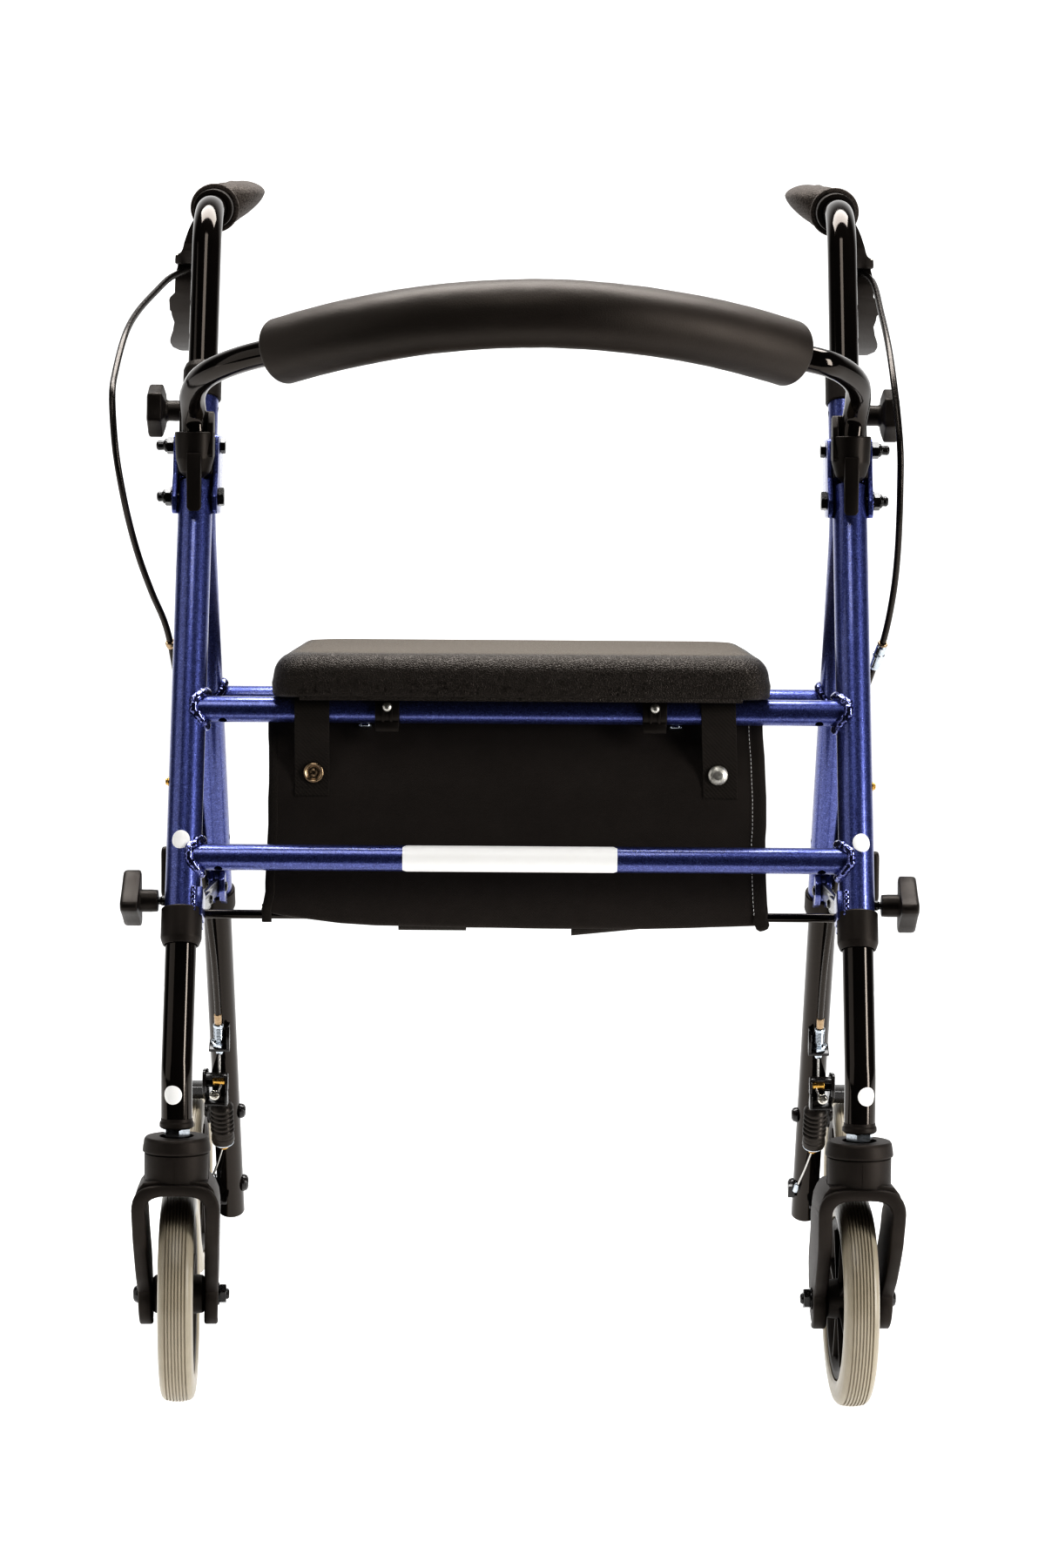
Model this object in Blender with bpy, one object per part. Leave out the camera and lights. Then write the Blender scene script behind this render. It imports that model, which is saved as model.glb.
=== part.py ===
# Rollator: a folding four-wheeled walking frame with seat, pouch, backrest bar and cable brakes.
#
# Metres, +Z up, the user faces -Y (the backrest side), +X is the user's left.
# Lengths along the frame are written as (x, v, h): v runs rearward from the caster stems and h is the
# height over the floor. The object's origin lies on the floor under the middle of its outer box.
#
# The rear frame carries the handles and the bracket plates. The front frame hangs on the lower bracket
# bolts and swings back under them when the rollator folds.

import math
from math import sin, cos, tan, pi, radians, degrees, sqrt, hypot, atan2, acos

import bpy
import bmesh
from mathutils import Matrix, Vector

# ---------------------------------------------------------------- driving dimensions (metres)
ORIGIN_V = 0.268            # v of the object's origin
TUBE_X = 0.242              # half distance between the side frames' planes

TUBE_OD, TUBE_ID = 0.0254, 0.0229      # main aluminium tube
INNER_OD, INNER_ID = 0.0222, 0.0186    # telescoping tube
CROSS_OD, CROSS_ID = 0.01905, 0.0160   # cross tubes

LEAN = math.atan(0.371)     # the front tube and the handle lean this far back from vertical
FOOT_H = 0.243              # height at which the front tube's line meets v = 0
HANDLE_BACK = 0.028         # the handle's line lies this far behind the front tube's line
REAR_V, REAR_H, REAR_SLOPE = 0.257, 0.497, 0.5806   # a point on the rear tube and its rearward slope

FRONT_LOW_H, FRONT_TOP_H = 0.342, 0.661
PIVOT_V, PIVOT_H = 0.1514, 0.651       # folding hinge
UPPER_V, UPPER_H = 0.174, 0.689        # upper bracket bolt
FOLD_DEG = 28.0

PLATE_IN, PLATE_OUT = 0.0130, 0.0167   # bracket plates, from the tube's plane
BEND_R = 0.060                         # main tube's bend
HANDLE_BEND_R = 0.050
GRIP_RISE = radians(6.5)

WHEEL_R, WHEEL_W = 0.077, 0.025
WHEEL_SEG = 24
RIM_SEG = 16
SEG = 14                    # sides of the main tubes
SEG_S = 10                  # sides of bolts and pins
TRAIL = 0.040
CASTER_TURN = radians(2.5)             # the casters are stored turned by this angle
CASTER_AXLE_H = 0.077
REAR_AXLE_T = (REAR_H - 0.077)         # drop from the rear cross tube to the axle
REAR_WHEEL_X = 0.2745
AXLE_END_X = 0.3060

SEAT_X, SEAT_V0, SEAT_V1, SEAT_H0, SEAT_H1 = 0.1805, 0.060, 0.380, 0.5072, 0.5400
SEAT_BAR = (0.092, 0.497)
LOWER_BAR = (0.053, 0.3925)
REAR_BAR = (0.257, 0.497)
ROD = (0.075, 0.349)                   # black cross rod and front pivot of the folding stay
STAY_END = (0.318, 0.345)              # rear pivot of the folding stay

BACK_BAR_R = 0.0095
PAD_R = 0.0240
GAP = 0.0003

# ---------------------------------------------------------------- frame helpers
UP_F = Vector((0.0, sin(LEAN), cos(LEAN)))          # up along the front tube
BACK_F = Vector((0.0, cos(LEAN), -sin(LEAN)))       # square to it, rearward
_n = hypot(REAR_SLOPE, 1.0)
DOWN_R = Vector((0.0, REAR_SLOPE / _n, -1.0 / _n))  # down along the rear tube
FORE_R = Vector((0.0, -1.0 / _n, -REAR_SLOPE / _n)) # square to it, forward


def P(x, v, h):
    return Vector((x, v - ORIGIN_V, h))


def front_v(h):
    return tan(LEAN) * (h - FOOT_H)


def handle_v(h):
    return front_v(h) + HANDLE_BACK


def rear_v(h):
    return REAR_V + (REAR_H - h) * REAR_SLOPE


def on_front(x, s, p=0.0):
    """Point s along the front tube's line from its foot, p behind it."""
    return P(x, 0.0, FOOT_H) + UP_F * s + BACK_F * p


def s_of(h):
    return (h - FOOT_H) / cos(LEAN)


def on_rear(x, t, p=0.0):
    """Point t down the rear tube's line from the rear cross tube, p in front of it."""
    return P(x, REAR_V, REAR_H) + DOWN_R * t + FORE_R * p


def t_of(h):
    return (REAR_H - h) * _n


def handle_s(h):
    return (h - FOOT_H) / cos(LEAN)


def on_handle(x, s, p=0.0):
    return P(x, HANDLE_BACK, FOOT_H) + UP_F * s + BACK_F * p


# ---------------------------------------------------------------- scene start
for old in list(bpy.data.objects):
    bpy.data.objects.remove(old, do_unlink=True)
scene = bpy.context.scene
shelf = scene.collection


def temp(bm, name="tmp"):
    bmesh.ops.recalc_face_normals(bm, faces=bm.faces[:])
    me = bpy.data.meshes.new(name)
    bm.to_mesh(me)
    bm.free()
    ob = bpy.data.objects.new(name, me)
    shelf.objects.link(ob)
    return ob


def boolean(a, others, op):
    for b in others:
        mod = a.modifiers.new("b", "BOOLEAN")
        mod.operation = op
        mod.solver = "EXACT"
        mod.object = b
    bpy.context.view_layer.update()
    deps = bpy.context.evaluated_depsgraph_get()
    me = bpy.data.meshes.new_from_object(a.evaluated_get(deps))
    a.modifiers.clear()
    old = a.data
    a.data = me
    bpy.data.meshes.remove(old)
    for b in others:
        bpy.data.objects.remove(b, do_unlink=True)
    return a


def join(a, *bs):
    return boolean(a, bs, "UNION")


def cut(a, *bs):
    return boolean(a, bs, "DIFFERENCE")


def meet(a, *bs):
    return boolean(a, bs, "INTERSECT")


# ---------------------------------------------------------------- shapes
def bend_path(points, radii, steps=6):
    """Polyline through points with its inner corners rounded to the given radii."""
    out = [points[0]]
    for i in range(1, len(points) - 1):
        a, b, c = points[i - 1], points[i], points[i + 1]
        u = (a - b).normalized()
        w = (c - b).normalized()
        turn = pi - u.angle(w)
        r = radii[i - 1]
        if turn < 1e-4 or r <= 0:
            out.append(b)
            continue
        t = r * tan(turn / 2)
        axis = u.cross(w).normalized()
        centre = b + (u + w).normalized() * (r / cos(turn / 2))
        start = b + u * t - centre
        for k in range(steps + 1):
            out.append(centre + Matrix.Rotation(-turn * k / steps, 3, axis) @ start
                       if (Matrix.Rotation(-turn, 3, axis) @ start - (b + w * t - centre)).length < 1e-6
                       else centre + Matrix.Rotation(turn * k / steps, 3, axis) @ start)
    out.append(points[-1])
    return out


def smooth_path(points, step):
    """Centripetal curve through the points, sampled about every step."""
    pts = [Vector(p) for p in points]
    ext = [pts[0] * 2 - pts[1]] + pts + [pts[-1] * 2 - pts[-2]]
    out = []
    for i in range(1, len(ext) - 2):
        p0, p1, p2, p3 = ext[i - 1:i + 3]
        t0 = 0.0
        t1 = t0 + max((p1 - p0).length, 1e-6) ** 0.5
        t2 = t1 + max((p2 - p1).length, 1e-6) ** 0.5
        t3 = t2 + max((p3 - p2).length, 1e-6) ** 0.5
        n = max(1, round((p2 - p1).length / step))
        for k in range(n):
            t = t1 + (t2 - t1) * k / n
            a1 = p0 * ((t1 - t) / (t1 - t0)) + p1 * ((t - t0) / (t1 - t0))
            a2 = p1 * ((t2 - t) / (t2 - t1)) + p2 * ((t - t1) / (t2 - t1))
            a3 = p2 * ((t3 - t) / (t3 - t2)) + p3 * ((t - t2) / (t3 - t2))
            b1 = a1 * ((t2 - t) / (t2 - t0)) + a2 * ((t - t0) / (t2 - t0))
            b2 = a2 * ((t3 - t) / (t3 - t1)) + a3 * ((t - t1) / (t3 - t1))
            out.append(b1 * ((t2 - t) / (t2 - t1)) + b2 * ((t - t1) / (t2 - t1)))
    out.append(pts[-1])
    return out


def rings(bm, path, radius, seg, side=Vector((1, 0, 0))):
    """Mitred rings of vertices along a path; radius is a number or one per point."""
    n = len(path)
    loops = []
    ref = None
    for i, p in enumerate(path):
        a = (path[i] - path[i - 1]).normalized() if i else None
        b = (path[i + 1] - path[i]).normalized() if i < n - 1 else None
        d = ((a or b) + (b or a)).normalized()
        half = (a.angle(b) / 2) if (a and b) else 0.0
        if ref is None:
            ref = side - d * side.dot(d)
            if ref.length < 1e-3:
                ref = Vector((0, 0, 1)) - d * d.z
        else:
            ref = ref - d * ref.dot(d)
        ref.normalize()
        other = d.cross(ref)
        stretch = None
        if half > 1e-4:
            m = (b - a)
            m = (m - d * m.dot(d)).normalized()
            stretch = (m, 1 / cos(half))
        r = radius[i] if isinstance(radius, (list, tuple)) else radius
        loop = []
        for k in range(seg):
            q = 2 * pi * k / seg
            off = ref * (r * cos(q)) + other * (r * sin(q))
            if stretch:
                off = off + stretch[0] * (off.dot(stretch[0]) * (stretch[1] - 1))
            loop.append(bm.verts.new(p + off))
        loops.append(loop)
    return loops


def skin(bm, la, lb):
    n = len(la)
    for k in range(n):
        bm.faces.new((la[k], la[(k + 1) % n], lb[(k + 1) % n], lb[k]))


def rod(path, r, seg=16, side=Vector((1, 0, 0))):
    bm = bmesh.new()
    ls = rings(bm, path, r, seg, side)
    for a, b in zip(ls, ls[1:]):
        skin(bm, a, b)
    bm.faces.new(list(reversed(ls[0])))
    bm.faces.new(ls[-1])
    return temp(bm)


def tube(path, ro, ri, seg=SEG, side=Vector((1, 0, 0))):
    bm = bmesh.new()
    outer = rings(bm, path, ro, seg, side)
    inner = rings(bm, path, ri, seg, side)
    for a, b in zip(outer, outer[1:]):
        skin(bm, a, b)
    for a, b in zip(inner, inner[1:]):
        skin(bm, b, a)
    skin(bm, inner[0], outer[0])
    skin(bm, outer[-1], inner[-1])
    return temp(bm)


def turned(profile, base, axis, seg=24, start=0.0, ref=Vector((1, 0, 0))):
    """Solid or ring turned from (radius, distance along axis) points; radius 0 closes it on the axis."""
    axis = Vector(axis).normalized()
    ref = ref - axis * ref.dot(axis)
    if ref.length < 1e-3:
        ref = Vector((0, 0, -1)) - axis * Vector((0, 0, -1)).dot(axis)
    ref.normalize()
    other = axis.cross(ref)
    bm = bmesh.new()
    loops = []
    for r, z in profile:
        if r < 1e-6:
            loops.append([bm.verts.new(base + axis * z)])
        else:
            loops.append([bm.verts.new(base + axis * z + ref * (r * cos(start + 2 * pi * k / seg))
                                       + other * (r * sin(start + 2 * pi * k / seg))) for k in range(seg)])
    closed = profile[0][0] > 1e-6 and profile[-1][0] > 1e-6
    pairs = list(zip(loops, loops[1:] + loops[:1])) if closed else list(zip(loops, loops[1:]))
    for a, b in pairs:
        if len(a) == 1 and len(b) == 1:
            continue
        for k in range(seg):
            j = (k + 1) % seg
            if len(a) == 1:
                bm.faces.new((a[0], b[j], b[k]))
            elif len(b) == 1:
                bm.faces.new((a[k], a[j], b[0]))
            else:
                bm.faces.new((a[k], a[j], b[j], b[k]))
    return temp(bm)


def pin(a, b, r, seg=12):
    return rod([a, b], r, seg, Vector((0, 0, 1)))


def plate(points, plane, lo, hi):
    """Prism over an outline. plane 'vh' runs along x, 'xh' along v, 'xv' along h."""
    def at(p, w):
        if plane == "vh":
            return P(w, p[0], p[1])
        if plane == "xh":
            return P(p[0], w, p[1])
        return P(p[0], p[1], w)
    bm = bmesh.new()
    a = [bm.verts.new(at(p, lo)) for p in points]
    b = [bm.verts.new(at(p, hi)) for p in points]
    skin(bm, a, b)
    bm.faces.new(list(reversed(a)))
    bm.faces.new(b)
    return temp(bm)


def block(origin, ax, ay, az, x0, x1, y0, y1, z0, z1):
    """Box along three axes from an origin."""
    bm = bmesh.new()
    v = [[[bm.verts.new(origin + ax * x + ay * y + az * z) for z in (z0, z1)] for y in (y0, y1)] for x in (x0, x1)]
    for f in ((v[0][0][0], v[0][0][1], v[0][1][1], v[0][1][0]),
              (v[1][0][0], v[1][1][0], v[1][1][1], v[1][0][1]),
              (v[0][0][0], v[1][0][0], v[1][0][1], v[0][0][1]),
              (v[0][1][0], v[0][1][1], v[1][1][1], v[1][1][0]),
              (v[0][0][0], v[0][1][0], v[1][1][0], v[1][0][0]),
              (v[0][0][1], v[1][0][1], v[1][1][1], v[0][1][1])):
        bm.faces.new(f)
    return temp(bm)


def box(x0, x1, v0, v1, h0, h1):
    return block(P(0, 0, 0), Vector((1, 0, 0)), Vector((0, 1, 0)), Vector((0, 0, 1)), x0, x1, v0, v1, h0, h1)


def rounded(points, radius, steps=3):
    """Outline with every corner rounded."""
    out = []
    n = len(points)
    for i in range(n):
        a, b, c = (Vector(points[i - 1]), Vector(points[i]), Vector(points[(i + 1) % n]))
        r = radius[i] if isinstance(radius, (list, tuple)) else radius
        if r <= 0:
            out.append(tuple(b))
            continue
        u, w = (a - b).normalized(), (c - b).normalized()
        ang = u.angle(w)
        t = min(r / tan(ang / 2), 0.45 * (a - b).length, 0.45 * (c - b).length)
        r = t * tan(ang / 2)
        centre = b + (u + w).normalized() * (r / sin(ang / 2))
        s, e = b + u * t - centre, b + w * t - centre
        a0 = atan2(s.y, s.x)
        d = atan2(e.y, e.x) - a0
        d = (d + pi) % (2 * pi) - pi
        for k in range(steps + 1):
            q = a0 + d * k / steps
            out.append((centre.x + r * cos(q), centre.y + r * sin(q)))
    return out


def ring_points(cv, ch, r, seg):
    return [(cv + r * cos(2 * pi * k / seg), ch + r * sin(2 * pi * k / seg)) for k in range(seg)]


def stadium(a, b, r, steps=5):
    """Outline with round ends from a to b."""
    d = atan2(b[1] - a[1], b[0] - a[0])
    out = []
    for k in range(steps + 1):
        q = d - pi / 2 + pi * k / steps
        out.append((b[0] + r * cos(q), b[1] + r * sin(q)))
    for k in range(steps + 1):
        q = d + pi / 2 + pi * k / steps
        out.append((a[0] + r * cos(q), a[1] + r * sin(q)))
    return out


# ---------------------------------------------------------------- finishes
LOOK = {
    "blue": ((0.035, 0.045, 0.36), 0.30, 0.75),
    "gloss_black": ((0.012, 0.011, 0.011), 0.16, 0.0),
    "black_plastic": ((0.020, 0.019, 0.019), 0.50, 0.0),
    "soft_black": ((0.030, 0.026, 0.024), 0.75, 0.0),
    "foam": ((0.024, 0.021, 0.020), 0.60, 0.0),
    "cloth": ((0.012, 0.012, 0.014), 0.85, 0.0),
    "tyre": ((0.33, 0.31, 0.28), 0.70, 0.0),
    "black_steel": ((0.020, 0.018, 0.018), 0.30, 0.3),
    "cable": ((0.012, 0.012, 0.012), 0.35, 0.0),
    "zinc": ((0.70, 0.72, 0.75), 0.30, 1.0),
}


def finish(name, look):
    colour, rough, metal = LOOK[look]
    mat = bpy.data.materials.new(name + "_finish")
    mat.use_nodes = True
    shader = next(n for n in mat.node_tree.nodes if n.type == "BSDF_PRINCIPLED")
    shader.inputs["Base Color"].default_value = (*colour, 1.0)
    shader.inputs["Roughness"].default_value = rough
    shader.inputs["Metallic"].default_value = metal
    mat.diffuse_color = (*colour, 1.0)
    return mat


AXES = {}


def axis_empty(name, at, parent=None):
    e = bpy.data.objects.new(name, None)
    e.empty_display_size = 0.02
    e.location = at
    shelf.objects.link(e)
    if parent:
        e.parent = AXES[parent]
        e.location = at - WORLD[parent]
    AXES[name] = e
    WORLD[name] = at.copy()
    return e


WORLD = {}


def keep(ob, name, look, side=1, parent=None, angle=40):
    """Name a finished piece, mirror it to its side, weld it clean and hang it on its joint's axis."""
    me = ob.data
    bm = bmesh.new()
    bm.from_mesh(me)
    if side < 0:
        bmesh.ops.scale(bm, vec=(-1, 1, 1), verts=bm.verts[:])
        bmesh.ops.reverse_faces(bm, faces=bm.faces[:])
    bmesh.ops.remove_doubles(bm, verts=bm.verts[:], dist=1e-6)
    bmesh.ops.dissolve_degenerate(bm, edges=bm.edges[:], dist=1e-6)
    if parent:
        bmesh.ops.translate(bm, vec=-WORLD[parent], verts=bm.verts[:])
    bm.to_mesh(me)
    bm.free()
    me.materials.clear()
    me.materials.append(finish(name, look))
    me.shade_smooth()
    me.set_sharp_from_angle(angle=radians(angle))
    ob.name = name
    me.name = name
    if parent:
        ob.parent = AXES[parent]
    return ob


# ---------------------------------------------------------------- pieces built for one side
def rear_line_path():
    top = on_handle(TUBE_X, handle_s(0.7375))
    vert = P(TUBE_X, handle_v(0.6386), 0.6386)
    low = on_rear(TUBE_X, t_of(0.335))
    return top, vert, low


def make_rear_tube():
    """Handle receiver and rear tube in one bend, with hinge plates, stay bracket and end bush."""
    top, vert, low = rear_line_path()
    path = bend_path([top, vert, low], [BEND_R], 5)
    body = rod(path, TUBE_OD / 2, SEG)
    outline = rounded([(0.142, 0.6385), (0.180, 0.6385), (0.196, 0.660), (0.202, 0.697), (0.158, 0.697),
                       (0.1505, 0.668), (0.139, 0.651)], 0.004, 1)
    parts = []
    for a, b in ((-PLATE_OUT, -PLATE_IN), (PLATE_IN, PLATE_OUT)):
        parts.append(plate(outline, "vh", TUBE_X + a, TUBE_X + b))
    for a, b in ((-PLATE_IN - 0.0006, -0.0112), (0.0112, PLATE_IN + 0.0006)):
        parts.append(block(on_handle(TUBE_X, handle_s(0.655)), Vector((1, 0, 0)), BACK_F, UP_F,
                           a, b, -0.0045, 0.0045, 0.0, 0.038))
    # bush round the lower end
    parts.append(rod([on_rear(TUBE_X, t_of(0.3405)), on_rear(TUBE_X, t_of(0.3235))], 0.0149, SEG))
    # stay bracket: two ears on the tube's front and the pivot pin between them
    ear = [(STAY_END[0] - 0.0065, STAY_END[1] - 0.004), (STAY_END[0] - 0.0065, STAY_END[1] + 0.0065),
           (STAY_END[0] + 0.004, STAY_END[1] + 0.0110), (STAY_END[0] + 0.0165, STAY_END[1] + 0.0105),
           (STAY_END[0] + 0.028, STAY_END[1] - 0.010), (STAY_END[0] + 0.026, STAY_END[1] - 0.0165),
           (STAY_END[0] + 0.004, STAY_END[1] - 0.012)]
    parts.append(plate(ear, "vh", 0.2413, 0.2452))
    parts.append(plate(ear, "vh", 0.2325, 0.2372))
    parts.append(pin(P(0.2330, *STAY_END), P(0.2446, *STAY_END), 0.0025, SEG_S))
    body = join(body, *parts)
    # bore of the tube, right through
    d0 = (path[0] - path[1]).normalized()
    d1 = (path[-1] - path[-2]).normalized()
    bore = [path[0] + d0 * 0.004] + path[1:-1] + [on_rear(TUBE_X, t_of(0.3180))]
    bore_cut = rod(bore, TUBE_ID / 2, SEG)
    holes = [bore_cut,
             pin(P(TUBE_X - 0.03, PIVOT_V, PIVOT_H), P(TUBE_X + 0.03, PIVOT_V, PIVOT_H), 0.0043, 12),
             pin(P(TUBE_X - 0.03, UPPER_V, UPPER_H), P(TUBE_X + 0.03, UPPER_V, UPPER_H), 0.0033, SEG_S),
             pin(on_handle(TUBE_X + 0.005, handle_s(0.7155)), on_handle(TUBE_X + 0.03, handle_s(0.7155)), 0.0033, SEG_S),
             pin(on_rear(TUBE_X + 0.005, t_of(0.355)), on_rear(TUBE_X + 0.03, t_of(0.355)), 0.0033, SEG_S)]
    return cut(body, *holes)


def make_front_tube():
    body = rod([on_front(TUBE_X, s_of(FRONT_LOW_H)), on_front(TUBE_X, s_of(FRONT_TOP_H))], TUBE_OD / 2, SEG)
    lug = block(on_front(0, 0.1255), Vector((1, 0, 0)), BACK_F, UP_F, 0.2296, 0.2396, 0.0030, 0.0410, -0.0105, 0.0105)
    body = join(body, lug)
    slot = block(on_front(0, 0.1255), Vector((1, 0, 0)), BACK_F, UP_F, 0.2337, 0.2376, 0.0160, 0.0450, -0.0140, 0.0140)
    return cut(body, slot,
               rod([on_front(TUBE_X, s_of(FRONT_LOW_H) - 0.01), on_front(TUBE_X, s_of(FRONT_TOP_H) + 0.01)], TUBE_ID / 2, SEG),
               pin(P(TUBE_X - 0.03, PIVOT_V, PIVOT_H), P(TUBE_X + 0.03, PIVOT_V, PIVOT_H), 0.0043, 12),
               pin(on_front(TUBE_X + 0.005, s_of(0.3615)), on_front(TUBE_X + 0.03, s_of(0.3615)), 0.0033, SEG_S),
               pin(P(0.225, *ROD), P(0.245, *ROD), 0.0028, SEG_S))


def bush(base, axis, length, r_out, r_tube, r_inner, step):
    """Tube-end bush: takes the outer tube to a shelf at step and lets the inner tube pass beyond it."""
    return turned([(r_out, 0.0012), (r_out - 0.0010, 0.0), (r_tube, 0.0), (r_tube, step), (r_inner, step),
                   (r_inner, length), (r_out - 0.0014, length), (r_out, length - 0.0016)], base, axis, SEG)


def make_handle_collar():
    s0 = handle_s(0.724)
    return bush(on_handle(TUBE_X, s0), UP_F, handle_s(0.7500) - s0, 0.0145, 0.0130, 0.01145,
                handle_s(0.7375) - s0 + 0.0004)


def make_front_collar():
    s_top = s_of(0.356)
    c = bush(on_front(TUBE_X, s_top), -UP_F, s_top - s_of(0.3306), 0.0147, 0.0130, 0.01145,
             s_top - s_of(FRONT_LOW_H) + 0.0004)
    relief = block(on_front(0, 0.1255), Vector((1, 0, 0)), BACK_F, UP_F, 0.2220, 0.2402, 0.0020, 0.0300, -0.0111, 0.0300)
    return cut(c, relief)


def make_pivot_bolt():
    """Hinge bolt with hex head, plain nut and acorn nut."""
    base = P(0, PIVOT_V, PIVOT_H)
    ax = Vector((1, 0, 0))
    b = turned([(0.0, 0.2205), (0.0070, 0.2205), (0.0070, 0.2250), (0.0040, 0.2250), (0.0040, 0.2660), (0.0, 0.2660)],
               base, ax, SEG_S)
    nut = turned([(0.0, 0.2590), (0.0072, 0.2590), (0.0072, 0.2640), (0.0062, 0.2646), (0.0058, 0.2672),
                  (0.0, 0.2700)], base, ax, SEG_S)
    return join(b, nut)


def make_socket():
    """Backrest socket: cup for the bar's end, block between the plates, hanging tongue, and its bolt."""
    body = plate(rounded([(0.1275, 0.667), (0.1485, 0.667), (0.1485, 0.698), (0.1275, 0.698)], 0.003, 2), "vh", 0.2274, 0.2555)
    rear = plate([(0.1450, 0.668), (0.1690, 0.668), (0.1765, 0.688), (0.1785, 0.6972), (0.1450, 0.6972)], "vh",
                 TUBE_X - 0.0126, TUBE_X + 0.0126)
    back = plate(rounded([(0.1430, 0.690), (0.1560, 0.690), (0.1560, 0.714), (0.1475, 0.714)], 0.0015, 2), "vh",
                 TUBE_X - 0.0115, TUBE_X + 0.0115)
    inner = plate(rounded([(0.1300, 0.690), (0.1500, 0.690), (0.1500, 0.712), (0.1400, 0.7135)], 0.002, 2), "vh", 0.2274, 0.2325)
    tongue = plate(rounded([(0.2357, 0.6690), (0.2465, 0.6690), (0.2465, 0.6430), (0.2440, 0.6405), (0.2382, 0.6405),
                            (0.2357, 0.6430)], 0.001, 1), "xh", 0.1245, 0.1312)
    tongue_root = plate([(0.1245, 0.664), (0.1312, 0.664), (0.1400, 0.6700), (0.1400, 0.6760), (0.1280, 0.6760), (0.1245, 0.6700)],
                        "vh", 0.2357, 0.2465)
    # bolt through the plates and the block
    base = P(0, UPPER_V, UPPER_H)
    ax = Vector((1, 0, 0))
    bolt = turned([(0.0, 0.2212), (0.0056, 0.2212), (0.0056, 0.2250), (0.0030, 0.2250), (0.0030, 0.2590), (0.0062, 0.2590),
                   (0.0062, 0.2640), (0.0054, 0.2645), (0.0050, 0.2700), (0.0, 0.2732)], base, ax, SEG_S)
    body = join(body, rear, back, inner, tongue, tongue_root, bolt)
    return cut(body, rod([P(TUBE_X, 0.140, 0.6695), P(TUBE_X, 0.140, 0.735)], BACK_BAR_R + 0.0004, SEG))


def make_front_leg():
    """Telescoping leg bent upright at its foot, closed by a plug that carries the caster stem."""
    path = bend_path([on_front(TUBE_X, s_of(0.524)), on_front(TUBE_X, 0.0), P(TUBE_X, 0.0, 0.2055)], [0.040], 2)
    leg = tube(path, INNER_OD / 2, INNER_ID / 2, SEG)
    stem = turned([(0.0, 0.0), (0.0045, 0.0), (0.0045, 0.0280), (0.0092, 0.0280), (0.0092, 0.0355), (0.0098, 0.0355),
                   (0.0098, 0.0450), (0.0, 0.0450)], P(TUBE_X, 0.0, 0.1702), Vector((0, 0, 1)), SEG_S)
    return join(leg, stem)


def caster_place(ob, side):
    """Turn a caster piece about its stem."""
    m = (Matrix.Translation(P(TUBE_X, 0, 0)) @ Matrix.Rotation(CASTER_TURN * side, 4, "Z"))
    ob.data.transform(m)
    return ob


def local_plate(points, plane, lo, hi):
    """Prism in the caster's own frame: x across, v back from the stem, h up."""
    ob = plate(points, plane, lo, hi)
    ob.data.transform(Matrix.Translation((0, ORIGIN_V, 0)))
    return ob


def make_fork():
    arch = [(-0.0302, 0.138), (-0.0295, 0.148), (-0.0262, 0.1580), (-0.0222, 0.1640), (0.0222, 0.1640), (0.0262, 0.1580),
            (0.0295, 0.148), (0.0302, 0.138), (0.0222, 0.138), (0.0214, 0.1490), (0.0182, 0.1560), (-0.0182, 0.1560),
            (-0.0214, 0.1490), (-0.0222, 0.138)]
    body = local_plate(arch, "xh", -0.0185, 0.0300)
    leg_out = [(-0.0170, 0.1470), (-0.0165, 0.1250), (0.0005, 0.0940), (0.0190, 0.0770)]
    outline = [(-0.0178, 0.1480), (-0.0150, 0.1250), (0.0060, 0.0960)]
    for k in range(6):
        q = radians(165) + radians(210) * k / 5
        outline.append((TRAIL + 0.0185 * cos(q), CASTER_AXLE_H + 0.0205 * sin(q)))
    outline += [(0.0560, 0.1050), (0.0400, 0.1300), (0.0290, 0.1480)]
    parts = []
    for sgn in (-1, 1):
        leg = local_plate(outline, "vh", 0.0, 1.0)
        me = leg.data
        for vert in me.vertices:
            h = vert.co.z
            inner = 0.0195 + 0.0430 * (h - 0.077)
            outer = 0.0275 + 0.0400 * (h - 0.077)
            vert.co.x = sgn * (outer if vert.co.x > 0.5 else inner)
        parts.append(leg)
    hub = turned([(0.0, 0.1585), (0.0222, 0.1585), (0.0225, 0.1855), (0.0230, 0.1870), (0.0230, 0.1885), (0.0222, 0.1900),
                  (0.0210, 0.1975), (0.0, 0.1975)], Vector((0, 0, 0)), Vector((0, 0, 1)), 20)
    body = join(body, hub, *parts)
    return cut(body,
               turned([(0.0, 0.1662), (0.0049, 0.1662), (0.0049, 0.1955), (0.0120, 0.1955), (0.0120, 0.2050), (0.0, 0.2050)],
                      Vector((0, 0, 0)), Vector((0, 0, 1)), 12),
               pin(Vector((-0.05, TRAIL, CASTER_AXLE_H)), Vector((0.05, TRAIL, CASTER_AXLE_H)), 0.0043, 12))


def make_caster_axle():
    """Axle bolt: head outside, nut inside."""
    base = Vector((0, TRAIL, CASTER_AXLE_H))
    return turned([(0.0, 0.0330), (0.0050, 0.0326), (0.0066, 0.0306), (0.0066, 0.0279), (0.0040, 0.0279), (0.0040, -0.0279),
                   (0.0070, -0.0279), (0.0070, -0.0335), (0.0040, -0.0340), (0.0036, -0.0366), (0.0, -0.0366)][::-1],
                  base, Vector((1, 0, 0)), SEG_S)


def rim_profile(w_hub):
    return [(0.0044, w_hub), (0.0140, w_hub), (0.0155, 0.0040), (0.0530, 0.0100), (0.0583, 0.0105),
            (0.0583, -0.0105), (0.0530, -0.0100), (0.0155, -0.0040), (0.0140, -w_hub), (0.0044, -w_hub)]


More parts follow.
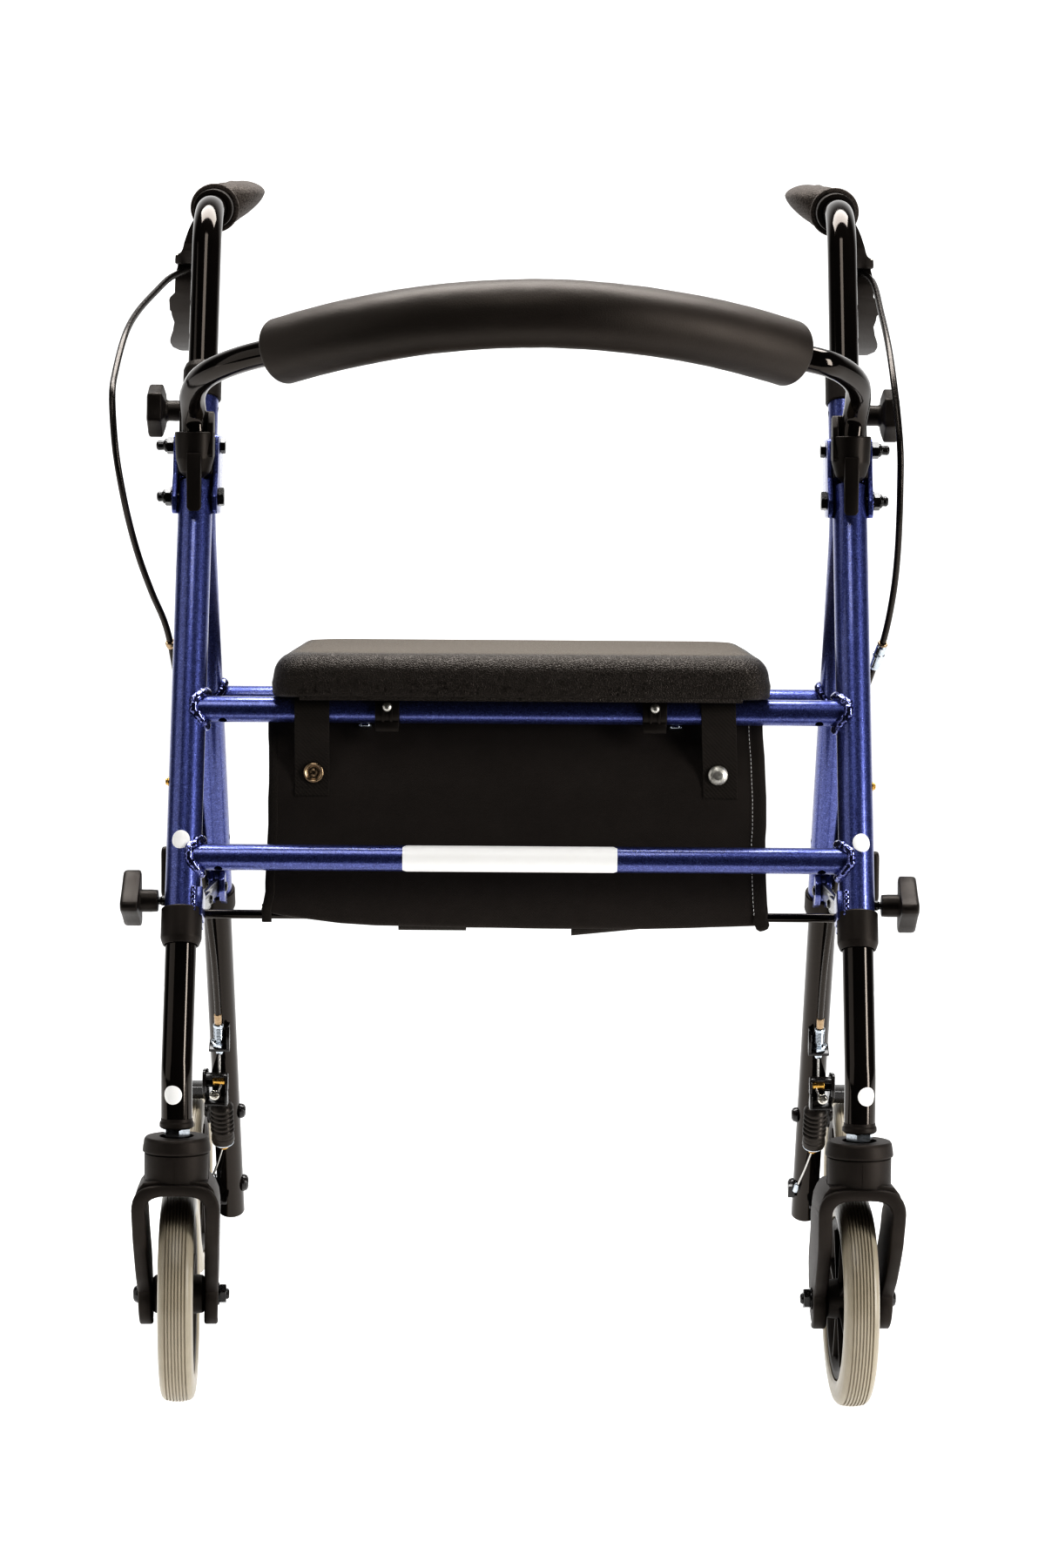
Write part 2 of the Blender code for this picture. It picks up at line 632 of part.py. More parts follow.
def tyre_profile():
    r = WHEEL_R / cos(pi / WHEEL_SEG)
    w = WHEEL_W / 2
    return [(0.0592, w - 0.0012), (0.0680, w), (0.0740, w - 0.0025), (r, 0.0055), (r, -0.0055),
            (0.0740, -w + 0.0025), (0.0680, -w), (0.0592, -w + 0.0012)]


def make_wheel(profile, base, seg):
    # a flat of the many-sided tread faces the floor
    return turned(profile, base, Vector((1, 0, 0)), seg, start=pi / seg)


def make_rear_leg():
    """Rear telescoping leg with wheel axle, brake pivot bolt, cable stop and spring tab."""
    top, low = on_rear(TUBE_X, t_of(0.470)), on_rear(TUBE_X, t_of(0.0515))
    leg = rod([top, low], INNER_OD / 2, SEG)
    ax = Vector((1, 0, 0))
    axle = turned([(0.0, 0.2265), (0.0060, 0.2270), (0.0068, 0.2300), (0.0068, 0.2594),
                   (0.0040, 0.2594), (0.0040, 0.2903), (0.0068, 0.2903), (0.0068, 0.2970), (0.0056, 0.3020),
                   (0.0, AXLE_END_X)], on_rear(0, t_of(0.077)), ax, SEG_S)
    bolt = turned([(0.0, 0.2262), (0.0052, 0.2268), (0.0060, 0.2285), (0.0060, 0.2310), (0.0030, 0.2310), (0.0030, 0.2578),
                   (0.0052, 0.2578), (0.0052, 0.2606), (0.0, 0.2606)], P(0, *BRAKE_PIVOT), ax, SEG_S)
    t_stop = t_of(0.2075) - 0.0096
    stop = block(on_rear(0, t_stop), ax, FORE_R, DOWN_R, 0.2358, 0.2522, 0.0095, 0.0240, 0.0, 0.0030)
    side = block(on_rear(0, t_stop), ax, FORE_R, DOWN_R, 0.2358, 0.2384, 0.0070, 0.0220, -0.0170, 0.0020)
    adjuster = turned([(0.0, -0.0060), (0.0030, -0.0060), (0.0030, 0.0035), (0.0064, 0.0035), (0.0064, 0.0075), (0.0034, 0.0075),
                       (0.0034, 0.0095), (0.0041, 0.0095), (0.0041, 0.0245), (0.0, 0.0245)],
                      on_rear(CABLE_X, t_stop + 0.0032, 0.0165), -DOWN_R, SEG_S)
    tab = block(on_rear(0, t_of(0.071)), ax, FORE_R, DOWN_R, 0.2440, 0.2500, 0.0080, 0.0190, -0.0015, 0.0015)
    leg = join(leg, axle, bolt, stop, side, adjuster, tab)
    bore_top = on_rear(TUBE_X, t_of(0.470) - 0.01)
    bore_low = on_rear(TUBE_X, t_of(0.170))
    return cut(leg, rod([bore_top, bore_low], INNER_ID / 2, SEG))


BRAKE_PIVOT = (rear_v(0.144), 0.144)
CABLE_X = 0.2440


def make_brake_arm():
    """Brake arm: side plate, shoe over the tyre, and the hooked front end that the cable pulls."""
    v, h = BRAKE_PIVOT
    side = plate(rounded([(v - 0.008, h - 0.009), (v + 0.007, h - 0.008), (v + 0.011, h + 0.006), (v + 0.0200, h + 0.0150),
                          (v + 0.0165, h + 0.0270), (v + 0.002, h + 0.0250), (v - 0.030, h + 0.0400), (v - 0.058, h + 0.0420),
                          (v - 0.060, h + 0.0230), (v - 0.036, h + 0.0150), (v - 0.012, h + 0.0050)], 0.003, 2),
                 "vh", 0.2545, 0.2575)
    # shoe bar, square to the line from the wheel's centre
    wv, wh = rear_v(0.077), 0.077
    q = radians(107)
    out = Vector((0, cos(q), sin(q)))
    tang = Vector((0, sin(q), -cos(q)))
    r0 = WHEEL_R + 0.0038
    shoe = block(P(0, wv, wh), Vector((1, 0, 0)), out, tang, 0.2550, 0.2885, r0, r0 + 0.0110, -0.0075, 0.0075)
    front = box(0.2370, 0.2575, v - 0.0600, v - 0.0565, h + 0.0240, h + 0.0400)
    lug = plate(rounded([(v - 0.0595, h + 0.0130), (v - 0.0400, h + 0.0130), (v - 0.0400, h + 0.0180), (v - 0.0560, h + 0.0260),
                         (v - 0.0595, h + 0.0260)], 0.001, 1), "vh", 0.2390, 0.2490)
    shelf_plate = box(0.2390, 0.2560, v - 0.0590, v - 0.0400, h + 0.0130, h + 0.0158)
    nipple = pin(P(0.2395, v - 0.0535, h + 0.0330), P(0.2485, v - 0.0535, h + 0.0330), 0.0036, 8)
    arm = join(side, shoe, front, lug, shelf_plate, nipple)
    return cut(arm, pin(P(0.25, v, h), P(0.2650, v, h), 0.0034, SEG_S))


def make_brake_spring():
    """Return spring in its ribbed boot, with the pull wire down to the tab."""
    base = on_rear(CABLE_X, t_of(0.1545) - 0.0130, 0.0226)
    prof = [(0.0, -0.002), (0.0060, -0.002), (0.0086, 0.0)]
    for k in range(3):
        z = 0.0010 + 0.0098 * k
        prof += [(0.0098, z + 0.0030), (0.0098, z + 0.0054), (0.0084, z + 0.0080)]
    prof += [(0.0090, 0.0310), (0.0094, 0.0380), (0.0050, 0.0400), (0.0050, 0.0450), (0.0, 0.0450)]
    boot = turned(prof, base, DOWN_R, SEG_S)
    wire = rod([base + DOWN_R * 0.040, on_rear(CABLE_X + 0.0010, t_of(0.0800) - 0.0060, 0.0205),
                on_rear(CABLE_X + 0.0020, t_of(0.0710) - 0.0022, 0.0150)], 0.0013, 6)
    return join(boot, wire)


def handle_corner():
    h = 0.869
    return P(TUBE_X, handle_v(h), h)


GRIP_DIR = Vector((0, cos(GRIP_RISE), sin(GRIP_RISE)))


def along_grip(v):
    c = handle_corner()
    return c + GRIP_DIR * ((v - ORIGIN_V - c.y) / cos(GRIP_RISE))


HANDLE_LOW_S = handle_s(0.7375) - 0.0500


def make_handle_tube():
    path = bend_path([on_handle(TUBE_X, HANDLE_LOW_S), handle_corner(), along_grip(0.450)], [HANDLE_BEND_R], 5)
    return tube(path, INNER_OD / 2, INNER_ID / 2, SEG)


def make_grip():
    """Soft grip sleeve with a front flange and an inward palm wing."""
    base = along_grip(0.325)
    body = turned([(0.01145, 0.0), (0.0186, 0.0), (0.0190, 0.0030), (0.0180, 0.0060), (0.0155, 0.0090),
                   (0.0165, 0.0500), (0.0168, 0.1050), (0.0135, 0.1300), (0.0, 0.1320), (0.0, 0.1275),
                   (0.01145, 0.1275)], base, GRIP_DIR, SEG)
    front = [(0.2404, 0.8935), (0.2300, 0.8985), (0.2200, 0.8992), (0.2110, 0.8962), (0.2074, 0.8915), (0.2082, 0.8850),
             (0.2150, 0.8765), (0.2230, 0.8690), (0.2330, 0.8655), (0.2400, 0.8700)]
    wing = plate(front, "xh", 0.340, 0.456)
    top = plate(rounded([(0.2404, 0.3480), (0.2404, 0.4500), (0.2220, 0.4480), (0.2060, 0.4180), (0.2060, 0.3880),
                         (0.2220, 0.3580)], 0.010, 2), "xv", 0.855, 0.915)
    wing = meet(wing, top)
    inner = rod([base + GRIP_DIR * -0.01, base + GRIP_DIR * 0.1275], 0.0125, SEG)
    wing = cut(wing, inner)
    return join(body, wing)


LEVER_PIVOT = (0.346, 0.8385)


def make_lever_bracket():
    """Clamp ring ahead of the grip with an arm that takes the brake lever's pivot."""
    pv, ph = LEVER_PIVOT
    side = [(0.3070, 0.8680), (0.3065, 0.8480), (0.3180, 0.8330), (pv - 0.0088, ph - 0.0040)]
    for k in range(4):
        q = radians(205 + 130 * k / 3)
        side.append((pv + 0.0090 * cos(q), ph + 0.0090 * sin(q)))
    side += [(pv + 0.0095, ph + 0.0040), (0.3500, 0.8520), (0.3300, 0.8545), (0.3235, 0.8570), (0.3235, 0.8680)]
    a = plate(side, "vh", 0.2400, 0.2800)
    b = plate([(0.2420, 0.8700), (0.2618, 0.8690), (0.2708, 0.8414), (0.2738, 0.8290), (0.2490, 0.8290), (0.2400, 0.8480),
               (0.2400, 0.8620)], "xh", 0.300, 0.362)
    body = meet(a, b)
    clamp = rod([along_grip(0.3072), along_grip(0.3238)], 0.0152, SEG)
    body = join(body, clamp)
    slot = rod([P(0.2548, pv, ph), P(0.2664, pv, ph)], 0.0086, 12, Vector((0, 0, 1)))
    mouth = plate([(pv - 0.0086, ph), (pv - 0.0086, ph - 0.020), (pv + 0.020, ph - 0.020), (pv + 0.020, ph + 0.0086), (pv, ph + 0.0086)],
                  "vh", 0.2548, 0.2664)
    body = cut(body, slot, mouth, rod([along_grip(0.2950), along_grip(0.3300)], 0.01145, SEG))
    return join(body, pin(P(0.2530, pv, ph), P(0.2690, pv, ph), 0.0024, 8))


def make_lever():
    pv, ph = LEVER_PIVOT
    side = rounded([(0.3360, 0.8340), (0.3320, 0.8220), (0.3450, 0.8060), (0.3700, 0.7880), (0.4020, 0.7755), (0.4300, 0.7695),
                    (0.4390, 0.7720), (0.4380, 0.7810), (0.4100, 0.7900), (0.3850, 0.8030), (0.3680, 0.8200), (0.3600, 0.8340)],
                   0.002, 1)
    a = plate(side, "vh", 0.2450, 0.2900)
    b = plate([(0.2736, 0.8340), (0.2774, 0.8200), (0.2821, 0.8020), (0.2813, 0.7987), (0.2795, 0.7973), (0.2799, 0.7882),
               (0.2860, 0.7762), (0.2845, 0.7720), (0.2729, 0.7692), (0.2600, 0.7692), (0.2570, 0.7880), (0.2510, 0.8200),
               (0.2500, 0.8340)], "xh", 0.325, 0.445)
    body = meet(a, b)
    body = cut(body, rod([P(0.2400, pv, ph), P(0.2900, pv, ph)], 0.0097, SEG, Vector((0, 0, 1))))
    eye = rod([P(0.2552, pv, ph), P(0.2660, pv, ph)], 0.0072, 12, Vector((0, 0, 1)))
    neck = plate([(pv - 0.0050, ph - 0.0040), (pv - 0.0030, ph - 0.0160), (pv + 0.0110, ph - 0.0160), (pv + 0.0060, ph - 0.0020)],
                 "vh", 0.2552, 0.2660)
    body = join(body, eye, neck)
    return cut(body, rod([P(0.2500, pv, ph), P(0.2700, pv, ph)], 0.0028, 8, Vector((0, 0, 1))))


def make_knob(base, x_neck, x_hub, x_head, x_end, turn):
    """Three-lobed clamp knob on a short stud; turn sets where its lobes stand."""
    ax = Vector((1, 0, 0))
    core = turned([(0.0, TUBE_X + 0.0114), (0.0030, TUBE_X + 0.0114), (0.0030, x_neck), (0.0040, x_neck), (0.0040, x_hub),
                   (0.0080, x_hub + 0.001), (0.0080, x_head + 0.002), (0.0, x_head + 0.002)], base, ax, SEG_S)
    pts = []
    for k in range(21):
        q = 2 * pi * k / 21
        r = 0.0164 + 0.0044 * cos(3 * q)
        pts.append((base.y + ORIGIN_V + r * cos(q + turn), base.z + r * sin(q + turn)))
    head = plate(pts, "vh", x_head, x_end)
    return join(core, head)


def make_stay(front):
    b, d = Vector(ROD), Vector(STAY_END)
    m = (b + d) / 2
    if front:
        ob = plate(stadium(b, m, 0.0062), "vh", 0.2340, 0.2373)
        ob = join(ob, pin(P(0.2325, *m), P(0.2345, *m), 0.0038, 10))
        return cut(ob, pin(P(0.230, *ROD), P(0.250, *ROD), 0.0029, 12))
    ob = plate(stadium(m, d, 0.0062), "vh", 0.2376, 0.2409)
    ob = join(ob, pin(P(0.2400, *m), P(0.2424, *m), 0.0038, 10))
    return cut(ob, pin(P(0.230, *STAY_END), P(0.250, *STAY_END), 0.0029, 12))


CABLE_LOW = [(0.2620, 0.2450, 0.5000), (0.2570, 0.2720, 0.4500), (0.2520, 0.2990, 0.4000), (0.2495, 0.3220, 0.3560),
             (0.2478, 0.3370, 0.3260), (0.2450, 0.3590, 0.2860)]
CABLE_R = [(0.2623, 0.3300, 0.8290), (0.2743, 0.3060, 0.8215), (0.2830, 0.2760, 0.8090), (0.2939, 0.2350, 0.7900), (0.2990, 0.2000, 0.7720),
           (0.3026, 0.1620, 0.7420), (0.3025, 0.1420, 0.7276), (0.3011, 0.1330, 0.7083), (0.2986, 0.1300, 0.6828),
           (0.2951, 0.1370, 0.6573), (0.2909, 0.1500, 0.6317), (0.2854, 0.1670, 0.6059), (0.2779, 0.1880, 0.5795),
           (0.2690, 0.2120, 0.5520)]
CABLE_L = [(0.2635, 0.3300, 0.8300), (0.2702, 0.3050, 0.8220), (0.2730, 0.2550, 0.7946), (0.2749, 0.2100, 0.7663),
           (0.2762, 0.1800, 0.7392), (0.2779, 0.1630, 0.7130), (0.2794, 0.1550, 0.6871), (0.2798, 0.1570, 0.6615),
           (0.2802, 0.1650, 0.6357), (0.2804, 0.1780, 0.6097), (0.2792, 0.1920, 0.5833), (0.2746, 0.2130, 0.5480)]


def make_cable(side):
    """Brake cable housing on its whole route, from the lever bracket to the cable stop."""
    pts = [P(*p) for p in (CABLE_R if side < 0 else CABLE_L) + CABLE_LOW]
    t_stop = t_of(0.2075) - 0.0096
    end = on_rear(CABLE_X, t_stop + 0.0032 - 0.0248, 0.0165)
    pts += [end - DOWN_R * 0.022, end]
    path = smooth_path(pts, 0.034)
    return rod(path, 0.0025, 8, Vector((0, 1, 0)))


# ---------------------------------------------------------------- middle pieces
def cross_tube(v, h, cutters):
    body = rod([P(-0.2395, v, h), P(0.2395, v, h)], CROSS_OD / 2, 14, Vector((0, 0, 1)))
    bore = rod([P(-0.2500, v, h), P(0.2500, v, h)], CROSS_ID / 2, 14, Vector((0, 0, 1)))
    return cut(body, bore, *cutters)


def cope_front(sign):
    return rod([on_front(sign * TUBE_X, 0.08), on_front(sign * TUBE_X, 0.36)], TUBE_OD / 2 + 0.0004, 24)


def cope_rear(sign):
    return rod([on_rear(sign * TUBE_X, -0.06), on_rear(sign * TUBE_X, 0.06)], TUBE_OD / 2 + 0.0004, 24)


def make_fold_rod():
    prof = [(0.0, -0.2404), (0.0025, -0.2404), (0.0025, -0.2292), (0.00325, -0.2292), (0.00325, 0.2292), (0.0025, 0.2292),
            (0.0025, 0.2404), (0.0, 0.2404)]
    return turned(prof, P(0, *ROD), Vector((1, 0, 0)), SEG_S)


def make_pouch():
    """Woven pouch hanging from the seat cross tube, open at the top; it rests on the cross rod, and a fold of its front hangs before the rod."""
    outer = plate([(0.1060, 0.4970), (0.0655, 0.3600), (0.0650, 0.3410), (0.0712, 0.3410), (0.0712, 0.3535), (0.2340, 0.3535),
                   (0.2410, 0.3570), (0.2450, 0.3690), (0.2450, 0.4970)], "vh", -0.1820, 0.1820)
    inner = plate([(0.1156, 0.5200), (0.0700, 0.3660), (0.0735, 0.3565), (0.2320, 0.3565), (0.2385, 0.3590), (0.2420, 0.3705),
                   (0.2420, 0.5200)], "vh", -0.1790, 0.1790)
    return cut(outer, inner)


def make_seat():
    """Moulded foam seat with two clips round the front cross tube."""
    outline = rounded([(-SEAT_X, SEAT_V0), (SEAT_X, SEAT_V0), (SEAT_X - 0.002, SEAT_V1), (-SEAT_X + 0.002, SEAT_V1)],
                      0.022, 3)
    body = plate(outline, "xv", SEAT_H0, SEAT_H1 - 0.006)
    top = plate(rounded([(-SEAT_X + 0.008, SEAT_V0 + 0.008), (SEAT_X - 0.008, SEAT_V0 + 0.008), (SEAT_X - 0.010, SEAT_V1 - 0.008),
                         (-SEAT_X + 0.010, SEAT_V1 - 0.008)], 0.018, 3), "xv", SEAT_H1 - 0.0065, SEAT_H1)
    lip = plate([(SEAT_V0 + 0.0010, 0.5050), (SEAT_V0 + 0.0120, 0.5050), (SEAT_V0 + 0.0140, 0.5120), (SEAT_V0 + 0.0010, 0.5120)], "vh",
                -SEAT_X + 0.022, SEAT_X - 0.022)
    clips = []
    for x in (-0.097, 0.097):
        clips.append(rod([P(x - 0.0088, *SEAT_BAR), P(x + 0.0088, *SEAT_BAR)], 0.0132, 14, Vector((0, 0, 1))))
        clips.append(plate([(SEAT_BAR[0] - 0.0130, SEAT_BAR[1]), (SEAT_BAR[0] + 0.0350, SEAT_BAR[1] + 0.006),
                            (SEAT_BAR[0] + 0.0350, SEAT_H0 + 0.002), (SEAT_BAR[0] - 0.0130, SEAT_H0 + 0.002)], "vh",
                           x - 0.0088, x + 0.0088))
    body = join(body, top, lip, *clips)
    return cut(body, rod([P(-0.2, *SEAT_BAR), P(0.2, *SEAT_BAR)], CROSS_OD / 2 + 0.0005, SEG, Vector((0, 0, 1))))


def back_bar_path():
    half = [P(TUBE_X, 0.1400, 0.6700), P(TUBE_X, 0.1400, 0.7000), P(TUBE_X + 0.0015, 0.1375, 0.7160), P(TUBE_X - 0.0010, 0.1280, 0.7300),
            P(TUBE_X - 0.0120, 0.1090, 0.7415), P(TUBE_X - 0.0250, 0.0880, 0.7475), pad_point(PAD_NODES[-1])]
    half = smooth_path(half, 0.030)
    right = half + [pad_point(x) for x in reversed(PAD_NODES[1:-1]) if x >= 0]
    left = [Vector((-p.x, p.y, p.z)) for p in reversed(right[:-1])]
    return right + left


def make_back_bar():
    return rod(back_bar_path(), BACK_BAR_R, 14, Vector((0, 1, 0)))


PAD_X0, PAD_X1 = -0.1740, 0.1920
PAD_NODES = [-0.196, -0.150, -0.100, -0.050, 0.0, 0.050, 0.100, 0.150, 0.196]


def pad_point(x):
    return P(x, -0.018 + 0.0740 * (x / 0.186) ** 2, 0.779 - 0.0255 * (x / 0.186) ** 2)


def make_pad():
    def between(a, b, x):
        pa, pb = pad_point(a), pad_point(b)
        return pa + (pb - pa) * ((x - a) / (b - a))
    pts = ([between(PAD_NODES[0], PAD_NODES[1], PAD_X0)] + [pad_point(x) for x in PAD_NODES[1:-1]]
           + [between(PAD_NODES[-2], PAD_NODES[-1], PAD_X1)])
    ends = [pts[0] + (pts[1] - pts[0]).normalized() * 0.003, pts[-1] + (pts[-2] - pts[-1]).normalized() * 0.003]
    path = [pts[0], ends[0]] + pts[1:-1] + [ends[1], pts[-1]]
    bm = bmesh.new()
    radii = [PAD_R - 0.002, PAD_R] + [PAD_R] * (len(pts) - 2) + [PAD_R, PAD_R - 0.002]
    outer = rings(bm, path, radii, SEG, Vector((0, 1, 0)))
    inner = rings(bm, path, BACK_BAR_R + 0.0010, SEG, Vector((0, 1, 0)))
    for a, b in zip(outer, outer[1:]):
        skin(bm, a, b)
    for a, b in zip(inner, inner[1:]):
        skin(bm, b, a)
    skin(bm, inner[0], outer[0])
    skin(bm, outer[-1], inner[-1])
    return temp(bm)


# ---------------------------------------------------------------- joint axes
axis_empty("front_fold_axis", P(0, PIVOT_V, PIVOT_H))
axis_empty("seat_axis", P(0, *SEAT_BAR), "front_fold_axis")
axis_empty("backrest_axis", P(0, 0.140, 0.6700))
for sign, tag in ((-1, "_r"), (1, "_l")):
    x = sign * TUBE_X
    c = Matrix.Rotation(CASTER_TURN, 3, "Z") @ Vector((0, TRAIL, 0))
    axis_empty("front_leg_axis" + tag, on_front(x, s_of(0.342)), "front_fold_axis")
    axis_empty("caster_swivel_axis" + tag, P(x, 0, 0.1975), "front_leg_axis" + tag)
    axis_empty("caster_spin_axis" + tag, P(x, 0, CASTER_AXLE_H) + c, "caster_swivel_axis" + tag)
    axis_empty("lower_knob_axis" + tag, on_front(x, s_of(0.3615)), "front_fold_axis")
    axis_empty("stay_front_axis" + tag, P(sign * 0.2357, *ROD), "front_fold_axis")
    axis_empty("stay_rear_axis" + tag, P(sign * 0.2393, *STAY_END))
    axis_empty("upper_knob_axis" + tag, on_handle(x, handle_s(0.7155)))
    axis_empty("rear_knob_axis" + tag, on_rear(x, t_of(0.355)))
    axis_empty("handle_axis" + tag, on_handle(x, handle_s(0.7375)))
    axis_empty("lever_axis" + tag, P(sign * 0.2606, *LEVER_PIVOT), "handle_axis" + tag)
    axis_empty("rear_leg_axis" + tag, on_rear(x, t_of(0.335)))
    axis_empty("rear_spin_axis" + tag, P(sign * REAR_WHEEL_X, rear_v(0.077), 0.077), "rear_leg_axis" + tag)
    axis_empty("brake_arm_axis" + tag, P(sign * 0.2560, *BRAKE_PIVOT), "rear_leg_axis" + tag)

# ---------------------------------------------------------------- assembly
KNOB_TURNS = {("upper", -1): 100, ("upper", 1): 75, ("lower", -1): 95, ("lower", 1): 80, ("rear", -1): 60, ("rear", 1): 60}

keep(cross_tube(*REAR_BAR, [cope_rear(-1), cope_rear(1)]), "rear_crossbar", "blue")
keep(cross_tube(*SEAT_BAR, [cope_front(-1), cope_front(1)]), "seat_crossbar", "blue", parent="front_fold_axis")
keep(cross_tube(*LOWER_BAR, [cope_front(-1), cope_front(1)]), "lower_crossbar", "blue", parent="front_fold_axis")
keep(make_fold_rod(), "fold_rod", "gloss_black", parent="front_fold_axis")
keep(make_pouch(), "pouch", "cloth", parent="front_fold_axis")
keep(make_seat(), "seat", "foam", parent="seat_axis")
keep(make_back_bar(), "backrest_bar", "gloss_black", parent="backrest_axis")
keep(make_pad(), "backrest_pad", "foam", parent="backrest_axis", angle=50)

for sign, tag in ((-1, "_r"), (1, "_l")):
    keep(make_rear_tube(), "rear_tube" + tag, "blue", sign)
    keep(make_pivot_bolt(), "pivot_bolt" + tag, "black_steel", sign)
    keep(make_handle_collar(), "handle_collar" + tag, "black_plastic", sign)
    keep(make_socket(), "backrest_socket" + tag, "black_plastic", sign)
    keep(make_cable(sign), "brake_cable" + tag, "cable", sign)
    keep(make_front_tube(), "front_tube" + tag, "blue", sign, "front_fold_axis")
    keep(make_front_collar(), "front_collar" + tag, "black_plastic", sign, "front_fold_axis")
    keep(make_front_leg(), "front_leg" + tag, "gloss_black", sign, "front_leg_axis" + tag)
    keep(caster_place(make_fork(), sign), "caster_fork" + tag, "black_plastic", sign, "caster_swivel_axis" + tag)
    axle = make_caster_axle()
    keep(caster_place(axle, sign), "caster_axle" + tag, "black_steel", sign, "caster_swivel_axis" + tag)
    hub = Vector((0, TRAIL, CASTER_AXLE_H))
    keep(caster_place(make_wheel(rim_profile(0.0188), hub, RIM_SEG), sign), "caster_rim" + tag, "black_plastic", sign,
         "caster_spin_axis" + tag)
    keep(caster_place(make_wheel(tyre_profile(), hub, WHEEL_SEG), sign), "caster_tyre" + tag, "tyre", sign,
         "caster_spin_axis" + tag)
    keep(make_rear_leg(), "rear_leg" + tag, "gloss_black", sign, "rear_leg_axis" + tag)
    hub = P(REAR_WHEEL_X, rear_v(0.077), 0.077)
    keep(make_wheel(rim_profile(0.0146), hub, RIM_SEG), "rear_rim" + tag, "black_plastic", sign, "rear_spin_axis" + tag)
    keep(make_wheel(tyre_profile(), hub, WHEEL_SEG), "rear_tyre" + tag, "tyre", sign, "rear_spin_axis" + tag)
    keep(make_brake_arm(), "brake_arm" + tag, "black_steel", sign, "brake_arm_axis" + tag)
    keep(make_brake_spring(), "brake_spring" + tag, "soft_black", sign, "rear_leg_axis" + tag)
    keep(make_handle_tube(), "handle_tube" + tag, "gloss_black", sign, "handle_axis" + tag)
    keep(make_grip(), "grip" + tag, "soft_black", sign, "handle_axis" + tag)
    keep(make_lever_bracket(), "lever_bracket" + tag, "black_plastic", sign, "handle_axis" + tag)
    keep(make_lever(), "lever" + tag, "black_plastic", sign, "lever_axis" + tag)
    keep(make_knob(on_handle(0, handle_s(0.7155)), 0.2549, 0.2605, 0.2685, 0.2822, radians(KNOB_TURNS["upper", sign])),
         "upper_knob" + tag, "black_plastic", sign, "upper_knob_axis" + tag)
    keep(make_knob(on_front(0, s_of(0.3615)), 0.2549, 0.2600, 0.2720, 0.2848, radians(KNOB_TURNS["lower", sign])),
         "lower_knob" + tag, "black_plastic", sign, "lower_knob_axis" + tag)
    keep(make_knob(on_rear(0, t_of(0.355)), 0.2549, 0.2600, 0.2710, 0.2839, radians(KNOB_TURNS["rear", sign])),
         "rear_knob" + tag, "black_plastic", sign, "rear_knob_axis" + tag)
    keep(make_stay(True), "brace_front" + tag, "blue", sign, "stay_front_axis" + tag)
    keep(make_stay(False), "brace_rear" + tag, "blue", sign, "stay_rear_axis" + tag)
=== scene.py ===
# Looks of the rollator: fine surfaces, materials, soft goods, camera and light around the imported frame.
#
# Metres, +Z up, the user faces -Y (the backrest side), +X is the user's left. Places along the frame are
# written as (x, v, h): v runs rearward from the caster stems and h is the height over the floor.
from math import sin, cos, tan, pi, radians, sqrt, hypot, atan, atan2

import bpy
import bmesh
import numpy as np
from mathutils import Matrix, Vector, noise


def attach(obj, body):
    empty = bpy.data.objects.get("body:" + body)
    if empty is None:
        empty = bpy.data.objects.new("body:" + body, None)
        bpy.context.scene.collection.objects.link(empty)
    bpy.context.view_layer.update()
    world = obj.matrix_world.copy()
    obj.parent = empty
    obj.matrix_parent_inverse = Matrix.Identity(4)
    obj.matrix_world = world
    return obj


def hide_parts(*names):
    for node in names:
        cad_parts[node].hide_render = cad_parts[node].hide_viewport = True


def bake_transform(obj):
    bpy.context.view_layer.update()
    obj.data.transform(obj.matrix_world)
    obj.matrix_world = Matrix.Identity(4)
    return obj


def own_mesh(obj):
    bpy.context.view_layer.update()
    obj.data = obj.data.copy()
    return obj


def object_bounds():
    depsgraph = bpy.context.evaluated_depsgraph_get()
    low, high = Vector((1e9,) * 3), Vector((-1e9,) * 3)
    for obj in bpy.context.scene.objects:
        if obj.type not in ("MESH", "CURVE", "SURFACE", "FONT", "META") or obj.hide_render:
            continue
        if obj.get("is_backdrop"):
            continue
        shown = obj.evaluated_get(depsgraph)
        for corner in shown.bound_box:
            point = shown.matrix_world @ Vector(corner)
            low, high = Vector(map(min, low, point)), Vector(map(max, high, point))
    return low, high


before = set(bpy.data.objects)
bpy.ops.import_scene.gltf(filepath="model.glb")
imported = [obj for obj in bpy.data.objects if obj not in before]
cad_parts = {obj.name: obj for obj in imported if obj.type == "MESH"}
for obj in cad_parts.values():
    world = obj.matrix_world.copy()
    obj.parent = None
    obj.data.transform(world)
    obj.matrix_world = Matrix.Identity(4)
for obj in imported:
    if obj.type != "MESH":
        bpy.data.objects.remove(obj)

CAD_BOX = [[float(c) for c in p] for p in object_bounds()]
scene = bpy.context.scene
shelf = scene.collection
SIDES = ((-1, "_r"), (1, "_l"))

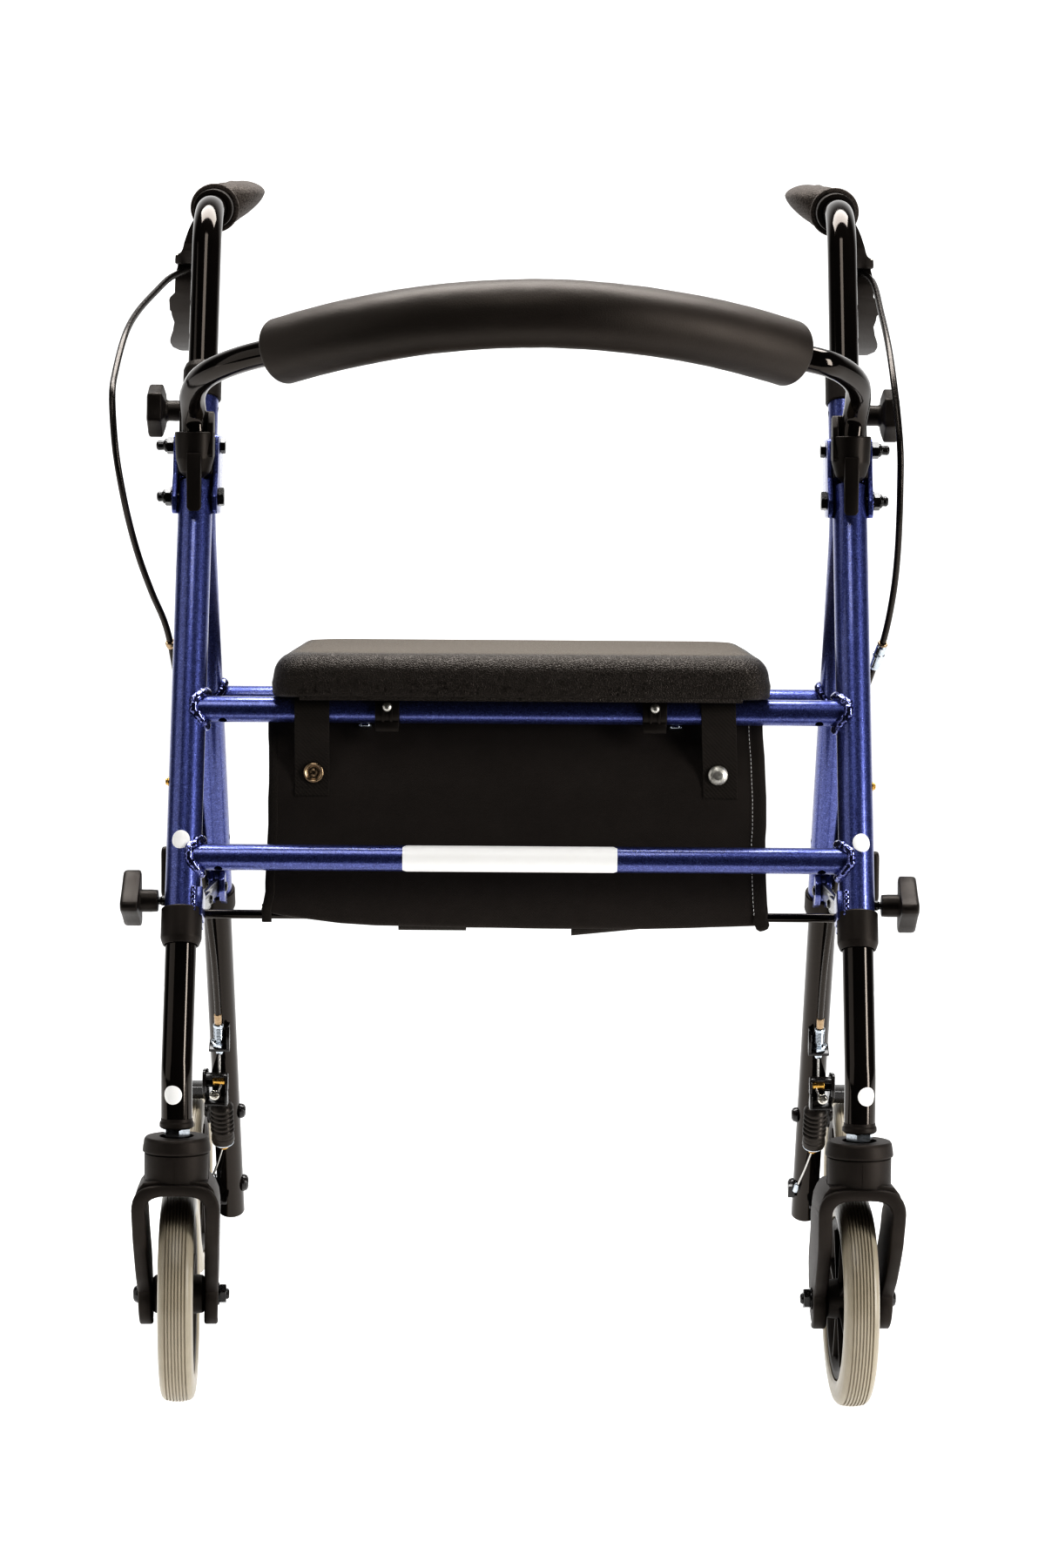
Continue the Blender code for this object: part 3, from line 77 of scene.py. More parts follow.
# ---------------------------------------------------------------- sizes of the frame
ORIGIN_V = 0.268
TUBE_X = 0.242
TUBE_OD, TUBE_ID = 0.0254, 0.0229
INNER_OD, INNER_ID = 0.0222, 0.0186
CROSS_OD, CROSS_ID = 0.01905, 0.0160
LEAN = atan(0.371)
FOOT_H = 0.243
HANDLE_BACK = 0.028
REAR_V, REAR_H, REAR_SLOPE = 0.257, 0.497, 0.5806
FRONT_LOW_H, FRONT_TOP_H = 0.342, 0.661
PIVOT_V, PIVOT_H = 0.1514, 0.651
UPPER_V, UPPER_H = 0.174, 0.689
PLATE_IN, PLATE_OUT = 0.0130, 0.0167
BEND_R, HANDLE_BEND_R = 0.060, 0.050
GRIP_RISE = radians(6.5)
WHEEL_R, WHEEL_W = 0.077, 0.025
SEG, SEG_S = 44, 24
TRAIL = 0.040
CASTER_TURN = radians(2.5)
CASTER_AXLE_H = 0.077
REAR_WHEEL_X = 0.2745
AXLE_END_X = 0.3060
SEAT_X, SEAT_V0, SEAT_V1, SEAT_H0, SEAT_H1 = 0.1805, 0.060, 0.380, 0.5072, 0.5400
SEAT_BAR = (0.092, 0.497)
LOWER_BAR = (0.053, 0.3925)
REAR_BAR = (0.257, 0.497)
ROD = (0.075, 0.349)
STAY_END = (0.318, 0.345)
BACK_BAR_R = 0.0095
PAD_R = 0.0240
CABLE_X = 0.2440

UP_F = Vector((0.0, sin(LEAN), cos(LEAN)))
BACK_F = Vector((0.0, cos(LEAN), -sin(LEAN)))
_n = hypot(REAR_SLOPE, 1.0)
DOWN_R = Vector((0.0, REAR_SLOPE / _n, -1.0 / _n))
FORE_R = Vector((0.0, -1.0 / _n, -REAR_SLOPE / _n))
AX, AY, AZ = Vector((1, 0, 0)), Vector((0, 1, 0)), Vector((0, 0, 1))


def P(x, v, h):
    return Vector((x, v - ORIGIN_V, h))


def front_v(h):
    return tan(LEAN) * (h - FOOT_H)


def handle_v(h):
    return front_v(h) + HANDLE_BACK


def rear_v(h):
    return REAR_V + (REAR_H - h) * REAR_SLOPE


def on_front(x, s, p=0.0):
    return P(x, 0.0, FOOT_H) + UP_F * s + BACK_F * p


def s_of(h):
    return (h - FOOT_H) / cos(LEAN)


def on_rear(x, t, p=0.0):
    return P(x, REAR_V, REAR_H) + DOWN_R * t + FORE_R * p


def t_of(h):
    return (REAR_H - h) * _n


def on_handle(x, s, p=0.0):
    return P(x, HANDLE_BACK, FOOT_H) + UP_F * s + BACK_F * p


BRAKE_PIVOT = (rear_v(0.144), 0.144)
LEVER_PIVOT = (0.346, 0.8385)
HANDLE_LOW_S = s_of(0.7375) - 0.0500
GRIP_DIR = Vector((0, cos(GRIP_RISE), sin(GRIP_RISE)))


def handle_corner():
    return P(TUBE_X, handle_v(0.869), 0.869)


def along_grip(v):
    c = handle_corner()
    return c + GRIP_DIR * ((v - ORIGIN_V - c.y) / cos(GRIP_RISE))


# ---------------------------------------------------------------- camera
cam_data = bpy.data.cameras.new("camera")
cam_data.lens = 88.23
cam_data.sensor_fit = "AUTO"
cam_data.sensor_width = 36.0
cam_data.sensor_height = 36.0
cam_data.clip_start = 0.05
cam_data.clip_end = 60.0
cam = bpy.data.objects.new("camera", cam_data)
shelf.objects.link(cam)
cam.matrix_world = (Matrix.Translation((0.0014, -2.7 - ORIGIN_V, 0.643))
                    @ Matrix.Rotation(radians(90 - 4.08), 4, "X")
                    @ Matrix.Rotation(radians(0.4), 4, "Z"))
scene.camera = cam


# ---------------------------------------------------------------- mesh helpers
def temp(bm, name="tmp"):
    bmesh.ops.recalc_face_normals(bm, faces=bm.faces[:])
    me = bpy.data.meshes.new(name)
    bm.to_mesh(me)
    bm.free()
    ob = bpy.data.objects.new(name, me)
    shelf.objects.link(ob)
    return ob


def boolean(a, others, op):
    for b in others:
        mod = a.modifiers.new("b", "BOOLEAN")
        mod.operation = op
        mod.solver = "EXACT"
        mod.object = b
    bpy.context.view_layer.update()
    deps = bpy.context.evaluated_depsgraph_get()
    me = bpy.data.meshes.new_from_object(a.evaluated_get(deps))
    a.modifiers.clear()
    old = a.data
    a.data = me
    bpy.data.meshes.remove(old)
    for b in others:
        bpy.data.objects.remove(b, do_unlink=True)
    return a


def join(a, *bs):
    return boolean(a, bs, "UNION")


def cut(a, *bs):
    return boolean(a, bs, "DIFFERENCE")


def meet(a, *bs):
    return boolean(a, bs, "INTERSECT")


def group(a, *bs):
    """Puts separate closed solids into one piece, without joining them."""
    bm = bmesh.new()
    bm.from_mesh(a.data)
    for b in bs:
        bm.from_mesh(b.data)
    bm.to_mesh(a.data)
    bm.free()
    for b in bs:
        bpy.data.objects.remove(b, do_unlink=True)
    return a


def bevel(ob, w, seg=2, angle=35, keep_edge=None):
    """Rounds the edges sharper than an angle."""
    bm = bmesh.new()
    bm.from_mesh(ob.data)
    es = [e for e in bm.edges if len(e.link_faces) == 2 and e.calc_face_angle(0.0) > radians(angle)
          and (keep_edge is None or keep_edge(e))]
    if es:
        bmesh.ops.bevel(bm, geom=es, offset=w, offset_type="OFFSET", segments=seg, profile=0.5, affect="EDGES",
                        clamp_overlap=True)
    bm.to_mesh(ob.data)
    bm.free()
    return ob


def bend_path(points, radii, steps=6):
    out = [points[0]]
    for i in range(1, len(points) - 1):
        a, b, c = points[i - 1], points[i], points[i + 1]
        u = (a - b).normalized()
        w = (c - b).normalized()
        turn = pi - u.angle(w)
        r = radii[i - 1]
        if turn < 1e-4 or r <= 0:
            out.append(b)
            continue
        t = r * tan(turn / 2)
        axis = u.cross(w).normalized()
        centre = b + (u + w).normalized() * (r / cos(turn / 2))
        start = b + u * t - centre
        way = -1 if (Matrix.Rotation(-turn, 3, axis) @ start - (b + w * t - centre)).length < 1e-6 else 1
        for k in range(steps + 1):
            out.append(centre + Matrix.Rotation(way * turn * k / steps, 3, axis) @ start)
    out.append(points[-1])
    return out


def smooth_path(points, step):
    pts = [Vector(p) for p in points]
    ext = [pts[0] * 2 - pts[1]] + pts + [pts[-1] * 2 - pts[-2]]
    out = []
    for i in range(1, len(ext) - 2):
        p0, p1, p2, p3 = ext[i - 1:i + 3]
        t0 = 0.0
        t1 = t0 + max((p1 - p0).length, 1e-6) ** 0.5
        t2 = t1 + max((p2 - p1).length, 1e-6) ** 0.5
        t3 = t2 + max((p3 - p2).length, 1e-6) ** 0.5
        n = max(1, round((p2 - p1).length / step))
        for k in range(n):
            t = t1 + (t2 - t1) * k / n
            a1 = p0 * ((t1 - t) / (t1 - t0)) + p1 * ((t - t0) / (t1 - t0))
            a2 = p1 * ((t2 - t) / (t2 - t1)) + p2 * ((t - t1) / (t2 - t1))
            a3 = p2 * ((t3 - t) / (t3 - t2)) + p3 * ((t - t2) / (t3 - t2))
            b1 = a1 * ((t2 - t) / (t2 - t0)) + a2 * ((t - t0) / (t2 - t0))
            b2 = a2 * ((t3 - t) / (t3 - t1)) + a3 * ((t - t1) / (t3 - t1))
            out.append(b1 * ((t2 - t) / (t2 - t1)) + b2 * ((t - t1) / (t2 - t1)))
    out.append(pts[-1])
    return out


def rings(bm, path, radius, seg, side=AX, closed=False):
    n = len(path)
    loops = []
    ref = None
    for i, p in enumerate(path):
        a = (path[i] - path[i - 1]).normalized() if (i or closed) else None
        b = (path[(i + 1) % n] - path[i]).normalized() if (i < n - 1 or closed) else None
        d = ((a or b) + (b or a)).normalized()
        half = (a.angle(b) / 2) if (a and b) else 0.0
        if ref is None:
            ref = side - d * side.dot(d)
            if ref.length < 1e-3:
                ref = AZ - d * d.z
        else:
            ref = ref - d * ref.dot(d)
        ref.normalize()
        other = d.cross(ref)
        stretch = None
        if half > 1e-4:
            m = (b - a)
            m = (m - d * m.dot(d)).normalized()
            stretch = (m, 1 / cos(half))
        r = radius[i] if isinstance(radius, (list, tuple)) else radius
        loop = []
        for k in range(seg):
            q = 2 * pi * k / seg
            off = ref * (r * cos(q)) + other * (r * sin(q))
            if stretch:
                off = off + stretch[0] * (off.dot(stretch[0]) * (stretch[1] - 1))
            loop.append(bm.verts.new(p + off))
        loops.append(loop)
    return loops


def skin(bm, la, lb):
    n = len(la)
    for k in range(n):
        bm.faces.new((la[k], la[(k + 1) % n], lb[(k + 1) % n], lb[k]))


def rod(path, r, seg=24, side=AX):
    bm = bmesh.new()
    ls = rings(bm, path, r, seg, side)
    for a, b in zip(ls, ls[1:]):
        skin(bm, a, b)
    bm.faces.new(list(reversed(ls[0])))
    bm.faces.new(ls[-1])
    return temp(bm)


def tube(path, ro, ri, seg=SEG, side=AX):
    """Round tube with slightly broken ends."""
    bm = bmesh.new()
    d0 = (path[1] - path[0]).normalized()
    d1 = (path[-2] - path[-1]).normalized()
    e = min(0.0004, (ro - ri) * 0.3)
    full = [path[0], path[0] + d0 * e] + list(path[1:-1]) + [path[-1] + d1 * e, path[-1]]
    radii = [ro - e] + [ro] * (len(full) - 2) + [ro - e]
    outer = rings(bm, full, radii, seg, side)
    inner = rings(bm, full, ri, seg, side)
    for a, b in zip(outer, outer[1:]):
        skin(bm, a, b)
    for a, b in zip(inner, inner[1:]):
        skin(bm, b, a)
    skin(bm, inner[0], outer[0])
    skin(bm, outer[-1], inner[-1])
    return temp(bm)


def turned(profile, base, axis, seg=32, start=0.0, ref=AX):
    axis = Vector(axis).normalized()
    ref = ref - axis * ref.dot(axis)
    if ref.length < 1e-3:
        ref = Vector((0, 0, -1)) - axis * Vector((0, 0, -1)).dot(axis)
    ref.normalize()
    other = axis.cross(ref)
    bm = bmesh.new()
    loops = []
    for r, z in profile:
        if r < 1e-6:
            loops.append([bm.verts.new(base + axis * z)])
        else:
            loops.append([bm.verts.new(base + axis * z + ref * (r * cos(start + 2 * pi * k / seg))
                                       + other * (r * sin(start + 2 * pi * k / seg))) for k in range(seg)])
    closed = profile[0][0] > 1e-6 and profile[-1][0] > 1e-6
    pairs = list(zip(loops, loops[1:] + loops[:1])) if closed else list(zip(loops, loops[1:]))
    for a, b in pairs:
        if len(a) == 1 and len(b) == 1:
            continue
        for k in range(seg):
            j = (k + 1) % seg
            if len(a) == 1:
                bm.faces.new((a[0], b[j], b[k]))
            elif len(b) == 1:
                bm.faces.new((a[k], a[j], b[0]))
            else:
                bm.faces.new((a[k], a[j], b[j], b[k]))
    return temp(bm)


def soften(profile, r, steps=3, closed=False):
    """Rounds the corners of a turned profile."""
    out = []
    n = len(profile)
    for i, p in enumerate(profile):
        if not closed and (i == 0 or i == n - 1):
            out.append(p)
            continue
        a, b, c = Vector(profile[i - 1]), Vector(p), Vector(profile[(i + 1) % n])
        u, w = a - b, c - b
        if u.length < 1e-7 or w.length < 1e-7 or b.x < 1e-6:
            out.append(p)
            continue
        ang = u.angle(w)
        if ang > radians(172):
            out.append(p)
            continue
        rr = r[i] if isinstance(r, (list, tuple)) else r
        if rr <= 0:
            out.append(p)
            continue
        t = min(rr / tan(ang / 2), 0.45 * u.length, 0.45 * w.length)
        s, e = b + u.normalized() * t, b + w.normalized() * t
        for k in range(steps + 1):
            f = k / steps
            q = s * (1 - f) * (1 - f) + b * (2 * f * (1 - f)) + e * f * f
            out.append((max(q.x, 0.0), q.y))
    return out


def pin(a, b, r, seg=20):
    return rod([a, b], r, seg, AZ)


def plate(points, plane, lo, hi):
    def at(p, w):
        if plane == "vh":
            return P(w, p[0], p[1])
        if plane == "xh":
            return P(p[0], w, p[1])
        return P(p[0], p[1], w)
    bm = bmesh.new()
    a = [bm.verts.new(at(p, lo)) for p in points]
    b = [bm.verts.new(at(p, hi)) for p in points]
    skin(bm, a, b)
    bm.faces.new(list(reversed(a)))
    bm.faces.new(b)
    return temp(bm)


def slab(points, plane, lo, hi, edge=0.0006):
    """Plate with rounded long edges."""
    return bevel(plate(points, plane, lo, hi), edge, 2, 50)


def block(origin, ax, ay, az, x0, x1, y0, y1, z0, z1):
    bm = bmesh.new()
    v = [[[bm.verts.new(origin + ax * x + ay * y + az * z) for z in (z0, z1)] for y in (y0, y1)] for x in (x0, x1)]
    for f in ((v[0][0][0], v[0][0][1], v[0][1][1], v[0][1][0]),
              (v[1][0][0], v[1][1][0], v[1][1][1], v[1][0][1]),
              (v[0][0][0], v[1][0][0], v[1][0][1], v[0][0][1]),
              (v[0][1][0], v[0][1][1], v[1][1][1], v[1][1][0]),
              (v[0][0][0], v[0][1][0], v[1][1][0], v[1][0][0]),
              (v[0][0][1], v[1][0][1], v[1][1][1], v[0][1][1])):
        bm.faces.new(f)
    return temp(bm)


def brick(origin, ax, ay, az, x0, x1, y0, y1, z0, z1, edge=0.0006):
    return bevel(block(origin, ax, ay, az, x0, x1, y0, y1, z0, z1), edge, 2, 50)


def rounded(points, radius, steps=4):
    out = []
    n = len(points)
    for i in range(n):
        a, b, c = (Vector(points[i - 1]), Vector(points[i]), Vector(points[(i + 1) % n]))
        r = radius[i] if isinstance(radius, (list, tuple)) else radius
        if r <= 0:
            out.append(tuple(b))
            continue
        u, w = (a - b).normalized(), (c - b).normalized()
        ang = u.angle(w)
        t = min(r / tan(ang / 2), 0.45 * (a - b).length, 0.45 * (c - b).length)
        r = t * tan(ang / 2)
        centre = b + (u + w).normalized() * (r / sin(ang / 2))
        s, e = b + u * t - centre, b + w * t - centre
        a0 = atan2(s.y, s.x)
        d = atan2(e.y, e.x) - a0
        d = (d + pi) % (2 * pi) - pi
        for k in range(steps + 1):
            q = a0 + d * k / steps
            out.append((centre.x + r * cos(q), centre.y + r * sin(q)))
    return out


def stadium(a, b, r, steps=12):
    d = atan2(b[1] - a[1], b[0] - a[0])
    out = []
    for k in range(steps + 1):
        q = d - pi / 2 + pi * k / steps
        out.append((b[0] + r * cos(q), b[1] + r * sin(q)))
    for k in range(steps + 1):
        q = d + pi / 2 + pi * k / steps
        out.append((a[0] + r * cos(q), a[1] + r * sin(q)))
    return out


def curve_loop(points, n):
    """Closed smooth outline through points, with n points spread evenly along it."""
    m = len(points)
    fine = []
    for i in range(m):
        p0, p1, p2, p3 = (Vector(points[(i + k - 1) % m]) for k in range(4))
        for k in range(12):
            t = k / 12
            fine.append(0.5 * ((2 * p1) + (p2 - p0) * t + (2 * p0 - 5 * p1 + 4 * p2 - p3) * t * t
                               + (3 * p1 - p0 - 3 * p2 + p3) * t ** 3))
    fine.append(fine[0])
    ds = [0.0]
    for a, b in zip(fine, fine[1:]):
        ds.append(ds[-1] + (b - a).length)
    out = []
    j = 0
    for k in range(n):
        s = ds[-1] * k / n
        while ds[j + 1] < s:
            j += 1
        f = (s - ds[j]) / max(ds[j + 1] - ds[j], 1e-9)
        out.append(fine[j] * (1 - f) + fine[j + 1] * f)
    return out


def hexagon(base, axis, af, lo, hi, turn=0.0, dome=0.12, ref=AX):
    """Hexagonal nut or bolt head, its corners turned off at both faces."""
    r = af / 2 / cos(pi / 6)
    body = turned([(0.0, lo), (r, lo), (r, hi), (0.0, hi)], base, axis, 6, turn, ref)
    c = turned([(0.0, lo - 0.0001), (af / 2 * 0.97, lo - 0.0001), (r * 1.01, lo + (hi - lo) * dome),
                (r * 1.01, hi - (hi - lo) * dome), (af / 2 * 0.97, hi + 0.0001), (0.0, hi + 0.0001)], base, axis, 36, 0.0, ref)
    return meet(body, c)


# ---------------------------------------------------------------- materials
class Mat:
    """Small helper for building a node material."""

    def __init__(self, name, colour, rough, metal=0.0):
        self.m = bpy.data.materials.new(name)
        self.m.use_nodes = True
        self.t = self.m.node_tree
        self.s = next(n for n in self.t.nodes if n.type == "BSDF_PRINCIPLED")
        self.set("Base Color", (*colour, 1.0))
        self.set("Roughness", rough)
        self.set("Metallic", metal)
        self.m.diffuse_color = (*colour, 1.0)
        self.coord = self.t.nodes.new("ShaderNodeTexCoord")
        self.where = self.coord.outputs["Object"]

    def set(self, name, value):
        self.s.inputs[name].default_value = value

    def node(self, kind, **values):
        n = self.t.nodes.new(kind)
        for k, v in values.items():
            if k in n.inputs:
                n.inputs[k].default_value = v
            else:
                setattr(n, k, v)
        return n

    def link(self, a, b):
        self.t.links.new(a, b)

    def noise(self, scale, detail=2.0, rough=0.5, where=None, stretch=None):
        n = self.node("ShaderNodeTexNoise", Scale=scale, Detail=detail, Roughness=rough)
        src = where or self.where
        if stretch:
            mp = self.node("ShaderNodeMapping")
            mp.inputs["Scale"].default_value = stretch
            self.link(src, mp.inputs["Vector"])
            src = mp.outputs["Vector"]
        self.link(src, n.inputs["Vector"])
        return n.outputs["Fac"]

    def cells(self, scale, feature="F1", out="Distance", where=None, smooth=None):
        n = self.node("ShaderNodeTexVoronoi", Scale=scale, feature=feature)
        if smooth is not None:
            n.inputs["Smoothness"].default_value = smooth
        self.link(where or self.where, n.inputs["Vector"])
        return n.outputs[out]

    def ramp(self, fac, stops):
        r = self.node("ShaderNodeValToRGB")
        e = r.color_ramp.elements
        while len(e) < len(stops):
            e.new(0.5)
        for i, (pos, col) in enumerate(stops):
            e[i].position = pos
            e[i].color = (*col, 1.0) if len(col) == 3 else col
        self.link(fac, r.inputs["Fac"])
        return r.outputs["Color"]

    def range(self, fac, a, b, lo=0.0, hi=1.0):
        n = self.node("ShaderNodeMapRange")
        n.inputs["From Min"].default_value = lo
        n.inputs["From Max"].default_value = hi
        n.inputs["To Min"].default_value = a
        n.inputs["To Max"].default_value = b
        self.link(fac, n.inputs["Value"])
        return n.outputs["Result"]

    def math(self, op, a, b=None, c=None):
        n = self.node("ShaderNodeMath", operation=op)
        for i, x in enumerate((a, b, c)):
            if x is None:
                continue
            if isinstance(x, (int, float)):
                n.inputs[i].default_value = x
            else:
                self.link(x, n.inputs[i])
        return n.outputs[0]

    def mix(self, fac, a, b):
        n = self.node("ShaderNodeMix", data_type="RGBA")
        for socket, x in ((n.inputs[0], fac), (n.inputs[6], a), (n.inputs[7], b)):
            if isinstance(x, (int, float)):
                socket.default_value = x
            elif isinstance(x, tuple):
                socket.default_value = (*x, 1.0)
            else:
                self.link(x, socket)
        return n.outputs[2]

    def bump(self, height, dist, strength=1.0, after=None):
        n = self.node("ShaderNodeBump", Distance=dist, Strength=strength)
        self.link(height, n.inputs["Height"])
        if after is not None:
            self.link(after, n.inputs["Normal"])
        self.last = n.outputs["Normal"]
        return self.last

    def normal(self, out):
        self.link(out, self.s.inputs["Normal"])

    def colour(self, out):
        self.link(out, self.s.inputs["Base Color"])

    def rough(self, out):
        self.link(out, self.s.inputs["Roughness"])


def blue_paint():
    m = Mat("blue_flake_paint", (0.030, 0.036, 0.30), 0.34, 0.82)
    flake = m.cells(1500, out="Color")
    sep = m.node("ShaderNodeSeparateColor")
    m.link(flake, sep.inputs[0])
    cloud = m.noise(260, 2.0, 0.6)
    f = m.math("ADD", m.math("MULTIPLY", sep.outputs[0], 0.75), m.math("MULTIPLY", cloud, 0.35))
    m.colour(m.ramp(f, [(0.12, (0.056, 0.066, 0.200)), (0.55, (0.088, 0.106, 0.295)), (0.86, (0.124, 0.150, 0.390)),
                        (0.98, (0.20, 0.24, 0.54))]))
    m.rough(m.range(sep.outputs[1], 0.27, 0.43))
    tilt = m.bump(sep.outputs[2], 0.00003, 0.35)
    m.normal(m.bump(m.noise(420, 1.0), 0.00003, 0.25, tilt))
    m.set("Coat Weight", 0.7)
    m.set("Coat Roughness", 0.07)
    m.set("Coat IOR", 1.5)
    return m.m


def weld_paint():
    m = Mat("blue_paint_on_weld", (0.060, 0.066, 0.33), 0.20, 0.9)
    sep = m.node("ShaderNodeSeparateColor")
    m.link(m.cells(1400, out="Color"), sep.inputs[0])
    m.colour(m.ramp(sep.outputs[0], [(0.1, (0.070, 0.076, 0.20)), (0.7, (0.13, 0.145, 0.34)), (0.98, (0.30, 0.33, 0.66))]))
    m.normal(m.bump(m.noise(900, 2.0), 0.0002, 0.5))
    m.set("Coat Weight", 0.8)
    m.set("Coat Roughness", 0.05)
    return m.m


def gloss_black():
    m = Mat("gloss_black_coat", (0.0075, 0.0062, 0.0055), 0.08)
    m.set("Specular Tint", (1.0, 0.88, 0.78, 1.0))
    n = m.noise(150, 3.0, 0.6)
    m.rough(m.range(n, 0.07, 0.12, 0.3, 0.7))
    m.colour(m.ramp(m.noise(18, 4.0, 0.6), [(0.3, (0.0062, 0.0052, 0.0046)), (0.7, (0.0105, 0.0085, 0.0075))]))
    m.normal(m.bump(m.noise(380, 1.0), 0.00002, 0.25))
    return m.m


def black_plastic(name="black_moulded_plastic", base=0.017, lo=0.40, hi=0.56, grain=0.00007):
    m = Mat(name, (base, base * 0.82, base * 0.72), 0.48)
    m.set("Specular Tint", (1.0, 0.88, 0.78, 1.0))
    g = m.noise(1900, 3.0, 0.65)
    c = m.noise(40, 3.0, 0.6)
    m.set("Specular IOR Level", 0.34)
    m.colour(m.ramp(c, [(0.3, (base * 0.85, base * 0.70, base * 0.61)), (0.7, (base * 1.2, base * 0.98, base * 0.86))]))
    m.rough(m.range(g, lo, hi, 0.3, 0.7))
    m.normal(m.bump(g, grain, 0.9))
    return m.m


def grip_rubber():
    m = Mat("grained_soft_grip", (0.040, 0.034, 0.031), 0.62)
    m.set("Specular Tint", (1.0, 0.88, 0.78, 1.0))
    big = m.cells(720, feature="SMOOTH_F1", smooth=0.45)
    small = m.noise(2300, 2.0, 0.6)
    h = m.math("ADD", m.math("MULTIPLY", big, 0.9), m.math("MULTIPLY", small, 0.35))
    m.colour(m.ramp(h, [(0.15, (0.100, 0.084, 0.074)), (0.55, (0.058, 0.048, 0.042)), (0.9, (0.028, 0.023, 0.020))]))
    m.rough(m.range(h, 0.50, 0.74, 0.1, 0.9))
    m.normal(m.bump(m.math("SUBTRACT", 1.0, h), 0.00032, 0.9))
    m.set("Sheen Weight", 0.03)
    m.set("Sheen Roughness", 0.5)
    return m.m


def seat_foam():
    """Moulded skin with a leather grain; the flat top is finer, painted much lighter and warmer brown than the sides as
    painted top light, and carries small pale specks.
    """
    m = Mat("leather_grain_moulding", (0.020, 0.017, 0.015), 0.5)
    m.set("Specular Tint", (1.0, 0.88, 0.78, 1.0))
    warp = m.node("ShaderNodeTexNoise", Scale=240.0, Detail=2.0)
    m.link(m.where, warp.inputs["Vector"])
    sc = m.node("ShaderNodeVectorMath", operation="SCALE")
    sc.inputs["Scale"].default_value = 0.0016
    m.link(warp.outputs["Color"], sc.inputs[0])
    add = m.node("ShaderNodeVectorMath", operation="ADD")
    m.link(m.where, add.inputs[0])
    m.link(sc.outputs["Vector"], add.inputs[1])
    crease = m.cells(560, feature="DISTANCE_TO_EDGE", where=add.outputs["Vector"])
    pebble = m.range(crease, 0.0, 1.0, 0.0, 0.22)
    fine = m.noise(2100, 2.0, 0.6)
    h = m.math("ADD", m.math("MULTIPLY", pebble, 0.8), m.math("MULTIPLY", fine, 0.3))
    geo = m.node("ShaderNodeNewGeometry")
    up = m.node("ShaderNodeSeparateXYZ")
    m.link(geo.outputs["Normal"], up.inputs[0])
    pos = m.node("ShaderNodeSeparateXYZ")
    m.link(m.where, pos.inputs[0])
    # mask of the flat top, where the painted top light goes
    top = m.range(pos.outputs["Z"], 0.0, 1.0, 0.5385, 0.5396)
    body = m.ramp(h, [(0.2, (0.0070, 0.0055, 0.0046)), (0.9, (0.0150, 0.0122, 0.0102))])
    # small pale specks on the flat top
    speck = m.cells(95, out="Distance")
    dots = m.range(speck, 1.0, 0.0, 0.04, 0.075)
    pale_specks = m.math("MULTIPLY", dots, m.range(m.noise(37, 2.0), 0.0, 1.0, 0.52, 0.60))
    # painted top light: a warm brown far lighter than the grain colour, standing for the light that falls on the flat
    # top; the pale specks are mixed into it
    painted_top_light = m.ramp(m.noise(520, 4.0, 0.7), [(0.3, (0.064, 0.052, 0.038)), (0.7, (0.130, 0.108, 0.081))])
    painted_top_light = m.mix(m.math("MULTIPLY", pale_specks, 0.8), painted_top_light, (0.60, 0.58, 0.52))
    # 80% of the flat top takes the painted top light in place of the grain colour
    m.colour(m.mix(m.math("MULTIPLY", top, 0.80), body, painted_top_light))
    m.rough(m.math("ADD", m.range(h, 0.38, 0.52, 0.1, 1.0), m.math("MULTIPLY", top, 0.16)))
    m.normal(m.bump(h, 0.00030, 0.85))
    return m.m


def foam_skin():
    m = Mat("smooth_black_foam", (0.015, 0.0125, 0.011), 0.50)
    m.set("Specular Tint", (1.0, 0.88, 0.78, 1.0))
    g = m.noise(2600, 3.0, 0.7)
    p = m.cells(900, feature="SMOOTH_F1", smooth=0.6)
    w = m.noise(26, 3.0, 0.55, stretch=(0.4, 1.0, 1.0))
    m.colour(m.ramp(w, [(0.3, (0.0215, 0.0172, 0.0144)), (0.7, (0.0310, 0.0250, 0.0210))]))
    m.rough(m.range(m.math("ADD", m.math("MULTIPLY", g, 0.6), m.math("MULTIPLY", w, 0.4)), 0.40, 0.60, 0.3, 0.7))
    m.normal(m.bump(m.math("ADD", m.math("MULTIPLY", g, 0.5), p), 0.00007, 0.8, m.bump(w, 0.0016, 0.35)))
    m.set("Sheen Weight", 0.015)
    m.set("Sheen Roughness", 0.35)
    return m.m


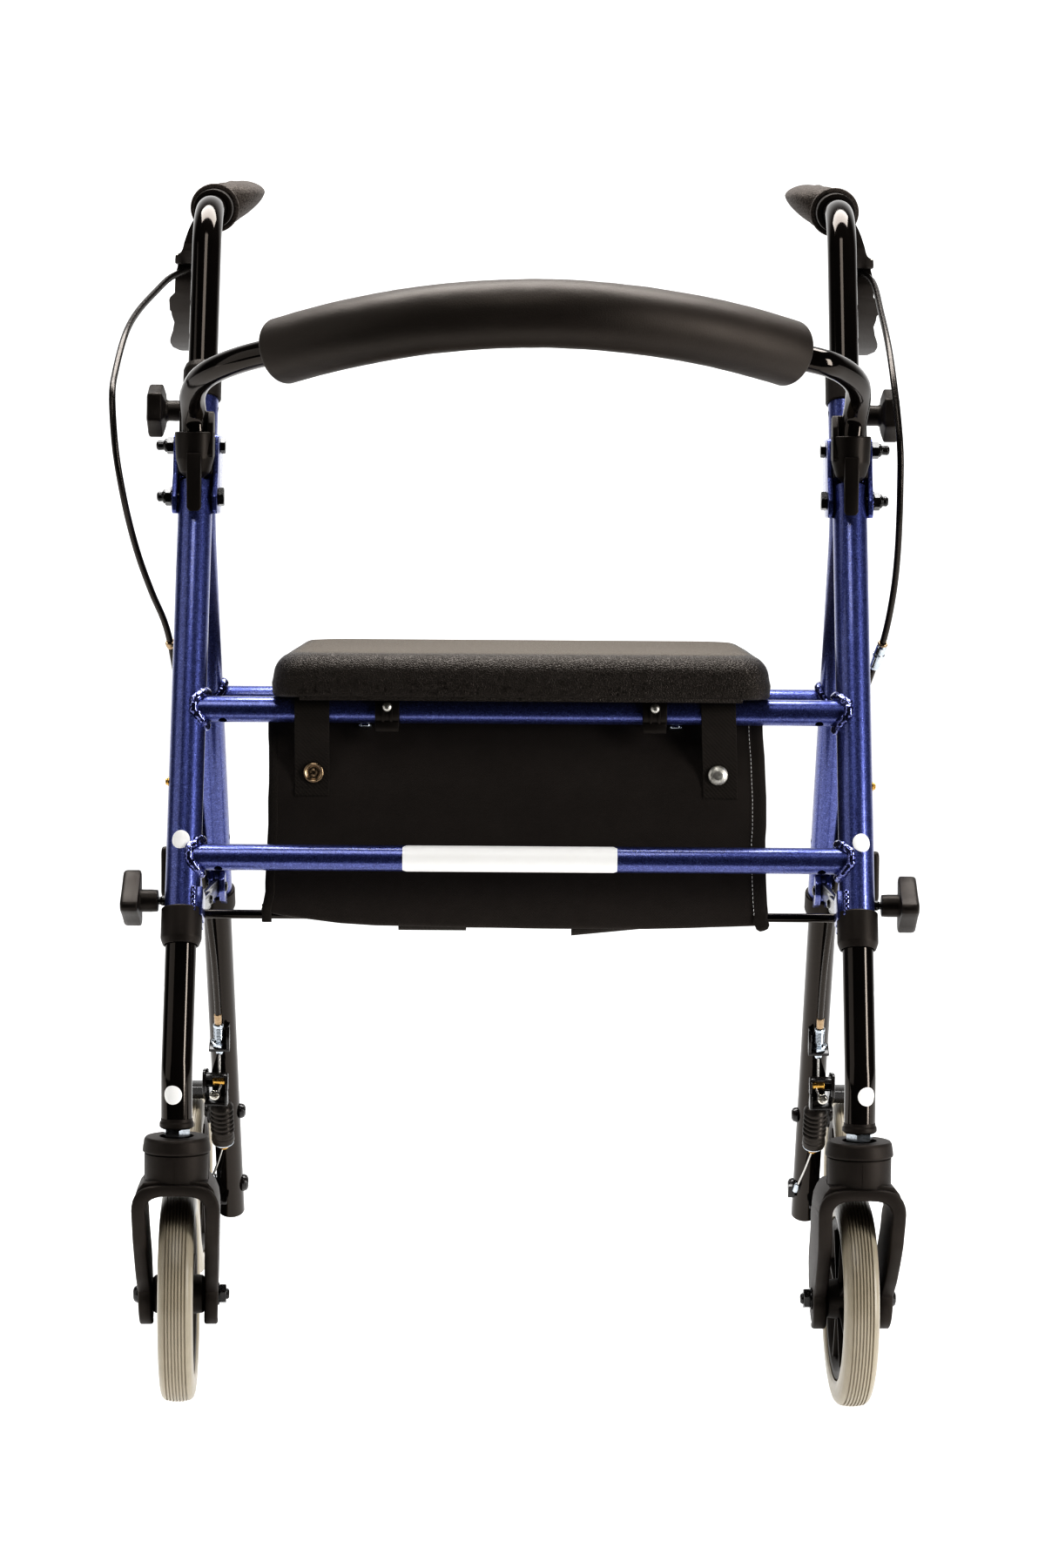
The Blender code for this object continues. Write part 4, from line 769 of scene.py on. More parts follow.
def weave(name, pitch, base, bright, turn=0.0, axes="XZ", depth=0.00016, twill=False):
    """Woven cloth: warp and weft threads in object space along the two named axes."""
    m = Mat(name, base, 0.8)
    m.set("Specular Tint", (1.0, 0.88, 0.78, 1.0))
    pos = m.node("ShaderNodeSeparateXYZ")
    m.link(m.where, pos.inputs[0])
    u, v = pos.outputs[axes[0]], pos.outputs[axes[1]]
    if len(axes) == 3:
        v = m.math("ADD", v, pos.outputs[axes[2]])
    k = 2 * pi / pitch
    su = m.math("SINE", m.math("MULTIPLY", u, k / 2))
    sv = m.math("SINE", m.math("MULTIPLY", v, k / 2))
    if twill:
        d = m.math("SINE", m.math("MULTIPLY", m.math("ADD", u, v), k / 2))
        h = m.math("ADD", m.math("MULTIPLY", d, 0.35), m.math("MULTIPLY", m.math("ABSOLUTE", sv), 0.5))
    else:
        h = m.math("ADD", m.math("MULTIPLY", m.math("MULTIPLY", su, sv), 0.5), 0.5)
    fuzz = m.noise(3000, 2.0, 0.6)
    cloud = m.noise(55, 3.0, 0.6)
    hh = m.math("ADD", m.math("MULTIPLY", h, 0.8), m.math("MULTIPLY", fuzz, 0.25))
    shade = m.math("ADD", m.math("MULTIPLY", hh, 0.65), m.math("MULTIPLY", cloud, 0.45))
    m.colour(m.ramp(shade, [(0.22, base), (0.95, bright)]))
    m.rough(m.range(hh, 0.62, 0.86, 0.1, 1.0))
    m.normal(m.bump(hh, depth, 0.8))
    m.set("Sheen Weight", 0.015)
    m.set("Sheen Roughness", 0.45)
    return m.m


def tyre_rubber():
    m = Mat("grey_tread", (0.345, 0.310, 0.238), 0.4)
    c = m.noise(60, 4.0, 0.65)
    g = m.noise(1500, 3.0, 0.6)
    m.colour(m.ramp(c, [(0.25, (0.375, 0.328, 0.248)), (0.55, (0.415, 0.365, 0.280)), (0.85, (0.455, 0.402, 0.312))]))
    m.rough(m.range(g, 0.28, 0.38, 0.3, 0.7))
    m.normal(m.bump(g, 0.00003, 0.4))
    return m.m


def metal(name, colour, rough, lo=None, hi=None, scale=700, bump=0.00003, stretch=None):
    m = Mat(name, colour, rough, 1.0)
    g = m.noise(scale, 3.0, 0.65, stretch=stretch)
    m.rough(m.range(g, lo if lo is not None else rough * 0.75, hi if hi is not None else rough * 1.3, 0.3, 0.7))
    dark = tuple(c * 0.72 for c in colour)
    m.colour(m.ramp(m.noise(scale * 0.35, 3.0, 0.6), [(0.3, dark), (0.75, colour)]))
    m.normal(m.bump(g, bump, 0.6))
    return m.m


def black_steel():
    m = Mat("black_plated_steel", (0.014, 0.012, 0.011), 0.26, 0.2)
    m.rough(m.range(m.noise(800, 3.0, 0.6), 0.20, 0.36, 0.3, 0.7))
    m.colour(m.ramp(m.noise(300, 2.0), [(0.3, (0.010, 0.0085, 0.008)), (0.8, (0.024, 0.020, 0.018))]))
    m.normal(m.bump(m.noise(1200, 2.0), 0.00004, 0.6))
    m.set("Coat Weight", 0.4)
    m.set("Coat Roughness", 0.1)
    return m.m


def label_vinyl():
    m = Mat("blank_white_vinyl_with_painted_glow", (0.94, 0.93, 0.90), 0.34)
    m.colour(m.ramp(m.noise(90, 4.0, 0.6), [(0.3, (0.91, 0.90, 0.87)), (0.7, (0.96, 0.95, 0.93))]))
    m.rough(m.range(m.noise(300, 3.0), 0.28, 0.44, 0.3, 0.7))
    m.normal(m.bump(m.noise(160, 2.0), 0.00008, 0.4))
    # emission: a painted glow that lifts the white vinyl above what the lamps give it; it shows on the label, the
    # stickers and the stitches
    m.set("Emission Color", (1.0, 0.98, 0.95, 1.0))
    m.set("Emission Strength", 0.12)
    return m.m


def cable_skin():
    m = Mat("satin_cable_housing", (0.010, 0.009, 0.008), 0.25)
    m.set("Specular Tint", (1.0, 0.88, 0.78, 1.0))
    m.rough(m.range(m.noise(500, 2.0), 0.20, 0.34, 0.3, 0.7))
    m.colour(m.ramp(m.noise(60, 3.0), [(0.3, (0.0085, 0.0075, 0.0068)), (0.7, (0.014, 0.0122, 0.011))]))
    m.normal(m.bump(m.noise(900, 1.0), 0.00001, 0.3))
    return m.m


def boot_rubber():
    m = Mat("black_boot_rubber", (0.013, 0.0115, 0.0105), 0.36)
    m.set("Specular Tint", (1.0, 0.88, 0.78, 1.0))
    m.rough(m.range(m.noise(900, 3.0, 0.6), 0.28, 0.48, 0.3, 0.7))
    m.colour(m.ramp(m.noise(120, 3.0), [(0.3, (0.010, 0.009, 0.008)), (0.7, (0.019, 0.0165, 0.015))]))
    m.normal(m.bump(m.noise(1600, 2.0), 0.00005, 0.6))
    return m.m


BLUE, WELD, BLACK, PLASTIC = blue_paint(), weld_paint(), gloss_black(), black_plastic()
SATIN = black_plastic("satin_black_plastic", 0.014, 0.36, 0.50, 0.00003)
FORK = black_plastic("grained_fork_plastic", 0.021, 0.42, 0.58, 0.00012)
GRIP, SEAT, FOAM = grip_rubber(), seat_foam(), foam_skin()
CLOTH = weave("black_nylon_cloth", 0.00105, (0.0085, 0.0068, 0.0060), (0.0300, 0.0246, 0.0222), axes="XZY")
WEBBING = weave("black_webbing", 0.00150, (0.0080, 0.0066, 0.0058), (0.0300, 0.0252, 0.0216), axes="XZ", depth=0.0003, twill=True)
BINDING = weave("black_edge_binding", 0.00090, (0.0070, 0.0058, 0.0050), (0.0230, 0.0195, 0.0172), axes="ZXY", depth=0.0002)
TREAD = tyre_rubber()
ZINC = metal("bright_zinc", (0.66, 0.71, 0.76), 0.20)
NICKEL = metal("polished_nickel", (0.72, 0.69, 0.63), 0.16)
SATIN_NICKEL = metal("satin_nickel", (0.90, 0.87, 0.79), 0.42)
WIRE = metal("drawn_steel_wire", (0.62, 0.60, 0.57), 0.28, scale=1600)
BRASS = metal("yellow_brass", (0.72, 0.45, 0.13), 0.26)
BRONZE = metal("bronze_ferrule", (0.46, 0.34, 0.22), 0.30)
STEEL = black_steel()
LABEL, CABLE, BOOT = label_vinyl(), cable_skin(), boot_rubber()


# ---------------------------------------------------------------- finishing a piece
def out(ob, name, body, slot, mat, side=1, replaces=(), angle=36):
    me = ob.data
    bm = bmesh.new()
    bm.from_mesh(me)
    if side < 0:
        bmesh.ops.scale(bm, vec=(-1, 1, 1), verts=bm.verts[:])
        bmesh.ops.reverse_faces(bm, faces=bm.faces[:])
    bmesh.ops.remove_doubles(bm, verts=bm.verts[:], dist=2e-6)
    bmesh.ops.dissolve_degenerate(bm, edges=bm.edges[:], dist=2e-6)
    bm.to_mesh(me)
    bm.free()
    me.materials.clear()
    me.materials.append(mat)
    me.shade_smooth()
    if angle:
        me.set_sharp_from_angle(angle=radians(angle))
    ob.name = name
    me.name = name
    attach(ob, body)
    if replaces:
        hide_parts(*([replaces] if isinstance(replaces, str) else replaces))
    return ob


# ---------------------------------------------------------------- welds
def bead(centres, normals, r, lumps, seed, seg=12, closed=True):
    """Rippled weld bead along a line of points; normals point away from the corner that it fills."""
    bm = bmesh.new()
    loops = []
    n = len(centres)
    for i, c in enumerate(centres):
        a, b = centres[i - 1] if (closed or i) else c, centres[(i + 1) % n] if (closed or i < n - 1) else c
        d = (b - a).normalized()
        up = (normals[i] - d * normals[i].dot(d)).normalized()
        side = d.cross(up)
        ph = 2 * pi * lumps * i / n
        scale = 1.0 + 0.20 * (abs(sin(ph / 2)) ** 0.7 - 0.6) + 0.16 * noise.noise(Vector((i * 0.19, seed, 0.3)))
        if not closed:
            scale *= min(1.0, 0.35 + 1.6 * sin(pi * min(max(i / (n - 1), 0.0), 1.0)) ** 0.6)
        lean = 0.35 * r * (2 * ((ph / pi) % 1.0) - 1.0)
        loop = []
        for k in range(seg):
            q = 2 * pi * k / seg
            w = 1.0 + 0.07 * noise.noise(Vector((i * 0.6, k * 1.3, seed)))
            loop.append(bm.verts.new(c + side * (r * scale * w * cos(q)) + up * (r * scale * w * sin(q) * 0.92)
                                     + d * (lean * sin(q))))
        loops.append(loop)
    for i in range(n if closed else n - 1):
        skin(bm, loops[i], loops[(i + 1) % n])
    if not closed:
        bm.faces.new(list(reversed(loops[0])))
        bm.faces.new(loops[-1])
    return temp(bm)


def end_weld(bar, axis_up, axis_back, centre_p, seed, r=0.0033, bar_r=CROSS_OD / 2, bow=1.0):
    """Weld round the end of a cross tube on a side tube. centre_p is the bar's place across the side tube."""
    n = 84
    cs, ns = [], []
    for k in range(n):
        q = 2 * pi * k / n
        wob = 1.0 + 0.05 * noise.noise(Vector((k * 0.17, seed, 1.7)))
        along = (bar_r + 0.0014) * sin(q) * wob
        across = (bar_r + 0.0010) * cos(q) * wob
        p = centre_p + across
        p = max(-0.0119, min(0.0119, p))
        x = TUBE_X - sqrt((TUBE_OD / 2) ** 2 - p * p)
        stretch = 1.0 + 0.16 * bow * abs(sin(q)) ** 3
        cs.append(P(x - 0.0004, bar[0], bar[1]) + axis_up * (along * stretch) + axis_back * across)
        ns.append((axis_up * sin(q) + axis_back * cos(q) * 0.8 - AX * 0.75).normalized())
    return bead(cs, ns, r, 19, seed)


def seam(a, b, up, r, lumps, seed):
    n = 40
    cs = [a.lerp(b, i / (n - 1)) + (b - a).normalized().cross(up) * (0.0005 * noise.noise(Vector((i * 0.3, seed, 4.0)))) for i in range(n)]
    return bead(cs, [up] * n, r, lumps, seed, closed=False)


# ---------------------------------------------------------------- rear frame
def main_path(steps=14):
    top = on_handle(TUBE_X, s_of(0.7375))
    vert = P(TUBE_X, handle_v(0.6386), 0.6386)
    low = on_rear(TUBE_X, t_of(0.335))
    return bend_path([top, vert, low], [BEND_R], steps)


PLATE_OUTLINE = [(0.142, 0.6385), (0.180, 0.6385), (0.196, 0.660), (0.202, 0.697), (0.158, 0.697), (0.1505, 0.668), (0.139, 0.651)]


def rear_tube():
    path = main_path()
    d0 = (path[0] - path[1]).normalized()
    d1 = (path[-1] - path[-2]).normalized()
    body = tube(path, TUBE_OD / 2, TUBE_ID / 2, SEG)
    outline = rounded(PLATE_OUTLINE, 0.004, 4)
    parts = []
    for a, b in ((-PLATE_OUT, -PLATE_IN), (PLATE_IN, PLATE_OUT)):
        parts.append(slab(outline, "vh", TUBE_X + a, TUBE_X + b, 0.0007))
    for a, b in ((-PLATE_IN - 0.0006, -0.0112), (0.0112, PLATE_IN + 0.0006)):
        parts.append(block(on_handle(TUBE_X, s_of(0.655)), AX, BACK_F, UP_F, a, b, -0.0045, 0.0045, 0.0, 0.038))
    ear = rounded([(STAY_END[0] - 0.0065, STAY_END[1] - 0.004), (STAY_END[0] - 0.0065, STAY_END[1] + 0.0065),
                   (STAY_END[0] + 0.004, STAY_END[1] + 0.0110), (STAY_END[0] + 0.0165, STAY_END[1] + 0.0105),
                   (STAY_END[0] + 0.028, STAY_END[1] - 0.010), (STAY_END[0] + 0.026, STAY_END[1] - 0.0165),
                   (STAY_END[0] + 0.004, STAY_END[1] - 0.012)], 0.003, 4)
    parts.append(slab(ear, "vh", 0.2413, 0.2452, 0.0006))
    parts.append(slab(ear, "vh", 0.2325, 0.2372, 0.0006))
    # plates and ears end inside the tube's wall, so that the bore stays clear
    wall = [path[0] + d0 * 0.004] + path[1:-1] + [path[-1] + d1 * 0.004]
    body = join(body, cut(join(*parts), rod(wall, TUBE_OD / 2 - 0.0006, SEG)))
    return cut(body,
               pin(on_handle(TUBE_X - 0.03, s_of(0.7155)), on_handle(TUBE_X - 0.005, s_of(0.7155)), 0.0033),
               pin(on_handle(TUBE_X + 0.005, s_of(0.7155)), on_handle(TUBE_X + 0.03, s_of(0.7155)), 0.0033),
               pin(on_rear(TUBE_X + 0.005, t_of(0.355)), on_rear(TUBE_X + 0.03, t_of(0.355)), 0.0033),
               pin(on_rear(TUBE_X - 0.03, t_of(0.385)), on_rear(TUBE_X - 0.005, t_of(0.385)), 0.0030))


def front_tube():
    body = tube([on_front(TUBE_X, s_of(FRONT_LOW_H)), on_front(TUBE_X, s_of(FRONT_TOP_H))], TUBE_OD / 2, TUBE_ID / 2, SEG)
    lug = brick(on_front(0, 0.1255), AX, BACK_F, UP_F, 0.2296, 0.2396, 0.0030, 0.0410, -0.0105, 0.0105, 0.0008)
    # welded nose that shows beside the tube from the front
    nose = brick(on_front(0, 0.1255), AX, BACK_F, UP_F, 0.2272, 0.2360, -0.0062, 0.0200, -0.0105, 0.0105, 0.0008)
    # the lug ends inside the tube's wall, so that the bore stays clear
    wall = rod([on_front(TUBE_X, s_of(FRONT_LOW_H) - 0.01), on_front(TUBE_X, s_of(FRONT_TOP_H) + 0.01)], TUBE_OD / 2 - 0.0006, SEG)
    body = join(body, cut(join(lug, nose), wall))
    slot = block(on_front(0, 0.1255), AX, BACK_F, UP_F, 0.2337, 0.2376, 0.0160, 0.0450, -0.0140, 0.0140)
    return cut(body, slot,
               pin(on_front(TUBE_X + 0.005, s_of(0.3615)), on_front(TUBE_X + 0.03, s_of(0.3615)), 0.0033),
               pin(P(0.225, *ROD), P(0.245, *ROD), 0.0028))


def front_welds(seed):
    pc = (SEAT_BAR[0] - front_v(SEAT_BAR[1])) * cos(LEAN)
    a = end_weld(SEAT_BAR, UP_F, BACK_F, pc, seed, 0.0034)
    b = end_weld(LOWER_BAR, UP_F, BACK_F, (LOWER_BAR[0] - front_v(LOWER_BAR[1])) * cos(LEAN), seed + 3, 0.0033)
    low, high = on_front(0.2336, 0.1255 - 0.0100, -0.0093), on_front(0.2336, 0.1255 + 0.0100, -0.0093)
    c = seam(low, high, Vector((-0.45, -0.9, 0.1)).normalized(), 0.0024, 6, seed + 7)
    d = seam(on_front(0.2316, 0.1255 + 0.0108, -0.0045), on_front(0.2300, 0.1255 + 0.0108, 0.0160), UP_F, 0.0020, 5, seed + 9)
    return group(a, b, c, d)


def rear_welds(seed):
    a = end_weld(REAR_BAR, -DOWN_R, -FORE_R, 0.0, seed, 0.0036)
    top, low = on_rear(TUBE_X, t_of(0.3555), 0.0112), on_rear(TUBE_X, t_of(0.3375), 0.0112)
    b = seam(top + Vector((-0.0060, 0, 0)), low + Vector((-0.0060, 0, 0)), FORE_R, 0.0020, 6, seed + 2)
    c = seam(top + Vector((0.0042, 0, 0)), low + Vector((0.0042, 0, 0)), FORE_R, 0.0018, 6, seed + 4)
    beads = group(a, b, c)
    # the leg telescopes up inside the tube, so the beads end in the tube's wall
    base, least = on_rear(TUBE_X, 0.0), TUBE_OD / 2 - 0.0008
    for vert in beads.data.vertices:
        p = vert.co - base
        along = DOWN_R * p.dot(DOWN_R)
        side_way = p - along
        if side_way.length < least:
            vert.co = base + along + side_way.normalized() * least
    return beads


def plate_welds(seed):
    """Short welds between the bracket plates and the main tube."""
    parts = []
    for x, way in ((TUBE_X - PLATE_IN - 0.0002, -1), (TUBE_X + PLATE_IN + 0.0002, 1)):
        for p in (-0.0070, 0.0070):
            parts.append(seam(on_handle(x - way * 0.0012, s_of(0.660), p), on_handle(x - way * 0.0012, s_of(0.688), p),
                              (BACK_F * (1 if p > 0 else -1) + AX * way * 0.3).normalized(), 0.0014, 8, seed + p * 100 + way))
    return group(*parts)


def cross_tube(v, h, cutters, holes):
    body = tube([P(-0.2395, v, h), P(0.2395, v, h)], CROSS_OD / 2, CROSS_ID / 2, 40, AZ)
    for x in holes:
        base = P(x, v, h)
        cutters = cutters + [rod([base + Vector((0, -0.0030, -0.0045)), base + Vector((0, -0.0078, -0.0130))], 0.0031, 24)]
    return cut(body, *cutters)


def cope_front(sign):
    return rod([on_front(sign * TUBE_X, 0.08), on_front(sign * TUBE_X, 0.36)], TUBE_OD / 2 - 0.0004, 40)


def cope_rear(sign):
    return rod([on_rear(sign * TUBE_X, -0.06), on_rear(sign * TUBE_X, 0.06)], TUBE_OD / 2 - 0.0004, 40)


out(cross_tube(*REAR_BAR, [cope_rear(-1), cope_rear(1)], (-0.2166, 0.2166)), "rear_crossbar_tube", "rear_frame", "blue_paint", BLUE,
    replaces="rear_crossbar")
out(cross_tube(*SEAT_BAR, [cope_front(-1), cope_front(1)], (-0.2166, 0.2166)), "seat_crossbar_tube", "front_frame", "blue_paint", BLUE,
    replaces="seat_crossbar")
out(cross_tube(*LOWER_BAR, [cope_front(-1), cope_front(1)], (-0.2166, 0.2166)), "lower_crossbar_tube", "front_frame", "blue_paint", BLUE,
    replaces="lower_crossbar")
rod_profile = soften([(0.0, -0.2404), (0.0025, -0.2404), (0.0025, -0.2292), (0.00325, -0.2292), (0.00325, 0.2292), (0.0025, 0.2292),
                      (0.0025, 0.2404), (0.0, 0.2404)], 0.0004)
out(turned(rod_profile, P(0, *ROD), AX, 24), "fold_rod_bar", "front_frame", "gloss_black", BLACK, replaces="fold_rod")


def bush(base, axis, length, r_out, r_tube, r_inner, step):
    """Tube-end bush with a rounded lip at its free end."""
    prof = [(r_out, 0.0008), (r_out - 0.0007, 0.0), (r_tube - 0.0001, 0.0), (r_tube - 0.0001, step), (r_inner, step), (r_inner, length - 0.0010),
            (r_inner + 0.0006, length), (r_out - 0.0018, length), (r_out, length - 0.0048)]
    soft = soften(prof, [0.0004, 0.0003, 0.0, 0.0, 0.0, 0.0004, 0.0005, 0.0016, 0.004], 4, closed=True)
    return turned(soft, base, axis, SEG)


def handle_collar():
    s0 = s_of(0.724)
    return bush(on_handle(TUBE_X, s0), UP_F, s_of(0.7500) - s0, 0.0145, 0.0130, 0.01135, s_of(0.7375) - s0 + 0.0004)


def front_collar():
    s_top = s_of(0.356)
    c = bush(on_front(TUBE_X, s_top), -UP_F, s_top - s_of(0.3306), 0.0147, 0.0130, 0.01135, s_top - s_of(FRONT_LOW_H) + 0.0004)
    return cut(c, block(on_front(0, 0.1255), AX, BACK_F, UP_F, 0.2220, 0.2402, 0.0020, 0.0300, -0.0111, 0.0300),
               block(on_front(0, 0.1255), AX, BACK_F, UP_F, 0.2220, 0.2364, -0.0068, 0.0300, -0.0109, 0.0300))


def rear_bush():
    """Black bush in the rear tube's lower end."""
    prof = [(0.0149, 0.0008), (0.0142, 0.0), (TUBE_OD / 2 - 0.0001, 0.0), (TUBE_OD / 2 - 0.0001, 0.0062), (0.01135, 0.0062),
            (0.01135, 0.0198), (0.0132, 0.0198), (0.0149, 0.0150)]
    soft = soften(prof, [0.0004, 0.0003, 0.0, 0.0, 0.0, 0.0004, 0.0012, 0.004], 4, closed=True)
    return turned(soft, on_rear(TUBE_X, t_of(0.3405)), DOWN_R, SEG)


def pivot_bolt():
    """Hinge bolt: hex head inside, washer, hex nut and dome outside."""
    base = P(0, PIVOT_V, PIVOT_H)
    shank = turned([(0.0, 0.2245), (0.0040, 0.2245), (0.0040, 0.2640), (0.0, 0.2640)], base, AX, SEG_S)
    head = hexagon(base, AX, 0.0125, 0.2206, 0.2251, 0.3)
    washer = turned(soften([(0.0041, 0.2588), (0.0074, 0.2588), (0.0074, 0.2598), (0.0041, 0.2598)], 0.0003, 2, True), base, AX, 32)
    nut = hexagon(base, AX, 0.0118, 0.2599, 0.2642, 0.1)
    dome = turned(soften([(0.0, 0.2636), (0.0052, 0.2636), (0.0052, 0.2655), (0.0036, 0.2664), (0.0038, 0.2692), (0.0026, 0.2704),
                          (0.0, 0.2704)], 0.0009, 4), base, AX, 28)
    return group(shank, head, washer, nut, dome)


def socket_bolt():
    base = P(0, UPPER_V, UPPER_H)
    shank = turned([(0.0, 0.2250), (0.0030, 0.2250), (0.0030, 0.2620), (0.0, 0.2620)], base, AX, SEG_S)
    head = hexagon(base, AX, 0.0100, 0.2214, 0.2251, 0.1)
    washer = turned(soften([(0.0031, 0.2588), (0.0068, 0.2588), (0.0068, 0.2598), (0.0031, 0.2598)], 0.0003, 2, True), base, AX, 32)
    nut = hexagon(base, AX, 0.0112, 0.2599, 0.2650, 0.2)
    dome = turned(soften([(0.0, 0.2640), (0.0050, 0.2640), (0.0050, 0.2662), (0.0034, 0.2674), (0.0036, 0.2716), (0.0024, 0.2730),
                          (0.0, 0.2730)], 0.0009, 4), base, AX, 28)
    return group(shank, head, washer, nut, dome)


def socket():
    """Backrest socket: round cup for the bar's end, raised inner lip, hanging tongue."""
    prof = soften([(0.0, 0.6640), (0.0060, 0.6645), (0.0112, 0.6690), (0.0141, 0.6790), (0.0150, 0.6985), (0.0, 0.6985)],
                  [0, 0.003, 0.004, 0.006, 0.0012, 0], 5)
    cup = turned(prof, P(TUBE_X - 0.0006, 0.1400, 0.0), AZ, 40)
    trim = block(P(0, 0, 0), AX, AY, AZ, 0.2268, 0.2560, 0.1250, 0.1560, 0.650, 0.720)
    cup = meet(cup, trim)
    rear = slab([(0.1450, 0.668), (0.1690, 0.668), (0.1765, 0.688), (0.1785, 0.6972), (0.1450, 0.6972)], "vh",
                TUBE_X - 0.0126, TUBE_X + 0.0126, 0.0006)
    back = slab(rounded([(0.1430, 0.690), (0.1560, 0.690), (0.1560, 0.714), (0.1475, 0.714)], 0.0015, 3), "vh",
                TUBE_X - 0.0115, TUBE_X + 0.0115, 0.0008)
    inner = slab(rounded([(0.1290, 0.680), (0.1500, 0.680), (0.1500, 0.7125), (0.1400, 0.7140), (0.1330, 0.7050)], 0.003, 4), "vh",
                 0.2274, 0.2318, 0.0009)
    tongue = slab(rounded([(0.2357, 0.6830), (0.2465, 0.6830), (0.2462, 0.6430), (0.2444, 0.6405), (0.2378, 0.6405),
                           (0.2360, 0.6430)], [0.001, 0.001, 0.001, 0.0018, 0.0018, 0.001], 3), "xh", 0.1240, 0.1312, 0.0009)
    root = slab([(0.1258, 0.664), (0.1312, 0.664), (0.1400, 0.6700), (0.1400, 0.6860), (0.1270, 0.6860), (0.1245, 0.6700)],
                "vh", 0.2359, 0.2463, 0.0005)
    body = join(cup, rear, back, inner, tongue, root)
    # room for the top of the front tube, which turns under the socket when the frame folds
    hinge = P(0, PIVOT_V, PIVOT_H)
    low, high = on_front(TUBE_X, s_of(0.560)), on_front(TUBE_X, s_of(FRONT_TOP_H) + 0.0006)
    swept = []
    for k in range(6):
        turn = Matrix.Rotation(radians(28.0 * k / 5), 3, "X")
        swept.append(rod([hinge + turn @ (low - hinge), hinge + turn @ (high - hinge)], TUBE_OD / 2 + 0.0005, 32))
    return cut(body, *swept, rod([P(TUBE_X, 0.140, 0.6695), P(TUBE_X, 0.140, 0.735)], BACK_BAR_R + 0.0010, SEG),
               turned([(0.0, 0.6900), (BACK_BAR_R + 0.0010, 0.6900), (BACK_BAR_R + 0.0030, 0.6992), (0.0, 0.6992)], P(TUBE_X, 0.140, 0.0), AZ, SEG))


def stay(front):
    b, d = Vector(ROD), Vector(STAY_END)
    m = (b + d) / 2
    x0, x1 = (0.2340, 0.2373) if front else (0.2376, 0.2409)
    ends = (b, m) if front else (m, d)
    ob = slab(stadium(*ends, 0.0062), "vh", x0, x1, 0.0005)
    if front:
        head = turned(soften([(0.0, 0.2324), (0.0026, 0.2324), (0.0040, 0.2342), (0.0, 0.2342)], 0.0008, 3), P(0, *m), AX, 24)
        hole = pin(P(0.230, *ROD), P(0.250, *ROD), 0.0029)
    else:
        head = turned(soften([(0.0, 0.2407), (0.0040, 0.2407), (0.0026, 0.2425), (0.0, 0.2425)], 0.0008, 3), P(0, *m), AX, 24)
        hole = pin(P(0.230, *STAY_END), P(0.250, *STAY_END), 0.0029)
    return cut(join(ob, head), hole)


def stay_pin():
    base = P(0, *STAY_END)
    return group(turned(soften([(0.0, 0.2302), (0.0036, 0.2308), (0.0040, 0.2326), (0.0025, 0.2326), (0.0025, 0.2450), (0.0040, 0.2450),
                                (0.0036, 0.2468), (0.0, 0.2474)], 0.0006, 3), base, AX, 24))


def brass_button():
    """Brass end of the snap pin in the front tube's outer side."""
    return turned(soften([(0.0, TUBE_X + 0.0119), (0.0034, TUBE_X + 0.0119), (0.0034, TUBE_X + 0.0131), (0.0024, TUBE_X + 0.0134),
                          (0.0024, TUBE_X + 0.0146), (0.0, TUBE_X + 0.0152)], 0.0005, 3), on_front(0, s_of(0.445), 0.0), AX, 24)


